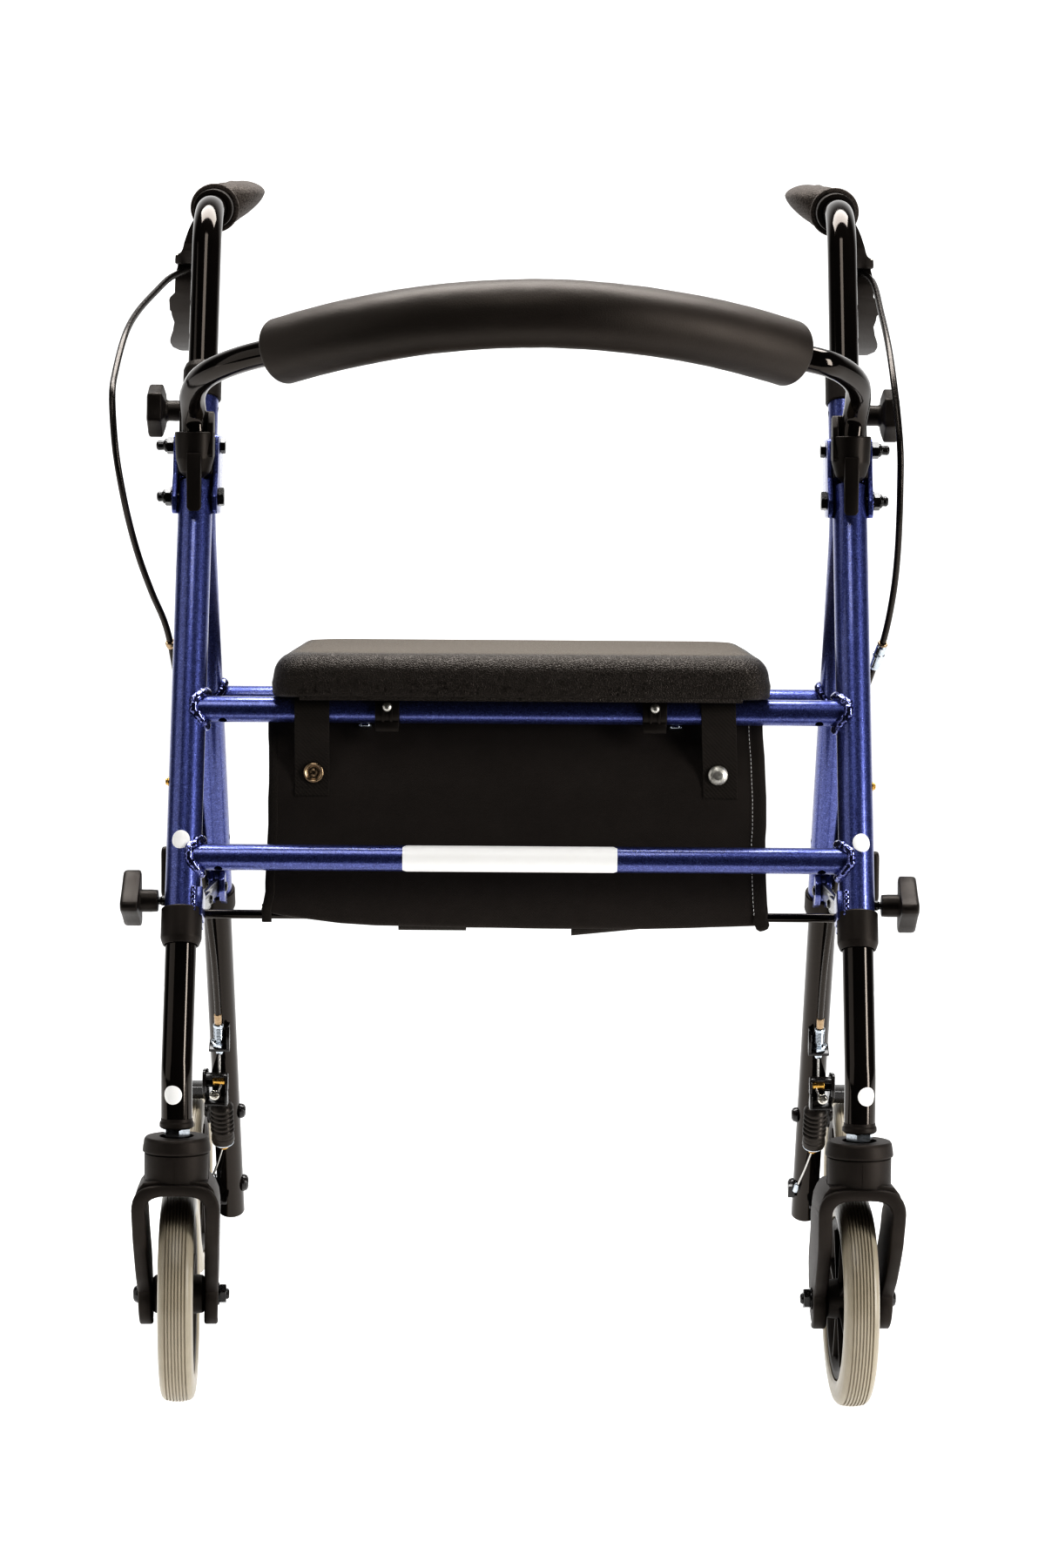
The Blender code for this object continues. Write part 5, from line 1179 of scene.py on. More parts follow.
def knob(kind, base, x_neck, x_hub, x_head, x_end, turn):
    """Clamp knob with a moulded boss and a steel stud; the upper head is six-sided, the others rounded triangles."""
    if kind == "upper":
        corners, r_c, fillet = 6, 0.0203, 0.0022
    else:
        corners, r_c, fillet = 3, 0.0272, 0.0043
    pts = [(r_c * cos(turn + 2 * pi * k / corners), r_c * sin(turn + 2 * pi * k / corners)) for k in range(corners)]
    pts = rounded(pts, fillet, 5)
    dense_pts = []
    for i, p in enumerate(pts):
        q = pts[(i + 1) % len(pts)]
        gap = sqrt((q[0] - p[0]) ** 2 + (q[1] - p[1]) ** 2)
        m = 4 if gap > 0.006 else 1
        for k in range(m):
            f = k / m
            x, y = p[0] + (q[0] - p[0]) * f, p[1] + (q[1] - p[1]) * f
            sag = 1.0 - (0.030 if corners == 6 else 0.045) * 4 * f * (1 - f)
            dense_pts.append((x * sag, y * sag))
    pts = dense_pts
    bm = bmesh.new()
    if kind == "upper":
        rows = [(x_head - 0.0004, 0.40), (x_head, 0.62), (x_head + 0.0020, 0.93), (x_head + 0.0027, 0.985), (x_head + 0.0034, 1.0),
                (x_end - 0.0026, 1.0), (x_end - 0.0014, 0.975), (x_end - 0.0004, 0.86), (x_end, 0.60), (x_end, 0.30)]
    else:
        rows = [(x_head, 0.40), (x_head, 0.90), (x_head + 0.0005, 0.97), (x_head + 0.0016, 1.0), (x_end - 0.0030, 1.0),
                (x_end - 0.0012, 0.980), (x_end - 0.0003, 0.93), (x_end, 0.86), (x_end, 0.55), (x_end - 0.0016, 0.44), (x_end - 0.0018, 0.20)]
    loops = []
    for x, f in rows:
        loops.append([bm.verts.new(Vector((x, base.y + p[0] * f, base.z + p[1] * f))) for p in pts])
    for a, b in zip(loops, loops[1:]):
        skin(bm, a, b)
    bm.faces.new(list(reversed(loops[0])))
    bm.faces.new(loops[-1])
    bmesh.ops.recalc_face_normals(bm, faces=bm.faces[:])
    head = temp(bm)
    if kind == "upper":
        hub = turned(soften([(0.0, x_neck + 0.0006), (0.0074, x_neck + 0.0006), (0.0078, x_hub), (0.0076, x_head - 0.0020),
                             (0.0092, x_head + 0.0012), (0.0, x_head + 0.0012)], [0, 0.0006, 0.003, 0.003, 0, 0], 4), base, AX, 40)
    else:
        hub = turned(soften([(0.0, x_hub - 0.0006), (0.0078, x_hub - 0.0006), (0.0081, x_hub + 0.0040), (0.0081, x_head - 0.0010),
                             (0.0090, x_head + 0.0012), (0.0, x_head + 0.0012)], [0, 0.0006, 0.003, 0.002, 0, 0], 4), base, AX, 40)
    stud = turned(soften([(0.0, TUBE_X + 0.0112), (0.0036, TUBE_X + 0.0112), (0.0036, x_neck + 0.0016), (0.0028, x_neck + 0.0026), (0.0028, x_hub + 0.001),
                          (0.0, x_hub + 0.001)], [0, 0, 0.0004, 0.0004, 0, 0], 3), base, AX, SEG_S)
    return join(head, hub), stud


KNOB_TURNS = {("upper", -1): 38, ("upper", 1): 36, ("lower", -1): 114, ("lower", 1): 120, ("rear", -1): 60, ("rear", 1): 60}


# ---------------------------------------------------------------- telescoping legs and handles
def front_leg():
    path = bend_path([on_front(TUBE_X, s_of(0.524)), on_front(TUBE_X, 0.0), P(TUBE_X, 0.0, 0.2045)], [0.040], 8)
    leg = tube(path, INNER_OD / 2, INNER_ID / 2, SEG)
    for h in (0.300, 0.415, 0.440, 0.465):
        leg = cut(leg, pin(on_front(TUBE_X + 0.004, s_of(h)), on_front(TUBE_X + 0.020, s_of(h)), 0.0032))
    return leg


def front_leg_plug():
    """End plug under the leg tube with a broken edge."""
    prof = soften([(0.0, 0.2044), (0.0108, 0.2044), (0.0122, 0.2056), (0.0121, 0.2084), (0.0113, 0.2096), (0.0112, 0.2118), (0.0, 0.2118)],
                  [0, 0.0006, 0.0006, 0.0008, 0.0006, 0.0004, 0], 3)
    return turned(prof, P(TUBE_X, 0.0, 0.0), AZ, SEG)


def stem_nut():
    base = P(TUBE_X, 0.0, 0.0)
    nut = hexagon(base, AZ, 0.0172, 0.1986, 0.2044, 0.26, 0.14)
    stem = turned([(0.0, 0.1702), (0.0045, 0.1702), (0.0045, 0.2046), (0.0, 0.2046)], base, AZ, SEG_S)
    return group(nut, stem)


def handle_tube():
    path = bend_path([on_handle(TUBE_X, HANDLE_LOW_S), handle_corner(), along_grip(0.450)], [HANDLE_BEND_R], 14)
    ob = tube(path, INNER_OD / 2, INNER_ID / 2, SEG)
    for h in (0.7715, 0.797):
        ob = cut(ob, pin(on_handle(TUBE_X + 0.004, s_of(h)), on_handle(TUBE_X + 0.020, s_of(h)), 0.0032))
    return ob


# ---------------------------------------------------------------- grips
def grip_body():
    """Sleeve with stepped rings at its front, a grooved flange and a closed rounded end."""
    base = along_grip(0.325)
    prof = [(0.01150, 0.0002), (0.0148, 0.0002), (0.0152, 0.0010), (0.0157, 0.0002), (0.0184, 0.0002), (0.0190, 0.0012), (0.0190, 0.0032),
            (0.0183, 0.0046), (0.0176, 0.0052), (0.0172, 0.0060), (0.0158, 0.0072), (0.0153, 0.0090), (0.0155, 0.0120), (0.0160, 0.0300),
            (0.0165, 0.0500), (0.0168, 0.0750), (0.0168, 0.1050), (0.0163, 0.1180), (0.0150, 0.1262), (0.0128, 0.1303), (0.0085, 0.1318),
            (0.0, 0.1322), (0.0, 0.1275), (0.01150, 0.1275)]
    bm_prof = soften(prof, 0.0004, 2, closed=True)
    # the two axis points must stay on the axis
    fixed = []
    for r, z in bm_prof:
        fixed.append((0.0 if r < 2e-4 else r, z))
    body = turned(grip_profile_clean(fixed), base, GRIP_DIR, 56)
    return body


def grip_profile_clean(prof):
    out_p = []
    for p in prof:
        if out_p and abs(out_p[-1][0] - p[0]) < 1e-6 and abs(out_p[-1][1] - p[1]) < 1e-6:
            continue
        out_p.append(p)
    # turned() closes a profile only when both of its ends lie off the axis: start at the outer axis point
    zero = [i for i, p in enumerate(out_p) if p[0] == 0.0]
    top = max(zero, key=lambda i: out_p[i][1])
    low = min(zero, key=lambda i: out_p[i][1])
    ring = out_p[low:] + out_p[:top + 1]
    return ring


WING = [(0.2410, 0.8995), (0.2320, 0.9026), (0.2220, 0.9026), (0.2140, 0.9002), (0.2095, 0.8968), (0.2088, 0.8935), (0.2128, 0.8866),
        (0.2220, 0.8780), (0.2320, 0.8716), (0.2400, 0.8690)]


def grip_wing():
    """Palm wing: lofted sections along the grip that swell inward and fade out at both ends."""
    bm = bmesh.new()
    sections = []
    n = 22
    v0, v1 = 0.3430, 0.4525
    base = curve_loop(WING, 48)
    cx, ch = 0.2385, 0.8850
    for i in range(n):
        f = i / (n - 1)
        v = v0 + (v1 - v0) * f
        if f < 0.5:
            e = sqrt(max(0.0, 1 - (1 - f / 0.5) ** 2.4))
        else:
            e = sqrt(max(0.0, 1 - ((f - 0.5) / 0.5) ** 3.2))
        e = 0.16 + 0.84 * e
        g = 0.62 + 0.38 * min(1.0, e * 1.15)
        rise = (v - 0.398) * tan(GRIP_RISE)
        ring = [bm.verts.new(P(cx + (p.x - cx) * e, v, ch + (p.y - ch) * g + rise)) for p in base]
        sections.append(ring)
    for a, b in zip(sections, sections[1:]):
        skin(bm, a, b)
    bm.faces.new(list(reversed(sections[0])))
    bm.faces.new(sections[-1])
    ob = temp(bm)
    inner = rod([along_grip(0.325) + GRIP_DIR * 0.004, along_grip(0.325) + GRIP_DIR * 0.1275], 0.0130, 40)
    return cut(ob, inner)


# ---------------------------------------------------------------- brake levers
def lever_bracket():
    pv, ph = LEVER_PIVOT
    side = [(0.3070, 0.8680), (0.3063, 0.8480), (0.3100, 0.8420), (0.3180, 0.8330), (0.3320, 0.8330), (pv - 0.0088, ph - 0.0040)]
    for k in range(10):
        q = radians(205 + 130 * k / 9)
        side.append((pv + 0.0090 * cos(q), ph + 0.0090 * sin(q)))
    side += [(pv + 0.0095, ph + 0.0040), (0.3530, 0.8480), (0.3470, 0.8525), (0.3300, 0.8545), (0.3250, 0.8560), (0.3235, 0.8600),
             (0.3235, 0.8680)]
    a = plate(rounded(side, 0.0012, 3), "vh", 0.2380, 0.2800)
    front = curve_loop([(0.2420, 0.8695), (0.2500, 0.8700), (0.2560, 0.8670), (0.2604, 0.8590), (0.2636, 0.8500), (0.2664, 0.8420),
                        (0.2708, 0.8388), (0.2720, 0.8360), (0.2720, 0.8310), (0.2708, 0.8288), (0.2600, 0.8284), (0.2490, 0.8292), (0.2435, 0.8400), (0.2402, 0.8500),
                        (0.2400, 0.8620)], 72)
    b = plate([(p.x, p.y) for p in front], "xh", 0.295, 0.368)
    body = meet(a, b)
    clamp = turned(soften([(0.0, 0.0), (0.0152, 0.0), (0.0152, 0.0166), (0.0, 0.0166)], 0.0011, 4), along_grip(0.3072), GRIP_DIR, 52)
    slot = rod([P(0.2548, pv, ph), P(0.2664, pv, ph)], 0.0086, 32, AZ)
    mouth = plate([(pv - 0.0086, ph), (pv - 0.0086, ph - 0.020), (pv + 0.020, ph - 0.020), (pv + 0.020, ph + 0.0086), (pv, ph + 0.0086)],
                  "vh", 0.2548, 0.2664)
    body = cut(body, slot, mouth)
    body = bevel(body, 0.0007, 2, 40)
    body = join(body, clamp)
    return cut(body, rod([along_grip(0.2950), along_grip(0.3300)], 0.01150, SEG))


def lever_pin():
    pv, ph = LEVER_PIVOT
    return turned(soften([(0.0, 0.2488), (0.0030, 0.2488), (0.0038, 0.2500), (0.0024, 0.2504), (0.0024, 0.2712), (0.0040, 0.2716),
                          (0.0040, 0.2732), (0.0028, 0.2744), (0.0, 0.2747)], 0.0004, 3), P(0, pv, ph), AX, 24)


LEVER_SIDE = [(0.3360, 0.8340), (0.3325, 0.8280), (0.3322, 0.8220), (0.3370, 0.8130), (0.3450, 0.8060), (0.3560, 0.7965), (0.3700, 0.7880),
              (0.3860, 0.7808), (0.4020, 0.7755), (0.4180, 0.7715), (0.4300, 0.7697), (0.4372, 0.7703), (0.4392, 0.7745), (0.4372, 0.7800),
              (0.4250, 0.7842), (0.4100, 0.7900), (0.3970, 0.7957), (0.3850, 0.8030), (0.3755, 0.8110), (0.3680, 0.8200), (0.3630, 0.8280),
              (0.3600, 0.8340)]
LEVER_FRONT = [(0.2714, 0.8340), (0.2728, 0.8270), (0.2737, 0.8200), (0.2744, 0.8114), (0.2785, 0.8080), (0.2794, 0.8062), (0.2797, 0.7985),
               (0.2786, 0.7974), (0.2786, 0.7946), (0.2774, 0.7895), (0.2798, 0.7832), (0.2832, 0.7778), (0.2840, 0.7750), (0.2830, 0.7720),
               (0.2790, 0.7702), (0.2729, 0.7690), (0.2660, 0.7686), (0.2606, 0.7692), (0.2588, 0.7740), (0.2572, 0.7860), (0.2545, 0.8010),
               (0.2512, 0.8190), (0.2500, 0.8340)]


def lever():
    pv, ph = LEVER_PIVOT
    a = plate(LEVER_SIDE, "vh", 0.2450, 0.2900)
    b = plate(LEVER_FRONT, "xh", 0.325, 0.445)
    body = meet(a, b)
    body = cut(body, rod([P(0.2400, pv, ph), P(0.2900, pv, ph)], 0.0097, 40, AZ))
    body = bevel(body, 0.0014, 3, 40)
    eye = rod([P(0.2552, pv, ph), P(0.2660, pv, ph)], 0.0072, 32, AZ)
    neck = plate([(pv - 0.0050, ph - 0.0040), (pv - 0.0030, ph - 0.0160), (pv + 0.0110, ph - 0.0160), (pv + 0.0060, ph - 0.0020)],
                 "vh", 0.2552, 0.2660)
    body = join(body, eye, neck)
    return cut(body, rod([P(0.2500, pv, ph), P(0.2700, pv, ph)], 0.0028, 24, AZ))


# ---------------------------------------------------------------- casters
def caster_place(ob, side):
    ob.data.transform(Matrix.Translation(P(TUBE_X, 0, 0)) @ Matrix.Rotation(CASTER_TURN * side, 4, "Z"))
    return ob


def local(ob):
    ob.data.transform(Matrix.Translation((0, ORIGIN_V, 0)))
    return ob


FORK_FRONT = [(-0.0238, 0.1700), (-0.0236, 0.1600), (-0.0226, 0.1500), (-0.0204, 0.1400), (-0.0158, 0.1250), (-0.0062, 0.1110), (0.0060, 0.0960),
              (0.0221, 0.0823), (0.0213, 0.0740), (0.0232, 0.0665), (0.0275, 0.0606), (0.0335, 0.0572), (0.0400, 0.0562)]


def fork_front(h):
    """How far forward the fork's front edge stands at a height."""
    for (v0, h0), (v1, h1) in zip(FORK_FRONT, FORK_FRONT[1:]):
        if h1 <= h <= h0:
            return v0 + (v1 - v0) * (h0 - h) / (h0 - h1)
    return FORK_FRONT[0][0] if h > FORK_FRONT[0][1] else FORK_FRONT[-1][0]


def fork_rim():
    """Raised band along the fork's front edge: one leg's tip, over the arch, the other leg's tip."""
    stations = []
    hs = [0.0562 + 0.0006 * k for k in range(4)] + [0.0590 + 0.0030 * k for k in range(30)]
    for h in hs:
        f = (h - 0.0562) / 0.0918
        stations.append(((-0.0280 - 0.0030 * f, h), (-0.0183 - 0.0030 * f, h)))
    arch_out = [(-0.03100, 0.1490), (-0.03080, 0.1520), (-0.03010, 0.1554), (-0.02860, 0.1590), (-0.02620, 0.1622), (-0.02300, 0.1646),
                (-0.01900, 0.1660), (-0.01400, 0.1668), (-0.00700, 0.1672), (0.0, 0.1673)]
    arch_in = [(-0.02130, 0.1490), (-0.02115, 0.1503), (-0.02070, 0.1520), (-0.01980, 0.1540), (-0.01830, 0.1558), (-0.01630, 0.1572),
               (-0.01380, 0.1582), (-0.01050, 0.1589), (-0.00560, 0.1592), (0.0, 0.1593)]
    stations += list(zip(arch_out, arch_in))
    stations += [((-a[0], a[1]), (-b[0], b[1])) for a, b in reversed(stations[:-1])]
    bm = bmesh.new()
    loops = []
    for (xo, ho), (xi, hi) in stations:
        w = Vector((xi - xo, hi - ho))
        n = w.normalized()
        ring = []
        for f, d in ((0.0, 0.0030), (0.0, 0.0004), (0.06, -0.0006), (0.14, -0.0010), (0.86, -0.0010), (0.94, -0.0006), (1.0, 0.0004), (1.0, 0.0030)):
            x, h = xo + w.x * f, ho + w.y * f
            v = fork_front(h)
            slope = (fork_front(h + 0.0008) - fork_front(h - 0.0008)) / 0.0016
            k = 1.0 / sqrt(1 + slope * slope)
            ring.append(bm.verts.new(Vector((x, v + d * k, h - d * slope * k))))
        loops.append(ring)
    for a, b in zip(loops, loops[1:]):
        skin(bm, a, b)
    bm.faces.new(list(reversed(loops[0])))
    bm.faces.new(loops[-1])
    bmesh.ops.recalc_face_normals(bm, faces=bm.faces[:])
    return temp(bm)


def fork():
    """Caster fork: crown with a raised front flange, two sloping legs and a round hub under a lipped cap."""
    crown_out = [(-0.0297, 0.138), (-0.0300, 0.1500), (-0.0290, 0.1575), (-0.0265, 0.1635), (-0.0228, 0.1680), (-0.0120, 0.1700),
                 (0.0120, 0.1700), (0.0228, 0.1680), (0.0265, 0.1635), (0.0290, 0.1575), (0.0300, 0.1500), (0.0297, 0.138)]
    crown_in = [(0.0222, 0.138), (0.0216, 0.1490), (0.0198, 0.1540), (0.0165, 0.1570), (0.0120, 0.1584), (-0.0120, 0.1584), (-0.0165, 0.1570),
                (-0.0198, 0.1540), (-0.0216, 0.1490), (-0.0222, 0.138)]
    body = local(bevel(plate(crown_out + crown_in, "xh", -0.0200, 0.0300), 0.0022, 4, 50,
                       lambda e: all(v.co.z > 0.139 for v in e.verts)))
    outline = [(-0.0178, 0.1480), (-0.0176, 0.1400), (-0.0150, 0.1250), (-0.0060, 0.1110), (0.0060, 0.0960)]
    for k in range(15):
        q = radians(165) + radians(210) * k / 14
        outline.append((TRAIL + 0.0185 * cos(q), CASTER_AXLE_H + 0.0205 * sin(q)))
    outline += [(0.0560, 0.1050), (0.0480, 0.1180), (0.0400, 0.1300), (0.0290, 0.1480)]
    outline = [(p.x, p.y) for p in curve_loop(outline, 96)]
    parts = []
    for sgn in (-1, 1):
        leg = local(plate(outline, "vh", 0.0, 1.0))
        bm = bmesh.new()
        bm.from_mesh(leg.data)
        for vert in bm.verts:
            h = vert.co.z
            inner = 0.0192 + 0.0330 * (h - 0.077)
            outer = 0.0278 + 0.0330 * (h - 0.077)
            vert.co.x = sgn * (outer if vert.co.x > 0.5 else inner)
        bmesh.ops.recalc_face_normals(bm, faces=bm.faces[:])
        bm.to_mesh(leg.data)
        bm.free()
        parts.append(bevel(leg, 0.0016, 3, 50))
    boss_l = turned(soften([(0.0, -0.0278), (0.0110, -0.0278), (0.0118, -0.0262), (0.0130, -0.0240), (0.0, -0.0240)], 0.0008, 3),
                    Vector((0, TRAIL, CASTER_AXLE_H)), AX, 40)
    boss_r = turned(soften([(0.0, 0.0240), (0.0130, 0.0240), (0.0118, 0.0262), (0.0110, 0.0278), (0.0, 0.0278)], 0.0008, 3),
                    Vector((0, TRAIL, CASTER_AXLE_H)), AX, 40)
    hub = turned(soften([(0.0, 0.1590), (0.0222, 0.1590), (0.0226, 0.1700), (0.0228, 0.1868), (0.0219, 0.1872), (0.0219, 0.1878),
                         (0.0240, 0.1881), (0.0241, 0.1894), (0.0238, 0.1920), (0.0230, 0.1968), (0.0219, 0.1986), (0.0, 0.1988)],
                        [0, 0.001, 0.001, 0.0003, 0.0002, 0.0002, 0.0006, 0.0006, 0.002, 0.002, 0.0014, 0], 4), Vector((0, 0, 0)), AZ, 72)
    line = block(Vector((0, 0, 0)), AX, AY, AZ, 0.0218, 0.02290, -0.0005, 0.0005, 0.1640, 0.1860)
    line2 = block(Vector((0, 0, 0)), AX, AY, AZ, -0.02290, -0.0218, -0.0005, 0.0005, 0.1640, 0.1860)
    seam_front = block(Vector((0, 0, 0)), AX, AY, AZ, -0.0004, 0.0004, -0.02290, -0.0218, 0.1640, 0.1864)
    body = join(body, hub, *parts)
    body = join(body, boss_l, boss_r)
    body = cut(body,
               turned([(0.0, 0.1540), (0.0049, 0.1540), (0.0049, 0.1950), (0.0122, 0.1950), (0.0122, 0.2050), (0.0, 0.2050)],
                      Vector((0, 0, 0)), AZ, 40),
               pin(Vector((-0.05, TRAIL, CASTER_AXLE_H)), Vector((0.05, TRAIL, CASTER_AXLE_H)), 0.0043, 28))
    return group(body, fork_rim(), line, line2, seam_front)


def caster_axle():
    base = Vector((0, TRAIL, CASTER_AXLE_H))
    shank = turned([(0.0, -0.0345), (0.0040, -0.0345), (0.0040, 0.0290), (0.0, 0.0290)], base, AX, SEG_S)
    head = turned(soften([(0.0, 0.0331), (0.0034, 0.0331), (0.0052, 0.0322), (0.0064, 0.0302), (0.0066, 0.0282), (0.0, 0.0282)][::-1], 0.0006, 3),
                  base, AX, 32)
    washer = turned(soften([(0.0041, -0.0279), (0.0080, -0.0279), (0.0080, -0.0292), (0.0041, -0.0292)], 0.0003, 2, True), base, AX, 36)
    nut = hexagon(base, AX, 0.0128, -0.0340, -0.0293, 0.2)
    end = turned(soften([(0.0, -0.0362), (0.0028, -0.0362), (0.0038, -0.0352), (0.0038, -0.0330), (0.0, -0.0330)], 0.0003, 2), base, AX, 28)
    return group(shank, head, washer, nut, end)


def rim(base, w_hub):
    """Black rim: hub, dished web with eight ribs on both faces, and a bead channel."""
    prof = soften([(0.0044, w_hub), (0.0118, w_hub), (0.0136, w_hub - 0.0018), (0.0150, 0.0046), (0.0460, 0.0036), (0.0505, 0.0084),
                   (0.0530, 0.0104), (0.0570, 0.0108), (0.0583, 0.0100), (0.0583, -0.0100), (0.0570, -0.0108), (0.0530, -0.0104),
                   (0.0505, -0.0084), (0.0460, -0.0036), (0.0150, -0.0046), (0.0136, -w_hub + 0.0018), (0.0118, -w_hub), (0.0044, -w_hub)],
                  0.0012, 3, closed=True)
    body = turned(prof, base, AX, 96)
    ribs = []
    for k in range(8):
        q = 2 * pi * k / 8 + pi / 8
        d = Vector((0, cos(q), sin(q)))
        t = Vector((0, -sin(q), cos(q)))
        ribs.append(brick(base, AX, d, t, -0.0098, 0.0098, 0.0125, 0.0500, -0.0014, 0.0014, 0.0006))
    return join(body, *ribs)


def tyre(base):
    """Solid tyre with a low domed tread, fine grooves all round and rounded shoulders."""
    w = WHEEL_W / 2
    pts = [(0.0590, w - 0.0016), (0.0610, w - 0.0003), (0.0660, w + 0.0001), (0.0705, w - 0.0004), (0.0735, w - 0.0014), (0.0752, w - 0.0030),
           (0.0760, w - 0.0048)]
    prof = soften([pts[0]] + pts[1:-1] + [pts[-1]], 0.001, 2)

    def crown(x):
        return WHEEL_R - 0.00095 * (abs(x) / 0.0077) ** 2.2
    half = [(crown(0.0077) + 0.0001, 0.0078)]
    grooves = [0.0070, 0.0047, 0.0023]
    for g in grooves:
        for x, dip in ((g + 0.00056, 0.0), (g + 0.00036, 0.00115), (g - 0.00036, 0.00115), (g - 0.00056, 0.0)):
            half.append((crown(x) - dip, x))
        half.append((crown(g - 0.00115), g - 0.00115))
    top = prof + half
    mid = [(WHEEL_R, 0.00056), (WHEEL_R - 0.00115, 0.00036), (WHEEL_R - 0.00115, -0.00036), (WHEEL_R, -0.00056)]
    full = top + mid + [(r, -x) for r, x in reversed(top)]
    return turned(full, base, AX, 200)


def out_blend(ob, name, mat, side=1, replaces=(), angle=36):
    """Finishes a piece that is tied to no body: mirrors and cleans the mesh, sets its material and shading, names it
    and bakes its place.
    """
    me = ob.data
    bm = bmesh.new()
    bm.from_mesh(me)
    if side < 0:
        bmesh.ops.scale(bm, vec=(-1, 1, 1), verts=bm.verts[:])
        bmesh.ops.reverse_faces(bm, faces=bm.faces[:])
    bmesh.ops.remove_doubles(bm, verts=bm.verts[:], dist=2e-6)
    bmesh.ops.dissolve_degenerate(bm, edges=bm.edges[:], dist=2e-6)
    bm.to_mesh(me)
    bm.free()
    me.materials.clear()
    me.materials.append(mat)
    me.shade_smooth()
    if angle:
        me.set_sharp_from_angle(angle=radians(angle))
    ob.name = name
    me.name = name
    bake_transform(ob)
    if replaces:
        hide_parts(*([replaces] if isinstance(replaces, str) else replaces))
    return ob


# ---------------------------------------------------------------- rear legs and brakes
T_STOP = t_of(0.2075) - 0.0096


def rear_leg():
    top, low = on_rear(TUBE_X, t_of(0.470)), on_rear(TUBE_X, t_of(0.0515))
    leg = tube([top, low], INNER_OD / 2, INNER_ID / 2, SEG)
    foot = turned(soften([(0.0, -0.0140), (0.0092, -0.0140), (0.0092, 0.0006), (0.0110, 0.0006), (0.0110, 0.0022), (0.0092, 0.0040), (0.0, 0.0040)],
                         0.0008, 3), on_rear(TUBE_X, t_of(0.0515) - 0.0030), DOWN_R, SEG)
    leg = join(leg, foot)
    for h in (0.300, 0.415, 0.440):
        leg = cut(leg, pin(on_rear(TUBE_X + 0.004, t_of(h)), on_rear(TUBE_X + 0.020, t_of(h)), 0.0032))
    return leg


def rear_axle():
    base = on_rear(0, t_of(0.077))
    head = turned(soften([(0.0, 0.2264), (0.0040, 0.2266), (0.0062, 0.2278), (0.0072, 0.2300), (0.0072, 0.2322), (0.0, 0.2322)], 0.0009, 4), base, AX, 36)
    spacer = turned(soften([(0.0041, 0.2535), (0.0072, 0.2535), (0.0072, 0.2560), (0.0060, 0.2572), (0.0060, 0.2594), (0.0041, 0.2594)],
                           0.0004, 2, True), base, AX, 36)
    shank = turned([(0.0, 0.2300), (0.0040, 0.2300), (0.0040, 0.2960), (0.0, 0.2960)], base, AX, SEG_S)
    washer = turned(soften([(0.0041, 0.2903), (0.0082, 0.2903), (0.0082, 0.2917), (0.0041, 0.2917)], 0.0003, 2, True), base, AX, 36)
    nut = hexagon(base, AX, 0.0128, 0.2917, 0.2972, 0.25)
    dome = turned(soften([(0.0, 0.2960), (0.0054, 0.2960), (0.0054, 0.2984), (0.0050, 0.3016), (0.0032, 0.3046), (0.0, AXLE_END_X)], 0.0012, 5), base, AX, 32)
    return group(shank, head, spacer, washer, nut, dome)


def brake_bolt():
    base = P(0, *BRAKE_PIVOT)
    head = turned(soften([(0.0, 0.2262), (0.0034, 0.2264), (0.0054, 0.2276), (0.0062, 0.2296), (0.0062, 0.2318), (0.0, 0.2318)], 0.0008, 4), base, AX, 32)
    shank = turned([(0.0, 0.2300), (0.0030, 0.2300), (0.0030, 0.2590), (0.0, 0.2590)], base, AX, SEG_S)
    end = turned(soften([(0.0, 0.2578), (0.0054, 0.2578), (0.0054, 0.2592), (0.0044, 0.2604), (0.0, 0.2608)], 0.0006, 3), base, AX, 32)
    return group(head, shank, end)


def cable_stop():
    """Bracket that carries the cable adjuster, with its turned-down side flange."""
    stop = brick(on_rear(0, T_STOP), AX, FORE_R, DOWN_R, 0.2358, 0.2522, 0.0095, 0.0240, 0.0, 0.0026, 0.0008)
    side = slab_on_rear([(0.0070, -0.0165), (0.0150, -0.0165), (0.0222, -0.0080), (0.0238, 0.0026), (0.0070, 0.0026)], 0.2352, 0.2378)
    return join(stop, side)


def slab_on_rear(points, x0, x1, edge=0.0006):
    """Plate whose outline is given as (forward of the rear tube's line, down along it from the cable stop)."""
    bm = bmesh.new()
    a = [bm.verts.new(on_rear(x0, T_STOP + q, p)) for p, q in points]
    b = [bm.verts.new(on_rear(x1, T_STOP + q, p)) for p, q in points]
    skin(bm, a, b)
    bm.faces.new(list(reversed(a)))
    bm.faces.new(b)
    return bevel(temp(bm), edge, 2, 40)


def adjuster():
    """Threaded barrel, its thin lock nut under and over the bracket, and the hollow head."""
    base = on_rear(CABLE_X, T_STOP + 0.0, 0.0165)
    up = -DOWN_R
    low = turned(soften([(0.0, -0.0090), (0.0028, -0.0090), (0.0031, -0.0076), (0.0031, 0.0006), (0.0, 0.0006)], 0.0003, 2), base, up, 28)
    nut = hexagon(base, up, 0.0118, 0.0002, 0.0033, 0.2, 0.2)
    prof = [(0.0, 0.0033), (0.0033, 0.0033), (0.0033, 0.0058)]
    barrel = [(0.0036, 0.0060), (0.0042, 0.0066)]
    z = 0.0070
    while z < 0.0190:
        barrel += [(0.00425, z), (0.00395, z + 0.0004), (0.00425, z + 0.0008)]
        z += 0.0012
    barrel += [(0.0042, 0.0200), (0.0036, 0.0210), (0.0, 0.0210)]
    body = turned(prof + barrel, base, up, 32)
    return group(low, nut, body)


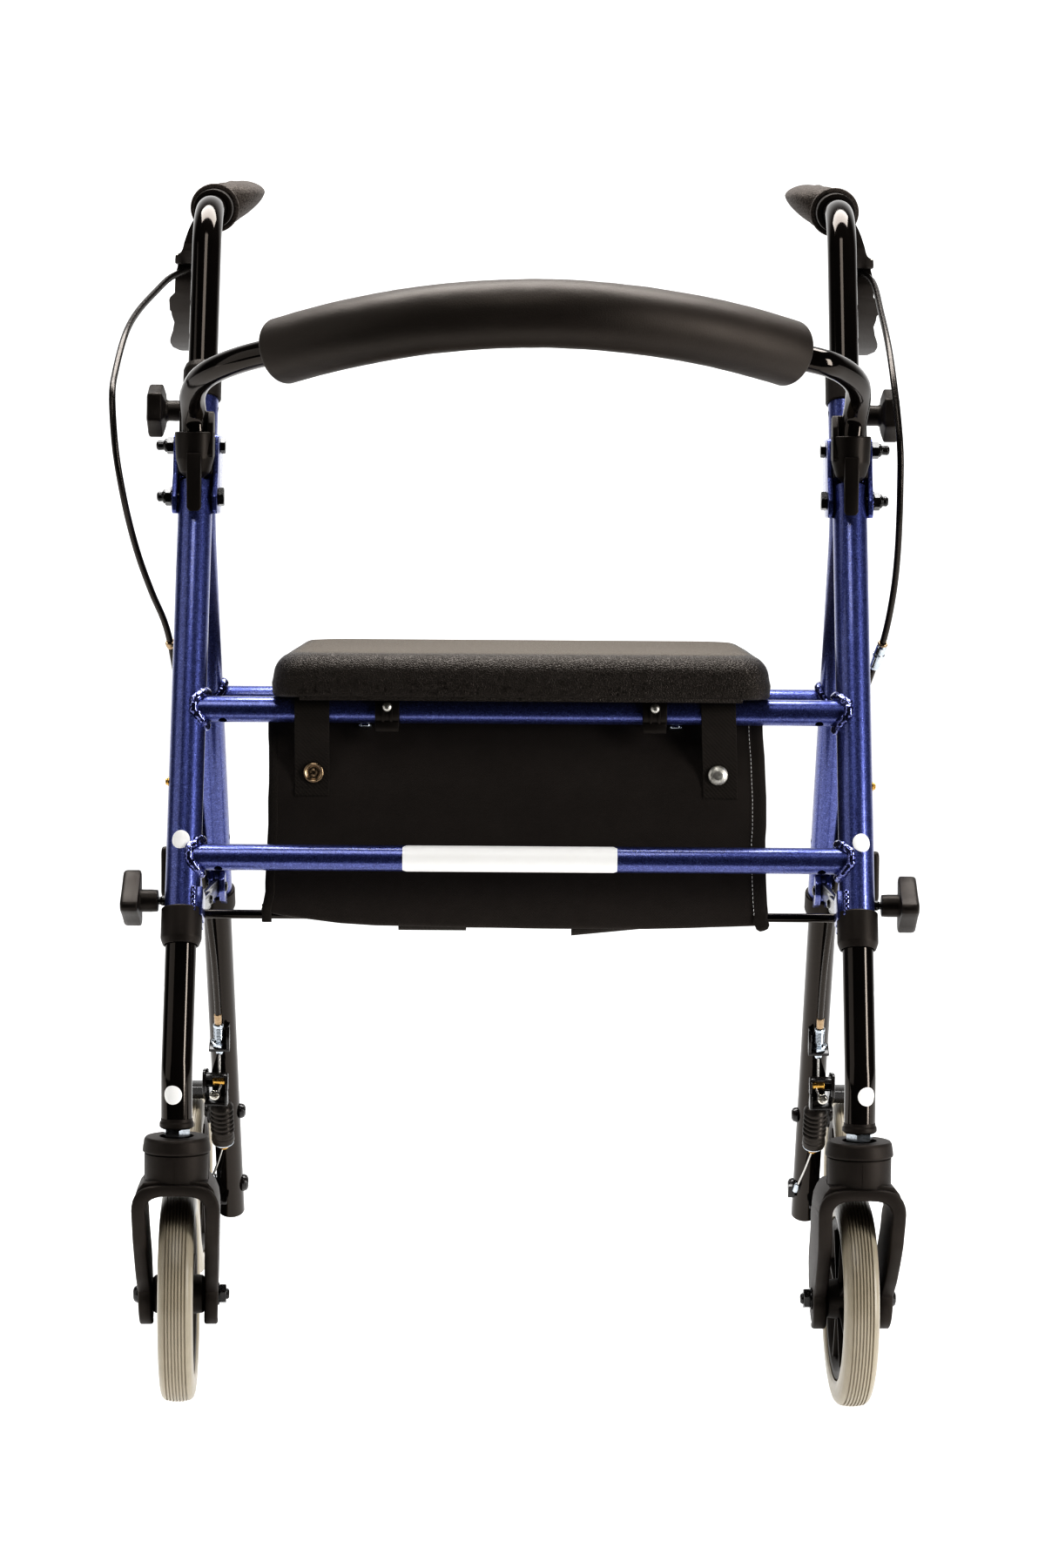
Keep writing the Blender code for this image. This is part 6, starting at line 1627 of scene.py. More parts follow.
def ferrule():
    base = on_rear(CABLE_X, T_STOP, 0.0165)
    return turned(soften([(0.00262, 0.0214), (0.0031, 0.0214), (0.0031, 0.0300), (0.0028, 0.0310), (0.00262, 0.0310)], 0.0002, 2, True),
                  base, -DOWN_R, 28)


def spring_tab():
    return brick(on_rear(0, t_of(0.071)), AX, FORE_R, DOWN_R, 0.2440, 0.2500, 0.0080, 0.0190, -0.0015, 0.0015, 0.0006)


def brake_arm():
    """Side plate, shoe bar and the curved cup at its front end that holds the wire's nipple."""
    v, h = BRAKE_PIVOT
    outline = [(v - 0.009, h - 0.0080), (v + 0.001, h - 0.0100), (v + 0.008, h - 0.0070), (v + 0.0120, h + 0.0050), (v + 0.0200, h + 0.0130),
               (v + 0.0205, h + 0.0210), (v + 0.0150, h + 0.0265), (v + 0.002, h + 0.0255), (v - 0.014, h + 0.0320), (v - 0.030, h + 0.0395),
               (v - 0.045, h + 0.0420), (v - 0.057, h + 0.0415), (v - 0.0598, h + 0.0340), (v - 0.0590, h + 0.0240), (v - 0.048, h + 0.0180),
               (v - 0.036, h + 0.0140), (v - 0.022, h + 0.0085), (v - 0.012, h + 0.0020)]
    outline = [(p.x, p.y) for p in curve_loop(outline, 84)]
    side = slab(outline, "vh", 0.2545, 0.2575, 0.0006)
    q = radians(107)
    outward = Vector((0, cos(q), sin(q)))
    tang = Vector((0, sin(q), -cos(q)))
    r0 = WHEEL_R + 0.0038
    wheel = P(0, rear_v(0.077), 0.077)
    shoe = brick(wheel, AX, outward, tang, 0.2548, 0.2885, r0, r0 + 0.0110, -0.0075, 0.0075, 0.0014)
    # the cup: a plate bent round the nipple, open to the front
    cup = []
    cv, ch = v - 0.0535, h + 0.0330
    for k in range(13):
        a = radians(-60 + 210 * k / 12)
        cup.append((cv + 0.0068 * cos(a), ch + 0.0068 * sin(a)))
    for k in range(13):
        a = radians(150 - 210 * k / 12)
        cup.append((cv + 0.0043 * cos(a), ch + 0.0043 * sin(a)))
    hook = slab(cup, "vh", 0.2372, 0.2575, 0.0005)
    ear_l = slab([(cv - 0.0055, ch - 0.0075), (cv + 0.0060, ch - 0.0075), (cv + 0.0066, ch + 0.0030), (cv + 0.0030, ch + 0.0064),
                  (cv - 0.0040, ch + 0.0060), (cv - 0.0062, ch + 0.0010)], "vh", 0.2368, 0.2388, 0.0005)
    low = slab([(v - 0.0595, h + 0.0130), (v - 0.0400, h + 0.0130), (v - 0.0400, h + 0.0158), (v - 0.0595, h + 0.0158)], "vh", 0.2385, 0.2560, 0.0006)
    wall = slab(rounded([(v - 0.0605, h + 0.0130), (v - 0.0400, h + 0.0130), (v - 0.0430, h + 0.0190), (v - 0.0500, h + 0.0270),
                         (v - 0.0575, h + 0.0290), (v - 0.0605, h + 0.0240)], 0.0015, 3), "vh", 0.2372, 0.2392, 0.0005)
    arm = join(side, shoe, hook, low, wall)
    arm = cut(arm, pin(P(0.25, v, h), P(0.2650, v, h), 0.0034))
    return group(arm, ear_l)


def nipple():
    v, h = BRAKE_PIVOT
    base = P(0, v - 0.0535, h + 0.0330)
    return turned(soften([(0.0, 0.2392), (0.0041, 0.2392), (0.0041, 0.2492), (0.0, 0.2492)], 0.0007, 3), base, AX, 28)


def pull_wire_points():
    v, h = BRAKE_PIVOT
    return on_rear(CABLE_X, T_STOP + 0.0085, 0.0165), P(CABLE_X, v - 0.0535, h + 0.0365)


def pull_wire():
    a, b = pull_wire_points()
    return rod([a, a.lerp(b, 0.25), a.lerp(b, 0.5), a.lerp(b, 0.75), b], 0.00095, 14)


def spring_top():
    return on_rear(CABLE_X, t_of(0.1545) - 0.0130, 0.0226)


def link_wire():
    """Bare wire from the nipple down to the clamp screw over the return spring."""
    v, h = BRAKE_PIVOT
    a = P(CABLE_X - 0.0022, v - 0.0560, h + 0.0310)
    b = P(CABLE_X + 0.0028, v - 0.0590, h + 0.0195)
    return rod([a, a.lerp(b, 0.5), b], 0.0010, 14)


def clamp_screw():
    """Wire clamp screw: slotted pan head facing forward."""
    v, h = BRAKE_PIVOT
    base = P(CABLE_X + 0.0034, v - 0.0592, h + 0.0222)
    head = turned(soften([(0.0, -0.0030), (0.0030, -0.0030), (0.0042, -0.0020), (0.0042, 0.0), (0.0, 0.0)], 0.0007, 3), base, AY, 32, ref=AX)
    shank = turned([(0.0, -0.0004), (0.0020, -0.0004), (0.0020, 0.0060), (0.0, 0.0060)], base, AY, 20, ref=AX)
    slot = block(base, AX, AY, AZ, -0.0045, 0.0045, -0.0034, -0.0018, -0.0005, 0.0005)
    return group(cut(head, slot), shank)


def boot():
    """Ribbed rubber boot over the return spring."""
    base = spring_top()
    prof = [(0.0, -0.0050), (0.0040, -0.0050), (0.0046, -0.0020), (0.0072, -0.0008), (0.0086, 0.0006)]
    for k in range(6):
        z = 0.0012 + 0.0046 * k
        prof += [(0.0093, z + 0.0006), (0.0098, z + 0.0014), (0.0098, z + 0.0022), (0.0092, z + 0.0030), (0.0082, z + 0.0036), (0.0082, z + 0.0042)]
    prof += [(0.0088, 0.0296), (0.0092, 0.0312), (0.0092, 0.0322), (0.0, 0.0322)]
    return turned(prof, base, DOWN_R, 40)


def boot_cap():
    base = spring_top()
    return turned(soften([(0.0, 0.0323), (0.0094, 0.0323), (0.0095, 0.0372), (0.0082, 0.0386), (0.0, 0.0386)], 0.0007, 3), base, DOWN_R, 40)


def boot_edge():
    base = spring_top()
    return turned(soften([(0.0080, 0.0385), (0.0088, 0.0385), (0.0090, 0.0393), (0.0080, 0.0397)], 0.0002, 2, True), base, DOWN_R, 40)


def spring_end():
    """Brass threaded end under the cap."""
    base = spring_top()
    prof = [(0.0, 0.0384), (0.0048, 0.0384), (0.0048, 0.0398)]
    z = 0.0400
    while z < 0.0440:
        prof += [(0.0045, z), (0.0040, z + 0.0004), (0.0045, z + 0.0008)]
        z += 0.0010
    prof += [(0.0042, 0.0448), (0.0028, 0.0456), (0.0, 0.0456)]
    return turned(prof, base, DOWN_R, 32)


def tail_points(side):
    """The bare wire's ends; it leans to the same side on both legs."""
    a = spring_top() + DOWN_R * 0.0450
    c = on_rear(0.2332, t_of(0.0823), 0.0095) if side > 0 else on_rear(0.2565, t_of(0.0868), 0.0085)
    return a, c


def tail_wire(side):
    """Bare wire from the spring down to the tab on the leg."""
    a, c = tail_points(side)
    m = a.lerp(c, 0.5) + FORE_R * 0.0012
    return rod(smooth_path([a - DOWN_R * 0.002, m, c], 0.005), 0.0010, 14)


def tail_ferrule(side):
    a, c = tail_points(side)
    d = (c - a).normalized()
    return turned(soften([(0.0, -0.0062), (0.0018, -0.0062), (0.0022, -0.0050), (0.0027, -0.0030), (0.0027, 0.0030), (0.0020, 0.0045), (0.0, 0.0045)],
                         0.0004, 3), c, d, 28)


def tail_tab(side):
    """Small steel tab at the leg's side that holds the ferrule."""
    base = on_rear(0.0, t_of(0.0775), 0.0)
    x0, x1 = (0.2266, 0.2325) if side > 0 else (0.2515, 0.2590)
    return brick(base, AX, FORE_R, DOWN_R, x0, x1, 0.0010, 0.0085, -0.0060, 0.0060, 0.0006)


# ---------------------------------------------------------------- brake cables
CABLE_LOW = [(0.2620, 0.2450, 0.5000), (0.2570, 0.2720, 0.4500), (0.2520, 0.2990, 0.4000), (0.2495, 0.3220, 0.3560),
             (0.2478, 0.3370, 0.3260), (0.2450, 0.3590, 0.2860)]
CABLE_R = [(0.2623, 0.3300, 0.8290), (0.2743, 0.3060, 0.8215), (0.2830, 0.2760, 0.8090), (0.2939, 0.2350, 0.7900), (0.2990, 0.2000, 0.7720),
           (0.3026, 0.1620, 0.7420), (0.3025, 0.1420, 0.7276), (0.3011, 0.1330, 0.7083), (0.2986, 0.1300, 0.6828),
           (0.2951, 0.1370, 0.6573), (0.2909, 0.1500, 0.6317), (0.2854, 0.1670, 0.6059), (0.2779, 0.1880, 0.5795),
           (0.2690, 0.2120, 0.5520)]
CABLE_L = [(0.2635, 0.3300, 0.8300), (0.2702, 0.3050, 0.8220), (0.2730, 0.2550, 0.7946), (0.2749, 0.2100, 0.7663),
           (0.2762, 0.1800, 0.7392), (0.2779, 0.1630, 0.7130), (0.2794, 0.1550, 0.6871), (0.2798, 0.1570, 0.6615),
           (0.2802, 0.1650, 0.6357), (0.2804, 0.1780, 0.6097), (0.2792, 0.1920, 0.5833), (0.2746, 0.2130, 0.5480)]


def cable_path(side):
    pts = [P(*p) for p in (CABLE_R if side < 0 else CABLE_L) + CABLE_LOW]
    end = on_rear(CABLE_X, T_STOP + 0.0032 - 0.0248, 0.0165)
    pts += [end - DOWN_R * 0.022, end]
    return smooth_path(pts, 0.008)


def cable_length(side):
    path = cable_path(side)
    return sum((b - a).length for a, b in zip(path, path[1:]))


# ---------------------------------------------------------------- backrest
PAD_X0, PAD_X1 = -0.1740, 0.1920


def pad_point(x):
    return P(x, -0.018 + 0.0740 * (x / 0.186) ** 2, 0.779 - 0.0255 * ((x - 0.012) / 0.186) ** 2)


def back_bar():
    """Bent bar: straight out of the pad on both sides, round bend, down into the sockets; the bends differ a little."""
    right = [P(0.2420, 0.1400, 0.6700), P(0.2425, 0.1400, 0.7000), P(0.2440, 0.1385, 0.7120), P(0.2450, 0.1330, 0.7200), P(0.2448, 0.1240, 0.7278),
             P(0.2430, 0.1110, 0.7348), P(0.2365, 0.0960, 0.7412), P(0.2270, 0.0820, 0.7462), P(0.2160, 0.0700, 0.7497)]
    left = [P(-0.2420, 0.1400, 0.6700), P(-0.2418, 0.1400, 0.7000), P(-0.2420, 0.1375, 0.7110), P(-0.2424, 0.1290, 0.7200), P(-0.2408, 0.1180, 0.7266),
            P(-0.2354, 0.1030, 0.7344), P(-0.2250, 0.0860, 0.7410), P(-0.2074, 0.0690, 0.7474), P(-0.1868, 0.0545, 0.7525)]
    inside = [pad_point(0.196 - 0.0125 * k) for k in range(30)]
    inside = [p for p in inside if p.x > -0.168]
    return rod(smooth_path(right + inside + left[::-1], 0.006), BACK_BAR_R, 36, AY)


def pad():
    """Foam sleeve with rounded ends and a slightly uneven surface."""
    n = 74
    xs = [PAD_X0 + (PAD_X1 - PAD_X0) * k / n for k in range(n + 1)]
    pts = [pad_point(x) for x in xs]
    d0, d1 = (pts[1] - pts[0]).normalized(), (pts[-2] - pts[-1]).normalized()
    lip = []
    for k in range(9):
        q = (pi / 2) * k / 8
        lip.append((0.0042 * (1 - cos(q)), 0.0042 * sin(q)))
    path = [pts[0] + d0 * a for a, _ in lip] + pts[2:-2] + [pts[-1] + d1 * a for a, _ in reversed(lip)]
    radii = [PAD_R - 0.0042 + r for _, r in lip] + [PAD_R] * len(pts[2:-2]) + [PAD_R - 0.0042 + r for _, r in reversed(lip)]
    bm = bmesh.new()
    outer = rings(bm, path, radii, 72, AY)
    inner_path = [path[0] + d0 * 0.0] + pts[2:-2] + [path[-1]]
    inner = rings(bm, inner_path, [BACK_BAR_R + 0.0018] + [BACK_BAR_R + 0.0006] * len(pts[2:-2]) + [BACK_BAR_R + 0.0018], 72, AY)
    for a, b in zip(outer, outer[1:]):
        skin(bm, a, b)
    for a, b in zip(inner, inner[1:]):
        skin(bm, b, a)
    skin(bm, inner[0], outer[0])
    skin(bm, outer[-1], inner[-1])
    ob = temp(bm)
    for vert in ob.data.vertices:
        x = vert.co.x
        c = pad_point(x)
        off = vert.co - c
        rad = Vector((0, off.y, off.z))
        if rad.length > BACK_BAR_R + 0.004:
            f = 0.00045 * noise.noise(Vector((x * 14, vert.co.y * 20, vert.co.z * 20))) + 0.0002 * noise.noise(vert.co * 90)
            vert.co = vert.co + rad.normalized() * (f - 0.0002)
    return ob


# ---------------------------------------------------------------- seat
def superpoint(x0, x1, v0, v1, r, n_corner, side_steps):
    """Rectangle outline with rounded corners, the same number of points for every size."""
    pts = []
    corners = [(x1 - r, v0 + r, -pi / 2), (x1 - r, v1 - r, 0.0), (x0 + r, v1 - r, pi / 2), (x0 + r, v0 + r, pi)]
    for i, (cx, cv, a0) in enumerate(corners):
        for k in range(n_corner + 1):
            q = a0 + (pi / 2) * k / n_corner
            pts.append((cx + r * cos(q), cv + r * sin(q)))
        nx, nv, na = corners[(i + 1) % 4]
        start = pts[-1]
        stop = (nx + r * cos(na), nv + r * sin(na))
        for k in range(1, side_steps):
            f = k / side_steps
            pts.append((start[0] + (stop[0] - start[0]) * f, start[1] + (stop[1] - start[1]) * f))
    return pts


def seat_block():
    """Moulded seat lofted from outlines: small lower edge, slightly tapered sides, large roll at the top, faint crown."""
    bm = bmesh.new()
    rows = []
    # (height, inset, corner radius)
    rows.append((SEAT_H0 + 0.0002, 0.0060, 0.016))
    for k in range(5):
        q = (pi / 2) * k / 4
        rows.append((SEAT_H0 + 0.0030 * (1 - cos(q)), 0.0032 - 0.0032 * sin(q) + 0.0004, 0.0205))
    rows.append((SEAT_H0 + 0.0100, 0.0000, 0.0212))
    rows.append((SEAT_H1 - 0.0190, 0.0008, 0.0218))
    roll = 0.0168
    for k in range(1, 14):
        q = (pi / 2) * k / 13
        rows.append((SEAT_H1 - 0.0006 - roll * (1 - sin(q)), 0.0012 + 0.0168 * (1 - cos(q)), 0.0225))
    rows.append((SEAT_H1 - 0.0003, 0.0215, 0.0228))
    rows.append((SEAT_H1 - 0.0001, 0.0320, 0.0230))
    rows.append((SEAT_H1, 0.0600, 0.0240))
    rows.append((SEAT_H1, 0.1100, 0.0240))
    n_c, n_s = 10, 22
    loops = []
    for h, inset, r in rows:
        o = superpoint(-SEAT_X + inset, SEAT_X - inset, SEAT_V0 + inset, SEAT_V1 - inset, r, n_c, n_s)
        ring = []
        for x, v in o:
            hh = h
            f = (h - SEAT_H0) / (SEAT_H1 - SEAT_H0)
            if 0.05 < f < 0.97:
                hh += 0.0004 * noise.noise(Vector((x * 9, v * 9, 0.0)))
            ring.append(bm.verts.new(P(x, v, min(hh, SEAT_H1))))
        loops.append(ring)
    for a, b in zip(loops, loops[1:]):
        skin(bm, a, b)
    bm.faces.new(list(reversed(loops[0])))
    bm.faces.new(loops[-1])
    return temp(bm)


def seat_lip():
    """Thin foot of the moulding under its front edge."""
    return slab(rounded([(SEAT_V0 + 0.0012, 0.5052), (SEAT_V0 + 0.0120, 0.5052), (SEAT_V0 + 0.0140, 0.5110), (SEAT_V0 + 0.0012, 0.5110)],
                        0.001, 2), "vh", -SEAT_X + 0.021, SEAT_X - 0.021, 0.0006)


def seat_clip(x):
    """Snap clip round the cross tube: ribbed front, slot mouth below, and the block that joins it to the seat."""
    v, h = SEAT_BAR
    ring = []
    n = 30
    a0, a1 = radians(-62), radians(242)
    outer = [(v + 0.0132 * cos(a0 + (a1 - a0) * k / n), h + 0.0132 * sin(a0 + (a1 - a0) * k / n)) for k in range(n + 1)]
    inner = [(v + 0.0100 * cos(a1 - (a1 - a0) * k / n), h + 0.0100 * sin(a1 - (a1 - a0) * k / n)) for k in range(n + 1)]
    body = slab(outer + inner, "vh", x - 0.0088, x + 0.0088, 0.0007)
    lip = slab([(v - 0.0112, h - 0.0068), (v - 0.0072, h - 0.0100), (v - 0.0078, h - 0.0150), (v - 0.0104, h - 0.0152), (v - 0.0122, h - 0.0100)],
               "vh", x - 0.0084, x + 0.0084, 0.0006)
    body = join(body, lip)
    top = slab([(v - 0.0105, h + 0.0080), (v - 0.0105, SEAT_H0 + 0.003), (v + 0.0350, SEAT_H0 + 0.003), (v + 0.0350, h + 0.0065),
                (v + 0.0080, h + 0.0104)], "vh", x - 0.0086, x + 0.0086, 0.0006)
    cutter = rod([P(x - 0.03, v, h), P(x + 0.03, v, h)], 0.0100, 40, AZ)
    top = cut(top, cutter)
    ribs = []
    for k in (-1, 1):
        xr = x + k * 0.0030
        arc = []
        b0, b1 = radians(140), radians(238)
        for j in range(13):
            q = b0 + (b1 - b0) * j / 12
            arc.append((v + 0.0141 * cos(q), h + 0.0141 * sin(q)))
        for j in range(13):
            q = b1 - (b1 - b0) * j / 12
            arc.append((v + 0.0126 * cos(q), h + 0.0126 * sin(q)))
        ribs.append(slab(arc, "vh", xr - 0.0010, xr + 0.0010, 0.0004))
    return group(join(body, top), *ribs)


def clip_screw(x):
    base = P(x, SEAT_BAR[0] - 0.0136, SEAT_BAR[1] + 0.0030)
    head = turned(soften([(0.0, -0.0024), (0.0016, -0.0022), (0.0030, -0.0012), (0.0037, 0.0002), (0.0037, 0.0012), (0.0, 0.0012)],
                         [0, 0.001, 0.001, 0.0004, 0.0003, 0], 3), base, AY, 32, ref=AX)
    return head


# ---------------------------------------------------------------- pouch
def between(table, x):
    """Straight-line value of a table of (place, value) pairs."""
    if x <= table[0][0]:
        return table[0][1]
    for (a, fa), (b, fb) in zip(table, table[1:]):
        if x <= b:
            return fa + (fb - fa) * (x - a) / (b - a)
    return table[-1][1]


def ease(a, b, x):
    t = min(max((x - a) / (b - a), 0.0), 1.0)
    return t * t * (3 - 2 * t)


POUCH_LEFT = [(0.345, -0.1850), (0.353, -0.1862), (0.358, -0.1850), (0.366, -0.1836), (0.373, -0.1838), (0.403, -0.1828), (0.414, -0.1824),
              (0.432, -0.1828), (0.443, -0.1824), (0.455, -0.1826), (0.470, -0.1830), (0.477, -0.1836), (0.497, -0.1840)]
POUCH_RIGHT = [(0.345, 0.1780), (0.353, 0.1790), (0.361, 0.1783), (0.376, 0.1777), (0.405, 0.1773), (0.415, 0.1781), (0.435, 0.1782),
               (0.450, 0.1776), (0.465, 0.1771), (0.472, 0.1765), (0.480, 0.1759), (0.497, 0.1755)]
POUCH_LOW = [(-0.187, 0.3528), (-0.174, 0.3500), (-0.162, 0.3483), (-0.149, 0.3465), (-0.130, 0.3440), (-0.105, 0.3426), (-0.036, 0.3418),
             (0.002, 0.3414), (0.090, 0.3414), (0.128, 0.3427), (0.153, 0.3435), (0.166, 0.3441), (0.180, 0.3448)]
STRAP_X = (-0.1516, 0.1429)
FRONT_TOP, FRONT_FOOT = (0.1058, 0.4965), (0.0668, 0.3590)


def pouch_front(x, h):
    """How far back the front panel lies: a sloping sheet that hangs full between the straps and is drawn forward at them."""
    f = (h - FRONT_FOOT[1]) / (FRONT_TOP[1] - FRONT_FOOT[1])
    v = FRONT_FOOT[0] + (FRONT_TOP[0] - FRONT_FOOT[0]) * f
    for sx in STRAP_X:
        v -= 0.0030 * ease(0.050, 0.006, abs(x - sx)) * ease(0.400, 0.440, h)
    belly = sin(pi * min(max(f, 0.0), 1.0))
    v += 0.0016 * belly * (noise.noise(Vector((x * 9, h * 12, 0.7))) + 0.6 * noise.noise(Vector((x * 24, h * 30, 2.7))))
    v -= 0.0012 * belly * ease(0.0, 0.12, 0.18 - abs(x))
    return v


def pouch():
    """Open-topped cloth pouch: front panel, a fold that hangs in front of the rod, bottom over the rod, back, and two side gussets."""
    nx = 96
    n_panel, n_floor = 44, 34
    xs = []
    for j in range(nx + 1):
        u = j / nx
        xs.append(u)
    rows = []
    for i in range(n_panel + 1):
        f = i / n_panel
        h = FRONT_TOP[1] + (FRONT_FOOT[1] - FRONT_TOP[1]) * f
        row = []
        for u in xs:
            xl, xr = between(POUCH_LEFT, h), between(POUCH_RIGHT, h)
            x = xl + (xr - xl) * u
            hh = h
            if i == 0:
                hh = h - 0.0012 + 0.0008 * sin(x * 40)
            row.append(P(x, pouch_front(x, hh), hh))
        rows.append(row)

    def across(u, h):
        xl, xr = between(POUCH_LEFT, h), between(POUCH_RIGHT, h)
        return xl + (xr - xl) * u
    fold = []
    for u in xs:
        x = across(u, 0.352)
        low = between(POUCH_LOW, x)
        low += 0.0004 * noise.noise(Vector((x * 22, 0.3, 0.9)))
        drop = max(0.3546 - low, 0.0012)
        fv, bv = 0.0658, 0.0686
        col = [(fv + 0.0002 + (0.0008 if drop < 0.006 else 0.0), 0.3590 - 0.4 * (0.3590 - (low + 0.4 * drop))),
               (fv, low + 0.40 * drop), (fv + 0.0001, low + 0.16 * drop), (fv + 0.0005, low + 0.05 * drop), (0.5 * (fv + bv), low),
               (bv - 0.0004, low + 0.05 * drop), (bv, low + 0.16 * drop), (bv, low + 0.5 * drop), (bv + 0.0003, low + 0.8 * drop),
               (bv + 0.0016, 0.3544), (0.0735, 0.3550)]
        fold.append([P(x, v, h) for v, h in col])
    for k in range(len(fold[0])):
        rows.append([fold[j][k] for j in range(nx + 1)])
    e_row = len(rows) - 1
    for i in range(1, n_floor + 1):
        f = i / n_floor
        v = 0.0735 + (0.2335 - 0.0735) * f
        row = []
        for u in xs:
            x = across(u, 0.353)
            sag = 0.0006 * noise.noise(Vector((x * 12, v * 14, 5.0)))
            row.append(P(x, v, 0.3551 + sag))
        rows.append(row)
    for v, h in ((0.2368, 0.3560), (0.2395, 0.3584), (0.2415, 0.3615), (0.2430, 0.3655)):
        rows.append([P(across(u, h), v, h) for u in xs])
    back_low = len(rows)
    for i in range(n_panel + 1):
        f = i / n_panel
        h = 0.3690 + (0.4965 - 0.3690) * f
        row = []
        for u in xs:
            x = across(u, h)
            bow = 0.0012 * noise.noise(Vector((x * 11, h * 13, 8.0))) * sin(pi * f)
            row.append(P(x, 0.2436 + bow - 0.0008 * f, h))
        rows.append(row)

    bm = bmesh.new()
    grid = [[bm.verts.new(p) for p in row] for row in rows]
    for a, b in zip(grid, grid[1:]):
        for j in range(nx):
            bm.faces.new((a[j], a[j + 1], b[j + 1], b[j]))
    # gussets: the front edge (top to foot) against the back edge, and the floor's end
    for j, way in ((0, -1), (nx, 1)):
        front = [grid[i][j] for i in range(n_panel + 1)]
        back = [grid[back_low + n_panel - i][j] for i in range(n_panel + 1)]
        floor = [grid[e_row + i][j] for i in range(n_floor + 1)]
        corner = [grid[e_row + n_floor + 1 + i][j] for i in range(4)]
        n_in = 18
        table_rows = []
        for i in range(n_panel + 1):
            a, b = front[i].co.copy(), back[i].co.copy()
            f = i / n_panel
            inner = []
            for k in range(1, n_in):
                g = k / n_in
                p = a.lerp(b, g)
                pull = 0.0070 * sin(pi * g) * (0.55 + 0.45 * (1 - f)) * (1 - 0.75 * ease(0.75, 1.0, f))
                p.x -= way * (pull + 0.0012 * noise.noise(Vector((g * 5, f * 5, way * 3.0))))
                inner.append(bm.verts.new(p))
            table_rows.append([front[i]] + inner + [back[i]])
        for a, b in zip(table_rows, table_rows[1:]):
            for k in range(n_in):
                quad = (a[k], b[k], b[k + 1], a[k + 1])
                bm.faces.new(quad if way < 0 else tuple(reversed(quad)))
        last = table_rows[-1]
        # closing strip between the lowest gusset row and the floor's end
        lower = [last[0]] + [grid[n_panel + 1 + k][j] for k in range(len(fold[0]))]
        chain = lower + floor[1:] + corner
        upper = last
        # walk both chains and join them with triangles
        ia = ib = 0
        while ia < len(chain) - 1 or ib < len(upper) - 1:
            take_a = False
            if ib >= len(upper) - 1:
                take_a = True
            elif ia < len(chain) - 1:
                take_a = chain[ia + 1].co.y - upper[ib + 1].co.y < 0 or (chain[ia + 1].co.y <= upper[ib].co.y)
            if take_a:
                tri = (upper[ib], chain[ia], chain[ia + 1])
                ia += 1
            else:
                tri = (upper[ib], chain[ia], upper[ib + 1])
                ib += 1
            if len(set(tri)) == 3:
                try:
                    bm.faces.new(tri if way < 0 else tuple(reversed(tri)))
                except ValueError:
                    pass
    bmesh.ops.recalc_face_normals(bm, faces=bm.faces[:])
    ob = temp(bm)
    mod = ob.modifiers.new("thick", "SOLIDIFY")
    mod.thickness = 0.0011
    mod.offset = 0.0
    mod.use_even_offset = False
    bpy.context.view_layer.update()
    me = bpy.data.meshes.new_from_object(ob.evaluated_get(bpy.context.evaluated_depsgraph_get()))
    ob.modifiers.clear()
    old = ob.data
    ob.data = me
    bpy.data.meshes.remove(old)
    return ob


def ribbon(points, width, thick, x_mid, shift=None, skew=None, edge=0.0003):
    """Flat band: its path runs in the vertical plane and its width lies along X. shift moves the path's places sideways."""
    bm = bmesh.new()
    loops = []
    n = len(points)
    for i, (v, h) in enumerate(points):
        a = Vector(points[max(i - 1, 0)])
        b = Vector(points[min(i + 1, n - 1)])
        d = (b - a).normalized()
        nv, nh = -d.y, d.x
        w = width[i] if isinstance(width, (list, tuple)) else width
        dx = shift[i] if shift else 0.0
        ring = []
        for sx, sn in ((-1, -1), (-1, 1), (1, 1), (1, -1)):
            for cx, cn in (((w / 2 - edge) * sx, thick / 2 * sn), (w / 2 * sx, (thick / 2 - edge) * sn)) if sx * sn > 0 else \
                    (((w / 2) * sx, (thick / 2 - edge) * sn), ((w / 2 - edge) * sx, thick / 2 * sn)):
                sk = (skew[i] * (cx / w) if skew else 0.0)
                ring.append(bm.verts.new(P(x_mid + dx + cx, v + nv * cn + d.x * sk, h + nh * cn + d.y * sk)))
        loops.append(ring)
    for a, b in zip(loops, loops[1:]):
        skin(bm, a, b)
    bm.faces.new(list(reversed(loops[0])))
    bm.faces.new(loops[-1])
    return temp(bm)


def dense(points, step):
    pts = smooth_path([(0.0, p[0], p[1]) for p in points], step)
    return [(p.y, p.z) for p in pts]


def strap(x_mid, drift):
    """Webbing strap: from inside the pouch up behind the seat's cross tube, over it and down the pouch's front."""
    v, h = SEAT_BAR
    r = CROSS_OD / 2 + 0.0008
    arc = [(v + r * cos(radians(a)), h + r * sin(radians(a))) for a in range(-20, 191, 10)]
    path = [(0.1085, 0.4550), (0.1080, 0.4680), (0.1060, 0.4820)] + arc + [(0.0824, 0.4850), (0.0842, 0.4740), (0.0859, 0.4640),
                                                                      (0.0870, 0.4560), (0.0872, 0.4500), (0.0866, 0.4430), (0.0856, 0.4352)]
    path = dense(path, 0.0022)
    n = len(path)
    shift = [drift * ease(0.45, 1.0, i / (n - 1)) for i in range(n)]
    return ribbon(path, 0.0252, 0.0013, x_mid, shift)


def strap_end(x_mid, drift):
    """Turned-under end of a strap, one layer thicker."""
    path = dense([(0.0863, 0.4400), (0.0857, 0.4380), (0.0852, 0.4352), (0.0853, 0.4346)], 0.0008)
    return ribbon([(v - 0.0006, h) for v, h in path], 0.0250, 0.0012, x_mid + drift)


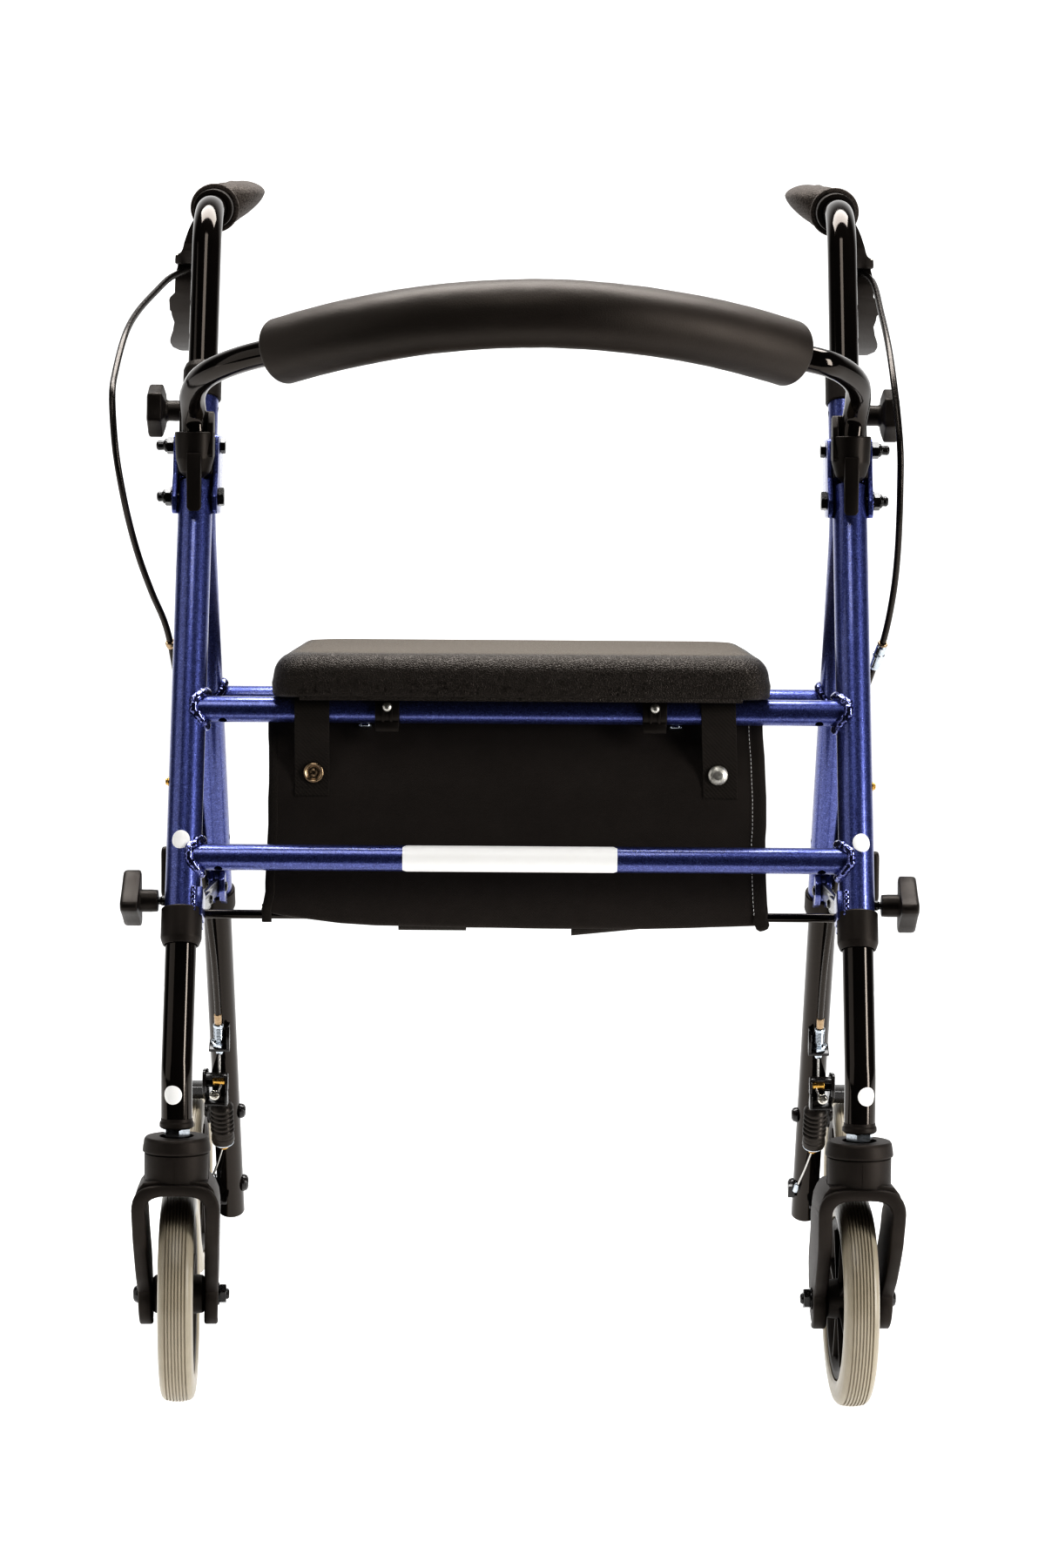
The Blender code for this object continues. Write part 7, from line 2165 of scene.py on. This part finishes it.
def snap(x, h, dome):
    base = P(x, 0.0869, h)
    axis = Vector((0, -1, 0.02)).normalized()
    if dome:
        prof = [(0.0, 0.0004), (0.0068, 0.0004), (0.0074, 0.0012), (0.0070, 0.0022), (0.0056, 0.0034), (0.0034, 0.0042), (0.0, 0.0045)]
    else:
        prof = [(0.0, 0.0004), (0.0066, 0.0004), (0.0074, 0.0014), (0.0072, 0.0026), (0.0062, 0.0031), (0.0052, 0.0024), (0.0044, 0.0014),
                (0.0030, 0.0012), (0.0014, 0.0018), (0.0, 0.0019)]
    return turned(soften(prof, 0.0005, 3), base, axis, 48)


def rivet(x):
    """Flat rivet head in the pouch's top edge under the cross tube."""
    axis = Vector((0, -0.34, -0.94)).normalized()
    prof = soften([(0.0, -0.0012), (0.0050, -0.0012), (0.0056, -0.0004), (0.0050, 0.0010), (0.0028, 0.0018), (0.0, 0.0019)], [0, 0.0004, 0.0004, 0.0008, 0.001, 0], 3)
    return turned(prof, P(x, 0.0985, 0.4846), axis, 32, ref=AX)


def binding(side):
    """Folded tape over a front edge of the pouch, from the top to a small bulb at the bottom."""
    table = POUCH_RIGHT if side > 0 else POUCH_LEFT
    bm = bmesh.new()
    loops = []
    w = 0.0105 if side > 0 else 0.0070
    hs = [0.4955 - (0.4955 - 0.3445) * k / 70 for k in range(71)]
    for k, h in enumerate(hs):
        xe = between(table, max(h, 0.350)) + side * 0.0006
        inner = xe - side * w
        fv = pouch_front(xe, max(h, 0.360)) if h > 0.3590 else 0.0658
        bulge = ease(0.3560, 0.3470, h) * 0.0010 if side > 0 else 0.0
        low = h
        front = fv - 0.0014 - bulge
        pts = [(inner, fv - 0.0007), (inner + side * 0.0006, front), (inner + side * w * 0.5, front - 0.0003), (xe - side * 0.0016, front),
               (xe, fv - 0.0004), (xe + side * 0.0001, fv + 0.0020), (xe - side * 0.0006, fv + 0.0050), (xe - side * 0.0012, fv + 0.0050),
               (xe - side * 0.0010, fv + 0.0012), (xe - side * 0.0022, fv - 0.0007)]
        loops.append([bm.verts.new(P(x, v, low)) for x, v in pts])
    for a, b in zip(loops, loops[1:]):
        skin(bm, a, b)
    bm.faces.new(list(reversed(loops[0])))
    bm.faces.new(loops[-1])
    return temp(bm)


def bulb():
    """Gathered end of the right binding."""
    base = P(0.1752, 0.0652, 0.3452)
    ob = turned(soften([(0.0, -0.0050), (0.0034, -0.0044), (0.0052, -0.0016), (0.0050, 0.0024), (0.0030, 0.0046), (0.0, 0.0050)], 0.0014, 4),
                base, Vector((0.35, 0, -1)), 28)
    ob.data.transform(Matrix.Translation(base) @ Matrix.Diagonal((1.0, 0.42, 1.0, 1.0)) @ Matrix.Translation(-base))
    return ob


def stitch_row():
    """Pale sewing line along the inner edge of the right binding."""
    bm = bmesh.new()
    h = 0.4900
    while h > 0.3520:
        x = between(POUCH_RIGHT, h) - 0.0096
        v = (pouch_front(x, h) if h > 0.3590 else 0.0658) - 0.00175
        a = P(x, v, h)
        b = P(x + 0.00005, (pouch_front(x, h - 0.0022) if h > 0.3612 else 0.0658) - 0.00175, h - 0.0022)
        ls = rings(bm, [a, a.lerp(b, 0.5) + Vector((0, -0.00012, 0)), b], [0.00008, 0.00022, 0.00008], 6)
        for p, q in zip(ls, ls[1:]):
            skin(bm, p, q)
        bm.faces.new(list(reversed(ls[0])))
        bm.faces.new(ls[-1])
        h -= 0.0029
    return temp(bm)


def top_hem():
    """Rolled hem along the pouch's open top edge at the front and the back."""
    parts = []
    for back in (0, 1):
        pts = []
        for k in range(61):
            u = k / 60
            x = between(POUCH_LEFT, 0.4960) * (1 - u) + between(POUCH_RIGHT, 0.4960) * u
            if back:
                pts.append(P(x, 0.2428, 0.4962))
            else:
                pts.append(P(x, pouch_front(x, 0.4950) + 0.0002, 0.4950 + 0.0008 * sin(x * 40)))
        parts.append(rod(pts, 0.0012, 10))
    return group(*parts)


def tab(x0, x1, h0, h1):
    """Webbing loop that holds the pouch's bottom to the cross rod."""
    bm = bmesh.new()
    n = 20
    loops = []
    for i in range(n + 1):
        f = i / n
        x = x0 + (x1 - x0) * f
        low = h0 + (h1 - h0) * f
        v, h = ROD
        outer, inner = [], []
        for q in [180 + 180 * k / 14 for k in range(15)]:
            c, sn = cos(radians(q)), sin(radians(q))
            outer.append((v + 0.00440 * c, 0.3440 + (0.3440 - low) * sn))
            inner.append((v + 0.00355 * c, 0.3440 + (0.3440 - low - 0.0009) * sn))
        pts = [(v - 0.00440, 0.3520)] + outer + [(v + 0.00440, 0.3538), (v + 0.00355, 0.3538)] + list(reversed(inner)) + [(v - 0.00355, 0.3520)]
        loops.append([bm.verts.new(P(x, a, b)) for a, b in pts])
    for a, b in zip(loops, loops[1:]):
        skin(bm, a, b)
    bm.faces.new(list(reversed(loops[0])))
    bm.faces.new(loops[-1])
    return temp(bm)


# ---------------------------------------------------------------- blank label and stickers
def band(x0, x1, v, h, r, a0, a1, thick=0.00016):
    """Thin sheet lying on a cross tube, with rounded corners."""
    bm = bmesh.new()
    nx, na = 60, 40
    grid = []
    rc = 0.0030
    for i in range(nx + 1):
        col = []
        x = x0 + (x1 - x0) * i / nx
        e = min(x - x0, x1 - x)
        pinch = 0.0
        if e < rc:
            pinch = rc - sqrt(max(0.0, rc * rc - (rc - e) ** 2))
        for k in range(na + 1):
            a = a0 + (a1 - a0) * k / na
            lim = pinch / r
            a = max(a0 + lim, min(a1 - lim, a))
            col.append((x, a))
        grid.append(col)
    outer = [[bm.verts.new(P(x, v - (r + thick) * cos(a), h + (r + thick) * sin(a))) for x, a in col] for col in grid]
    inner = [[bm.verts.new(P(x, v - (r + 0.00002) * cos(a), h + (r + 0.00002) * sin(a))) for x, a in col] for col in grid]
    for i in range(nx):
        for k in range(na):
            bm.faces.new((outer[i][k], outer[i + 1][k], outer[i + 1][k + 1], outer[i][k + 1]))
            bm.faces.new((inner[i][k], inner[i][k + 1], inner[i + 1][k + 1], inner[i + 1][k]))
    for i in range(nx):
        bm.faces.new((outer[i][0], inner[i][0], inner[i + 1][0], outer[i + 1][0]))
        bm.faces.new((outer[i][na], outer[i + 1][na], inner[i + 1][na], inner[i][na]))
    for k in range(na):
        bm.faces.new((outer[0][k], outer[0][k + 1], inner[0][k + 1], inner[0][k]))
        bm.faces.new((outer[nx][k], inner[nx][k], inner[nx][k + 1], outer[nx][k + 1]))
    return temp(bm)


def sticker(centre, up, fore, r_tube, off, radius=0.0068):
    """Round blank sticker lying on the front of a tube. off is its shift across the tube."""
    bm = bmesh.new()
    n = 40

    def at(dx, dz, lift):
        a = (off + dx) / r_tube
        return centre + up * dz + AX * ((r_tube + lift) * sin(a)) + fore * ((r_tube + lift) * cos(a))
    levels = [0.0, 0.35, 0.7, 0.96, 1.0]
    top = []
    for f in levels:
        lift = 0.00016 if f < 0.99 else 0.00010
        if f == 0.0:
            top.append([bm.verts.new(at(0, 0, lift))])
        else:
            top.append([bm.verts.new(at(radius * f * cos(2 * pi * k / n), radius * f * sin(2 * pi * k / n), lift)) for k in range(n)])
    low = [bm.verts.new(at(radius * cos(2 * pi * k / n), radius * sin(2 * pi * k / n), 0.00002)) for k in range(n)]
    low_c = bm.verts.new(at(0, 0, 0.00002))
    for k in range(n):
        j = (k + 1) % n
        bm.faces.new((top[0][0], top[1][k], top[1][j]))
        for a, b in zip(top[1:], top[2:]):
            bm.faces.new((a[k], b[k], b[j], a[j]))
        bm.faces.new((top[-1][k], low[k], low[j], top[-1][j]))
        bm.faces.new((low[k], low_c, low[j]))
    return temp(bm)


# ---------------------------------------------------------------- both sides
for side, tag in SIDES:
    seed = 11.0 if side < 0 else 37.0
    # rear frame
    out(rear_tube(), "main_tube" + tag, "rear_frame", "blue_paint", BLUE, side, "rear_tube" + tag)
    out(rear_welds(seed), "rear_weld" + tag, "rear_frame", "blue_paint", WELD, side)
    out(plate_welds(seed), "plate_weld" + tag, "rear_frame", "blue_paint", WELD, side)
    out(rear_bush(), "rear_bush" + tag, "rear_frame", "black_plastic", PLASTIC, side)
    out(handle_collar(), "handle_bush" + tag, "rear_frame", "black_plastic", PLASTIC, side, "handle_collar" + tag)
    out(group(pivot_bolt(), socket_bolt()), "hinge_bolts" + tag, "rear_frame", "black_steel", STEEL, side, "pivot_bolt" + tag)
    out(socket(), "bar_socket" + tag, "rear_frame", "black_plastic", SATIN, side, "backrest_socket" + tag)
    out(stay_pin(), "stay_pin" + tag, "rear_frame", "black_steel", STEEL, side)
    # front frame
    out(front_tube(), "front_upright" + tag, "front_frame", "blue_paint", BLUE, side, "front_tube" + tag)
    out(front_welds(seed + 5), "front_weld" + tag, "front_frame", "blue_paint", WELD, side)
    out(front_collar(), "front_bush" + tag, "front_frame", "black_plastic", PLASTIC, side, "front_collar" + tag)
    out(brass_button(), "snap_button" + tag, "front_frame", None, BRASS, side)
    # stays
    out(stay(True), "stay_front_bar" + tag, "stay_front" + tag, "black_steel", STEEL, side, "brace_front" + tag)
    out(stay(False), "stay_rear_bar" + tag, "stay_rear" + tag, "black_steel", STEEL, side, "brace_rear" + tag)
    # knobs
    for name, base, xs in (("upper", on_handle(0, s_of(0.7155)), (0.2549, 0.2605, 0.2685, 0.2822)),
                           ("lower", on_front(0, s_of(0.3615)), (0.2549, 0.2600, 0.2720, 0.2848)),
                           ("rear", on_rear(0, t_of(0.355)), (0.2549, 0.2600, 0.2710, 0.2839))):
        head, stud = knob(name, base, *xs, radians(180 - KNOB_TURNS[(name, side)]))
        out(head, name + "_knob_head" + tag, name + "_knob" + tag, "black_plastic", SATIN, side, name + "_knob" + tag)
        out(stud, name + "_knob_stud" + tag, name + "_knob" + tag, "black_steel", STEEL, side)
    # front legs and casters
    out(front_leg(), "front_leg_tube" + tag, "front_leg" + tag, "gloss_black", BLACK, side, "front_leg" + tag)
    out(front_leg_plug(), "front_leg_plug" + tag, "front_leg" + tag, "black_plastic", PLASTIC, side)
    out(stem_nut(), "stem_nut" + tag, "front_leg" + tag, None, ZINC, side)
    out(caster_place(fork(), side), "fork" + tag, "caster" + tag, "black_plastic", FORK, side, "caster_fork" + tag)
    out(caster_place(caster_axle(), side), "caster_bolt" + tag, "caster" + tag, "black_steel", STEEL, side, "caster_axle" + tag)
    hub = Vector((0, TRAIL, CASTER_AXLE_H))
    out(caster_place(rim(hub, 0.0188), side), "front_rim" + tag, "caster_wheel" + tag, "black_plastic", PLASTIC, side, "caster_rim" + tag)
    out(caster_place(tyre(hub), side), "front_tyre" + tag, "caster_wheel" + tag, "tread", TREAD, side, "caster_tyre" + tag)
    # rear legs, wheels and brakes
    wheel = P(REAR_WHEEL_X, rear_v(0.077), 0.077)
    leg = "rear_leg" + tag
    out(rim(wheel, 0.0146), "rear_rim_disc" + tag, "rear_wheel" + tag, "black_plastic", PLASTIC, side, "rear_rim" + tag)
    out(tyre(wheel), "rear_tyre_ring" + tag, "rear_wheel" + tag, "tread", TREAD, side, "rear_tyre" + tag)
    out(rear_leg(), "rear_leg_tube" + tag, leg, "gloss_black", BLACK, side, "rear_leg" + tag)
    out(rear_axle(), "rear_axle_bolt" + tag, leg, "black_steel", STEEL, side)
    out(brake_bolt(), "brake_bolt" + tag, leg, "black_steel", STEEL, side)
    out(cable_stop(), "cable_stop" + tag, leg, "black_steel", STEEL, side)
    out(adjuster(), "cable_adjuster" + tag, leg, None, ZINC, side)
    out(ferrule(), "cable_ferrule" + tag, leg, None, BRONZE, side)
    out(spring_tab(), "spring_tab" + tag, leg, "black_steel", STEEL, side)
    out(tail_ferrule(side), "tail_ferrule" + tag, leg, None, ZINC, side)
    out(tail_tab(side), "tail_tab" + tag, leg, "black_steel", STEEL, side)
    arm = "brake_arm" + tag
    out(brake_arm(), "brake_arm_plate" + tag, arm, "black_steel", STEEL, side, "brake_arm" + tag)
    out(nipple(), "wire_nipple" + tag, arm, None, BRASS, side)
    out(link_wire(), "link_wire" + tag, arm, None, WIRE, side)
    out(clamp_screw(), "clamp_screw" + tag, arm, None, NICKEL, side)
    out_blend(pull_wire(), "pull_wire" + tag, WIRE, side)
    out_blend(boot(), "spring_boot" + tag, BOOT, side, "brake_spring" + tag)
    out_blend(boot_cap(), "boot_cap" + tag, BOOT, side)
    out_blend(boot_edge(), "boot_edge" + tag, ZINC, side)
    out_blend(spring_end(), "spring_end" + tag, BRASS, side)
    out_blend(tail_wire(side), "tail_wire" + tag, WIRE, side)
    # handle, grip and brake lever
    hand = "handle" + tag
    out(handle_tube(), "handle_bar" + tag, hand, "gloss_black", BLACK, side, "handle_tube" + tag)
    out(grip_body(), "grip_sleeve" + tag, hand, "soft_grip", GRIP, side, "grip" + tag)
    out(grip_wing(), "grip_wing" + tag, hand, "soft_grip", GRIP, side)
    out(lever_bracket(), "lever_clamp" + tag, hand, "black_plastic", SATIN, side, "lever_bracket" + tag)
    out(lever_pin(), "lever_pin" + tag, hand, None, NICKEL, side)
    out(lever(), "brake_lever_blade" + tag, "lever" + tag, "black_plastic", SATIN, side, "lever" + tag)
    # brake cable in two lengths, split where its run from the handle meets its run down the rear leg
    route = cable_path(side)
    k = min(range(len(route)), key=lambda i: (route[i] - P(*((0.2690, 0.2120, 0.5520) if side < 0 else (0.2746, 0.2130, 0.5480)))).length)
    upper, lower = route[:k + 1], route[k:]
    out_blend(rod(upper, 0.0025, 20), "cable_upper" + tag, CABLE, side, "brake_cable" + tag)
    out_blend(rod(lower, 0.0025, 20), "cable_lower" + tag, CABLE, side)
    # sleeve where the two lengths meet
    j = min(k + 2, len(route) - 2)
    d = (route[j + 1] - route[j - 1]).normalized()
    base = route[j]
    if side > 0:
        sleeve = turned(soften([(0.00262, -0.0100), (0.0033, -0.0100), (0.0036, -0.0088), (0.0040, -0.0080), (0.0040, -0.0020), (0.0046, -0.0016),
                                (0.0046, 0.0006), (0.0040, 0.0010), (0.0036, 0.0110), (0.0028, 0.0130), (0.00262, 0.0130)], 0.0004, 2, True), base, d, 32)
        out(sleeve, "cable_sleeve" + tag, "rear_frame", None, ZINC, side)
        ring = turned(soften([(0.00262, -0.0122), (0.0036, -0.0122), (0.0040, -0.0112), (0.0040, -0.0102), (0.00262, -0.0102)], 0.0003, 2, True), base, d, 32)
        out(ring, "cable_sleeve_ring" + tag, "rear_frame", None, BRONZE, side)
    else:
        ring = turned(soften([(0.00262, -0.0020), (0.0034, -0.0020), (0.0038, -0.0008), (0.0038, 0.0016), (0.0032, 0.0040), (0.00262, 0.0040)], 0.0003, 2, True),
                      base, d, 32)
        out(ring, "cable_sleeve_ring" + tag, "rear_frame", None, BRONZE, side)

# ---------------------------------------------------------------- backrest, seat and pouch
out(back_bar(), "back_bar", "backrest", "gloss_black", BLACK, 1, "backrest_bar")
foam = out(pad(), "back_pad", "backrest", "foam_skin", FOAM, 1, "backrest_pad")
cushion = out(seat_block(), "seat_cushion", "seat", "seat_skin", SEAT, 1, "seat")
out(seat_lip(), "seat_lip", "seat", "seat_skin", SEAT)
for x, tag in ((-0.097, "_r"), (0.097, "_l")):
    out(seat_clip(x), "seat_clip" + tag, "seat", "black_plastic", SATIN)
    out(clip_screw(x), "clip_screw" + tag, "seat", None, SATIN_NICKEL)

bag = out(pouch(), "pouch_bag", "front_frame", "pouch_cloth", CLOTH, 1, "pouch", angle=60)
trims = [out(binding(1), "pouch_binding_l", "front_frame", None, BINDING), out(binding(-1), "pouch_binding_r", "front_frame", None, BINDING),
         out(bulb(), "pouch_binding_end", "front_frame", None, BINDING), out(top_hem(), "pouch_hem", "front_frame", None, BINDING),
         out(stitch_row(), "pouch_stitches", "front_frame", None, LABEL),
         out(tab(-0.0879, -0.0388, 0.3382, 0.3382), "pouch_loop_r", "front_frame", None, WEBBING),
         out(tab(0.0375, 0.0865, 0.3350, 0.3400), "pouch_loop_l", "front_frame", None, WEBBING)]
straps = []
for x, tag, drift, dome in ((STRAP_X[0], "_r", 0.0, False), (STRAP_X[1], "_l", 0.0022, True)):
    s = out(strap(x, drift), "pouch_strap" + tag, "front_frame", None, WEBBING)
    straps.append(s)
    trims.append(out(strap_end(x, drift), "pouch_strap_end" + tag, "front_frame", None, WEBBING))
    trims.append(out(snap(x + (0.0012 if tag == "_r" else 0.0005), 0.4515, dome), "pouch_snap" + tag, "front_frame", None, SATIN_NICKEL if dome else BRONZE))
    trims.append(out(rivet(-0.1139 if tag == "_r" else 0.1129), "pouch_rivet" + tag, "front_frame", None, ZINC))
for ob in [bag] + trims + straps:
    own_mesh(ob)

# ---------------------------------------------------------------- blank label and stickers
out(band(-0.0844, 0.0698, *LOWER_BAR, CROSS_OD / 2, radians(-76), radians(78)), "blank_label", "front_frame", None, LABEL)
for x, h, tag in ((-0.2436, 0.4013, "_r"), (0.2452, 0.4022, "_l")):
    sgn = -1 if x < 0 else 1
    out(sticker(on_front(sgn * TUBE_X, s_of(h), 0.0), UP_F, -BACK_F, TUBE_OD / 2, x - sgn * TUBE_X), "blank_sticker_tube" + tag, "front_frame", None, LABEL)
for x, h, tag in ((-0.2440, 0.2293, "_r"), (0.2462, 0.2315, "_l")):
    sgn = -1 if x < 0 else 1
    out(sticker(P(sgn * TUBE_X, 0.0, h), AZ, -AY, INNER_OD / 2, x - sgn * TUBE_X), "blank_sticker_leg" + tag, "front_leg" + tag, None, LABEL)


# ---------------------------------------------------------------- floor, light and surroundings
FLOOR_EDGE = -0.72      # the pale floor ends just outside the picture, in front of the object


def floor():
    bm = bmesh.new()
    s = 14.0
    vs = [bm.verts.new((x, y, 0.0)) for x, y in ((-s, FLOOR_EDGE), (s, FLOOR_EDGE), (s, s), (-s, s))]
    bm.faces.new(vs)
    ob = temp(bm)
    ob.name = "floor"
    mat = bpy.data.materials.new("pale_floor")
    mat.use_nodes = True
    nt = mat.node_tree
    bsdf = nt.nodes["Principled BSDF"]
    bsdf.inputs["Base Color"].default_value = (0.42, 0.42, 0.42, 1)
    bsdf.inputs["Roughness"].default_value = 0.85
    bsdf.inputs["Specular IOR Level"].default_value = 0.0
    bsdf.inputs["Emission Color"].default_value = (1, 1, 1, 1)
    bsdf.inputs["Emission Strength"].default_value = 0.72
    ob.data.materials.append(mat)
    ob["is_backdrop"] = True
    return ob


floor()


def softbox(name, place, target, w, h, power, colour=(1, 1, 1)):
    data = bpy.data.lights.new(name, "AREA")
    data.shape = "RECTANGLE"
    data.size, data.size_y = w, h
    data.energy = power
    data.color = colour
    ob = bpy.data.objects.new(name, data)
    shelf.objects.link(ob)
    d = (Vector(target) - Vector(place)).normalized()
    ob.matrix_world = Matrix.Translation(place) @ d.to_track_quat("-Z", "Y").to_matrix().to_4x4()
    return ob


def aimed(azimuth, distance, z, target, *args, name="softbox", power=10.0):
    """A softbox at an azimuth from the object's front (positive to its left side), at a height."""
    q = radians(azimuth)
    softbox(name, (distance * sin(q), -0.1 - distance * cos(q), z), target, *args, power)


aimed(58, 2.5, 0.70, (0, 0, 0.50), 0.55, 1.7, name="key_softbox", power=32)
aimed(-66, 2.3, 1.10, (0, 0, 0.50), 1.7, 1.9, name="fill_softbox", power=8)
softbox("front_top_softbox", (-0.25, -2.0, 2.9), (0, 0, 0.60), 1.0, 1.3, 15)
softbox("top_softbox", (0, 0.35, 2.5), (0, 0.0, 0.4), 2.6, 0.9, 70)

world = bpy.data.worlds.new("white_surround")
scene.world = world
world.use_nodes = True
nt = world.node_tree
nt.nodes.clear()
w_out = nt.nodes.new("ShaderNodeOutputWorld")
path_n = nt.nodes.new("ShaderNodeLightPath")
coord = nt.nodes.new("ShaderNodeTexCoord")
sep = nt.nodes.new("ShaderNodeSeparateXYZ")
nt.links.new(coord.outputs["Generated"], sep.inputs[0])
ramp = nt.nodes.new("ShaderNodeMapRange")
ramp.inputs["From Min"].default_value = 0.35
ramp.inputs["From Max"].default_value = 0.92
ramp.inputs["To Min"].default_value = 0.0
ramp.inputs["To Max"].default_value = 1.0
ramp.interpolation_type = "SMOOTHSTEP"
nt.links.new(sep.outputs["Y"], ramp.inputs["Value"])
seen = nt.nodes.new("ShaderNodeBackground")
seen.inputs["Color"].default_value = (1, 1, 1, 1)
seen.inputs["Strength"].default_value = 1.02
unseen = nt.nodes.new("ShaderNodeBackground")
unseen.inputs["Color"].default_value = (1, 1, 1, 1)
nt.links.new(ramp.outputs["Result"], unseen.inputs["Strength"])
mix = nt.nodes.new("ShaderNodeMixShader")
nt.links.new(path_n.outputs["Is Camera Ray"], mix.inputs[0])
nt.links.new(unseen.outputs[0], mix.inputs[1])
nt.links.new(seen.outputs[0], mix.inputs[2])
nt.links.new(mix.outputs[0], w_out.inputs["Surface"])

scene.view_settings.view_transform = "Standard"
scene.view_settings.look = "High Contrast"
scene.view_settings.exposure = 0.0
scene.render.film_transparent = False

bpy.context.view_layer.update()
({"at_load": CAD_BOX, "at_finish": [[float(c) for c in p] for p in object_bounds()],
           "cable_length_r": round(cable_length(-1), 4), "cable_length_l": round(cable_length(1), 4)})
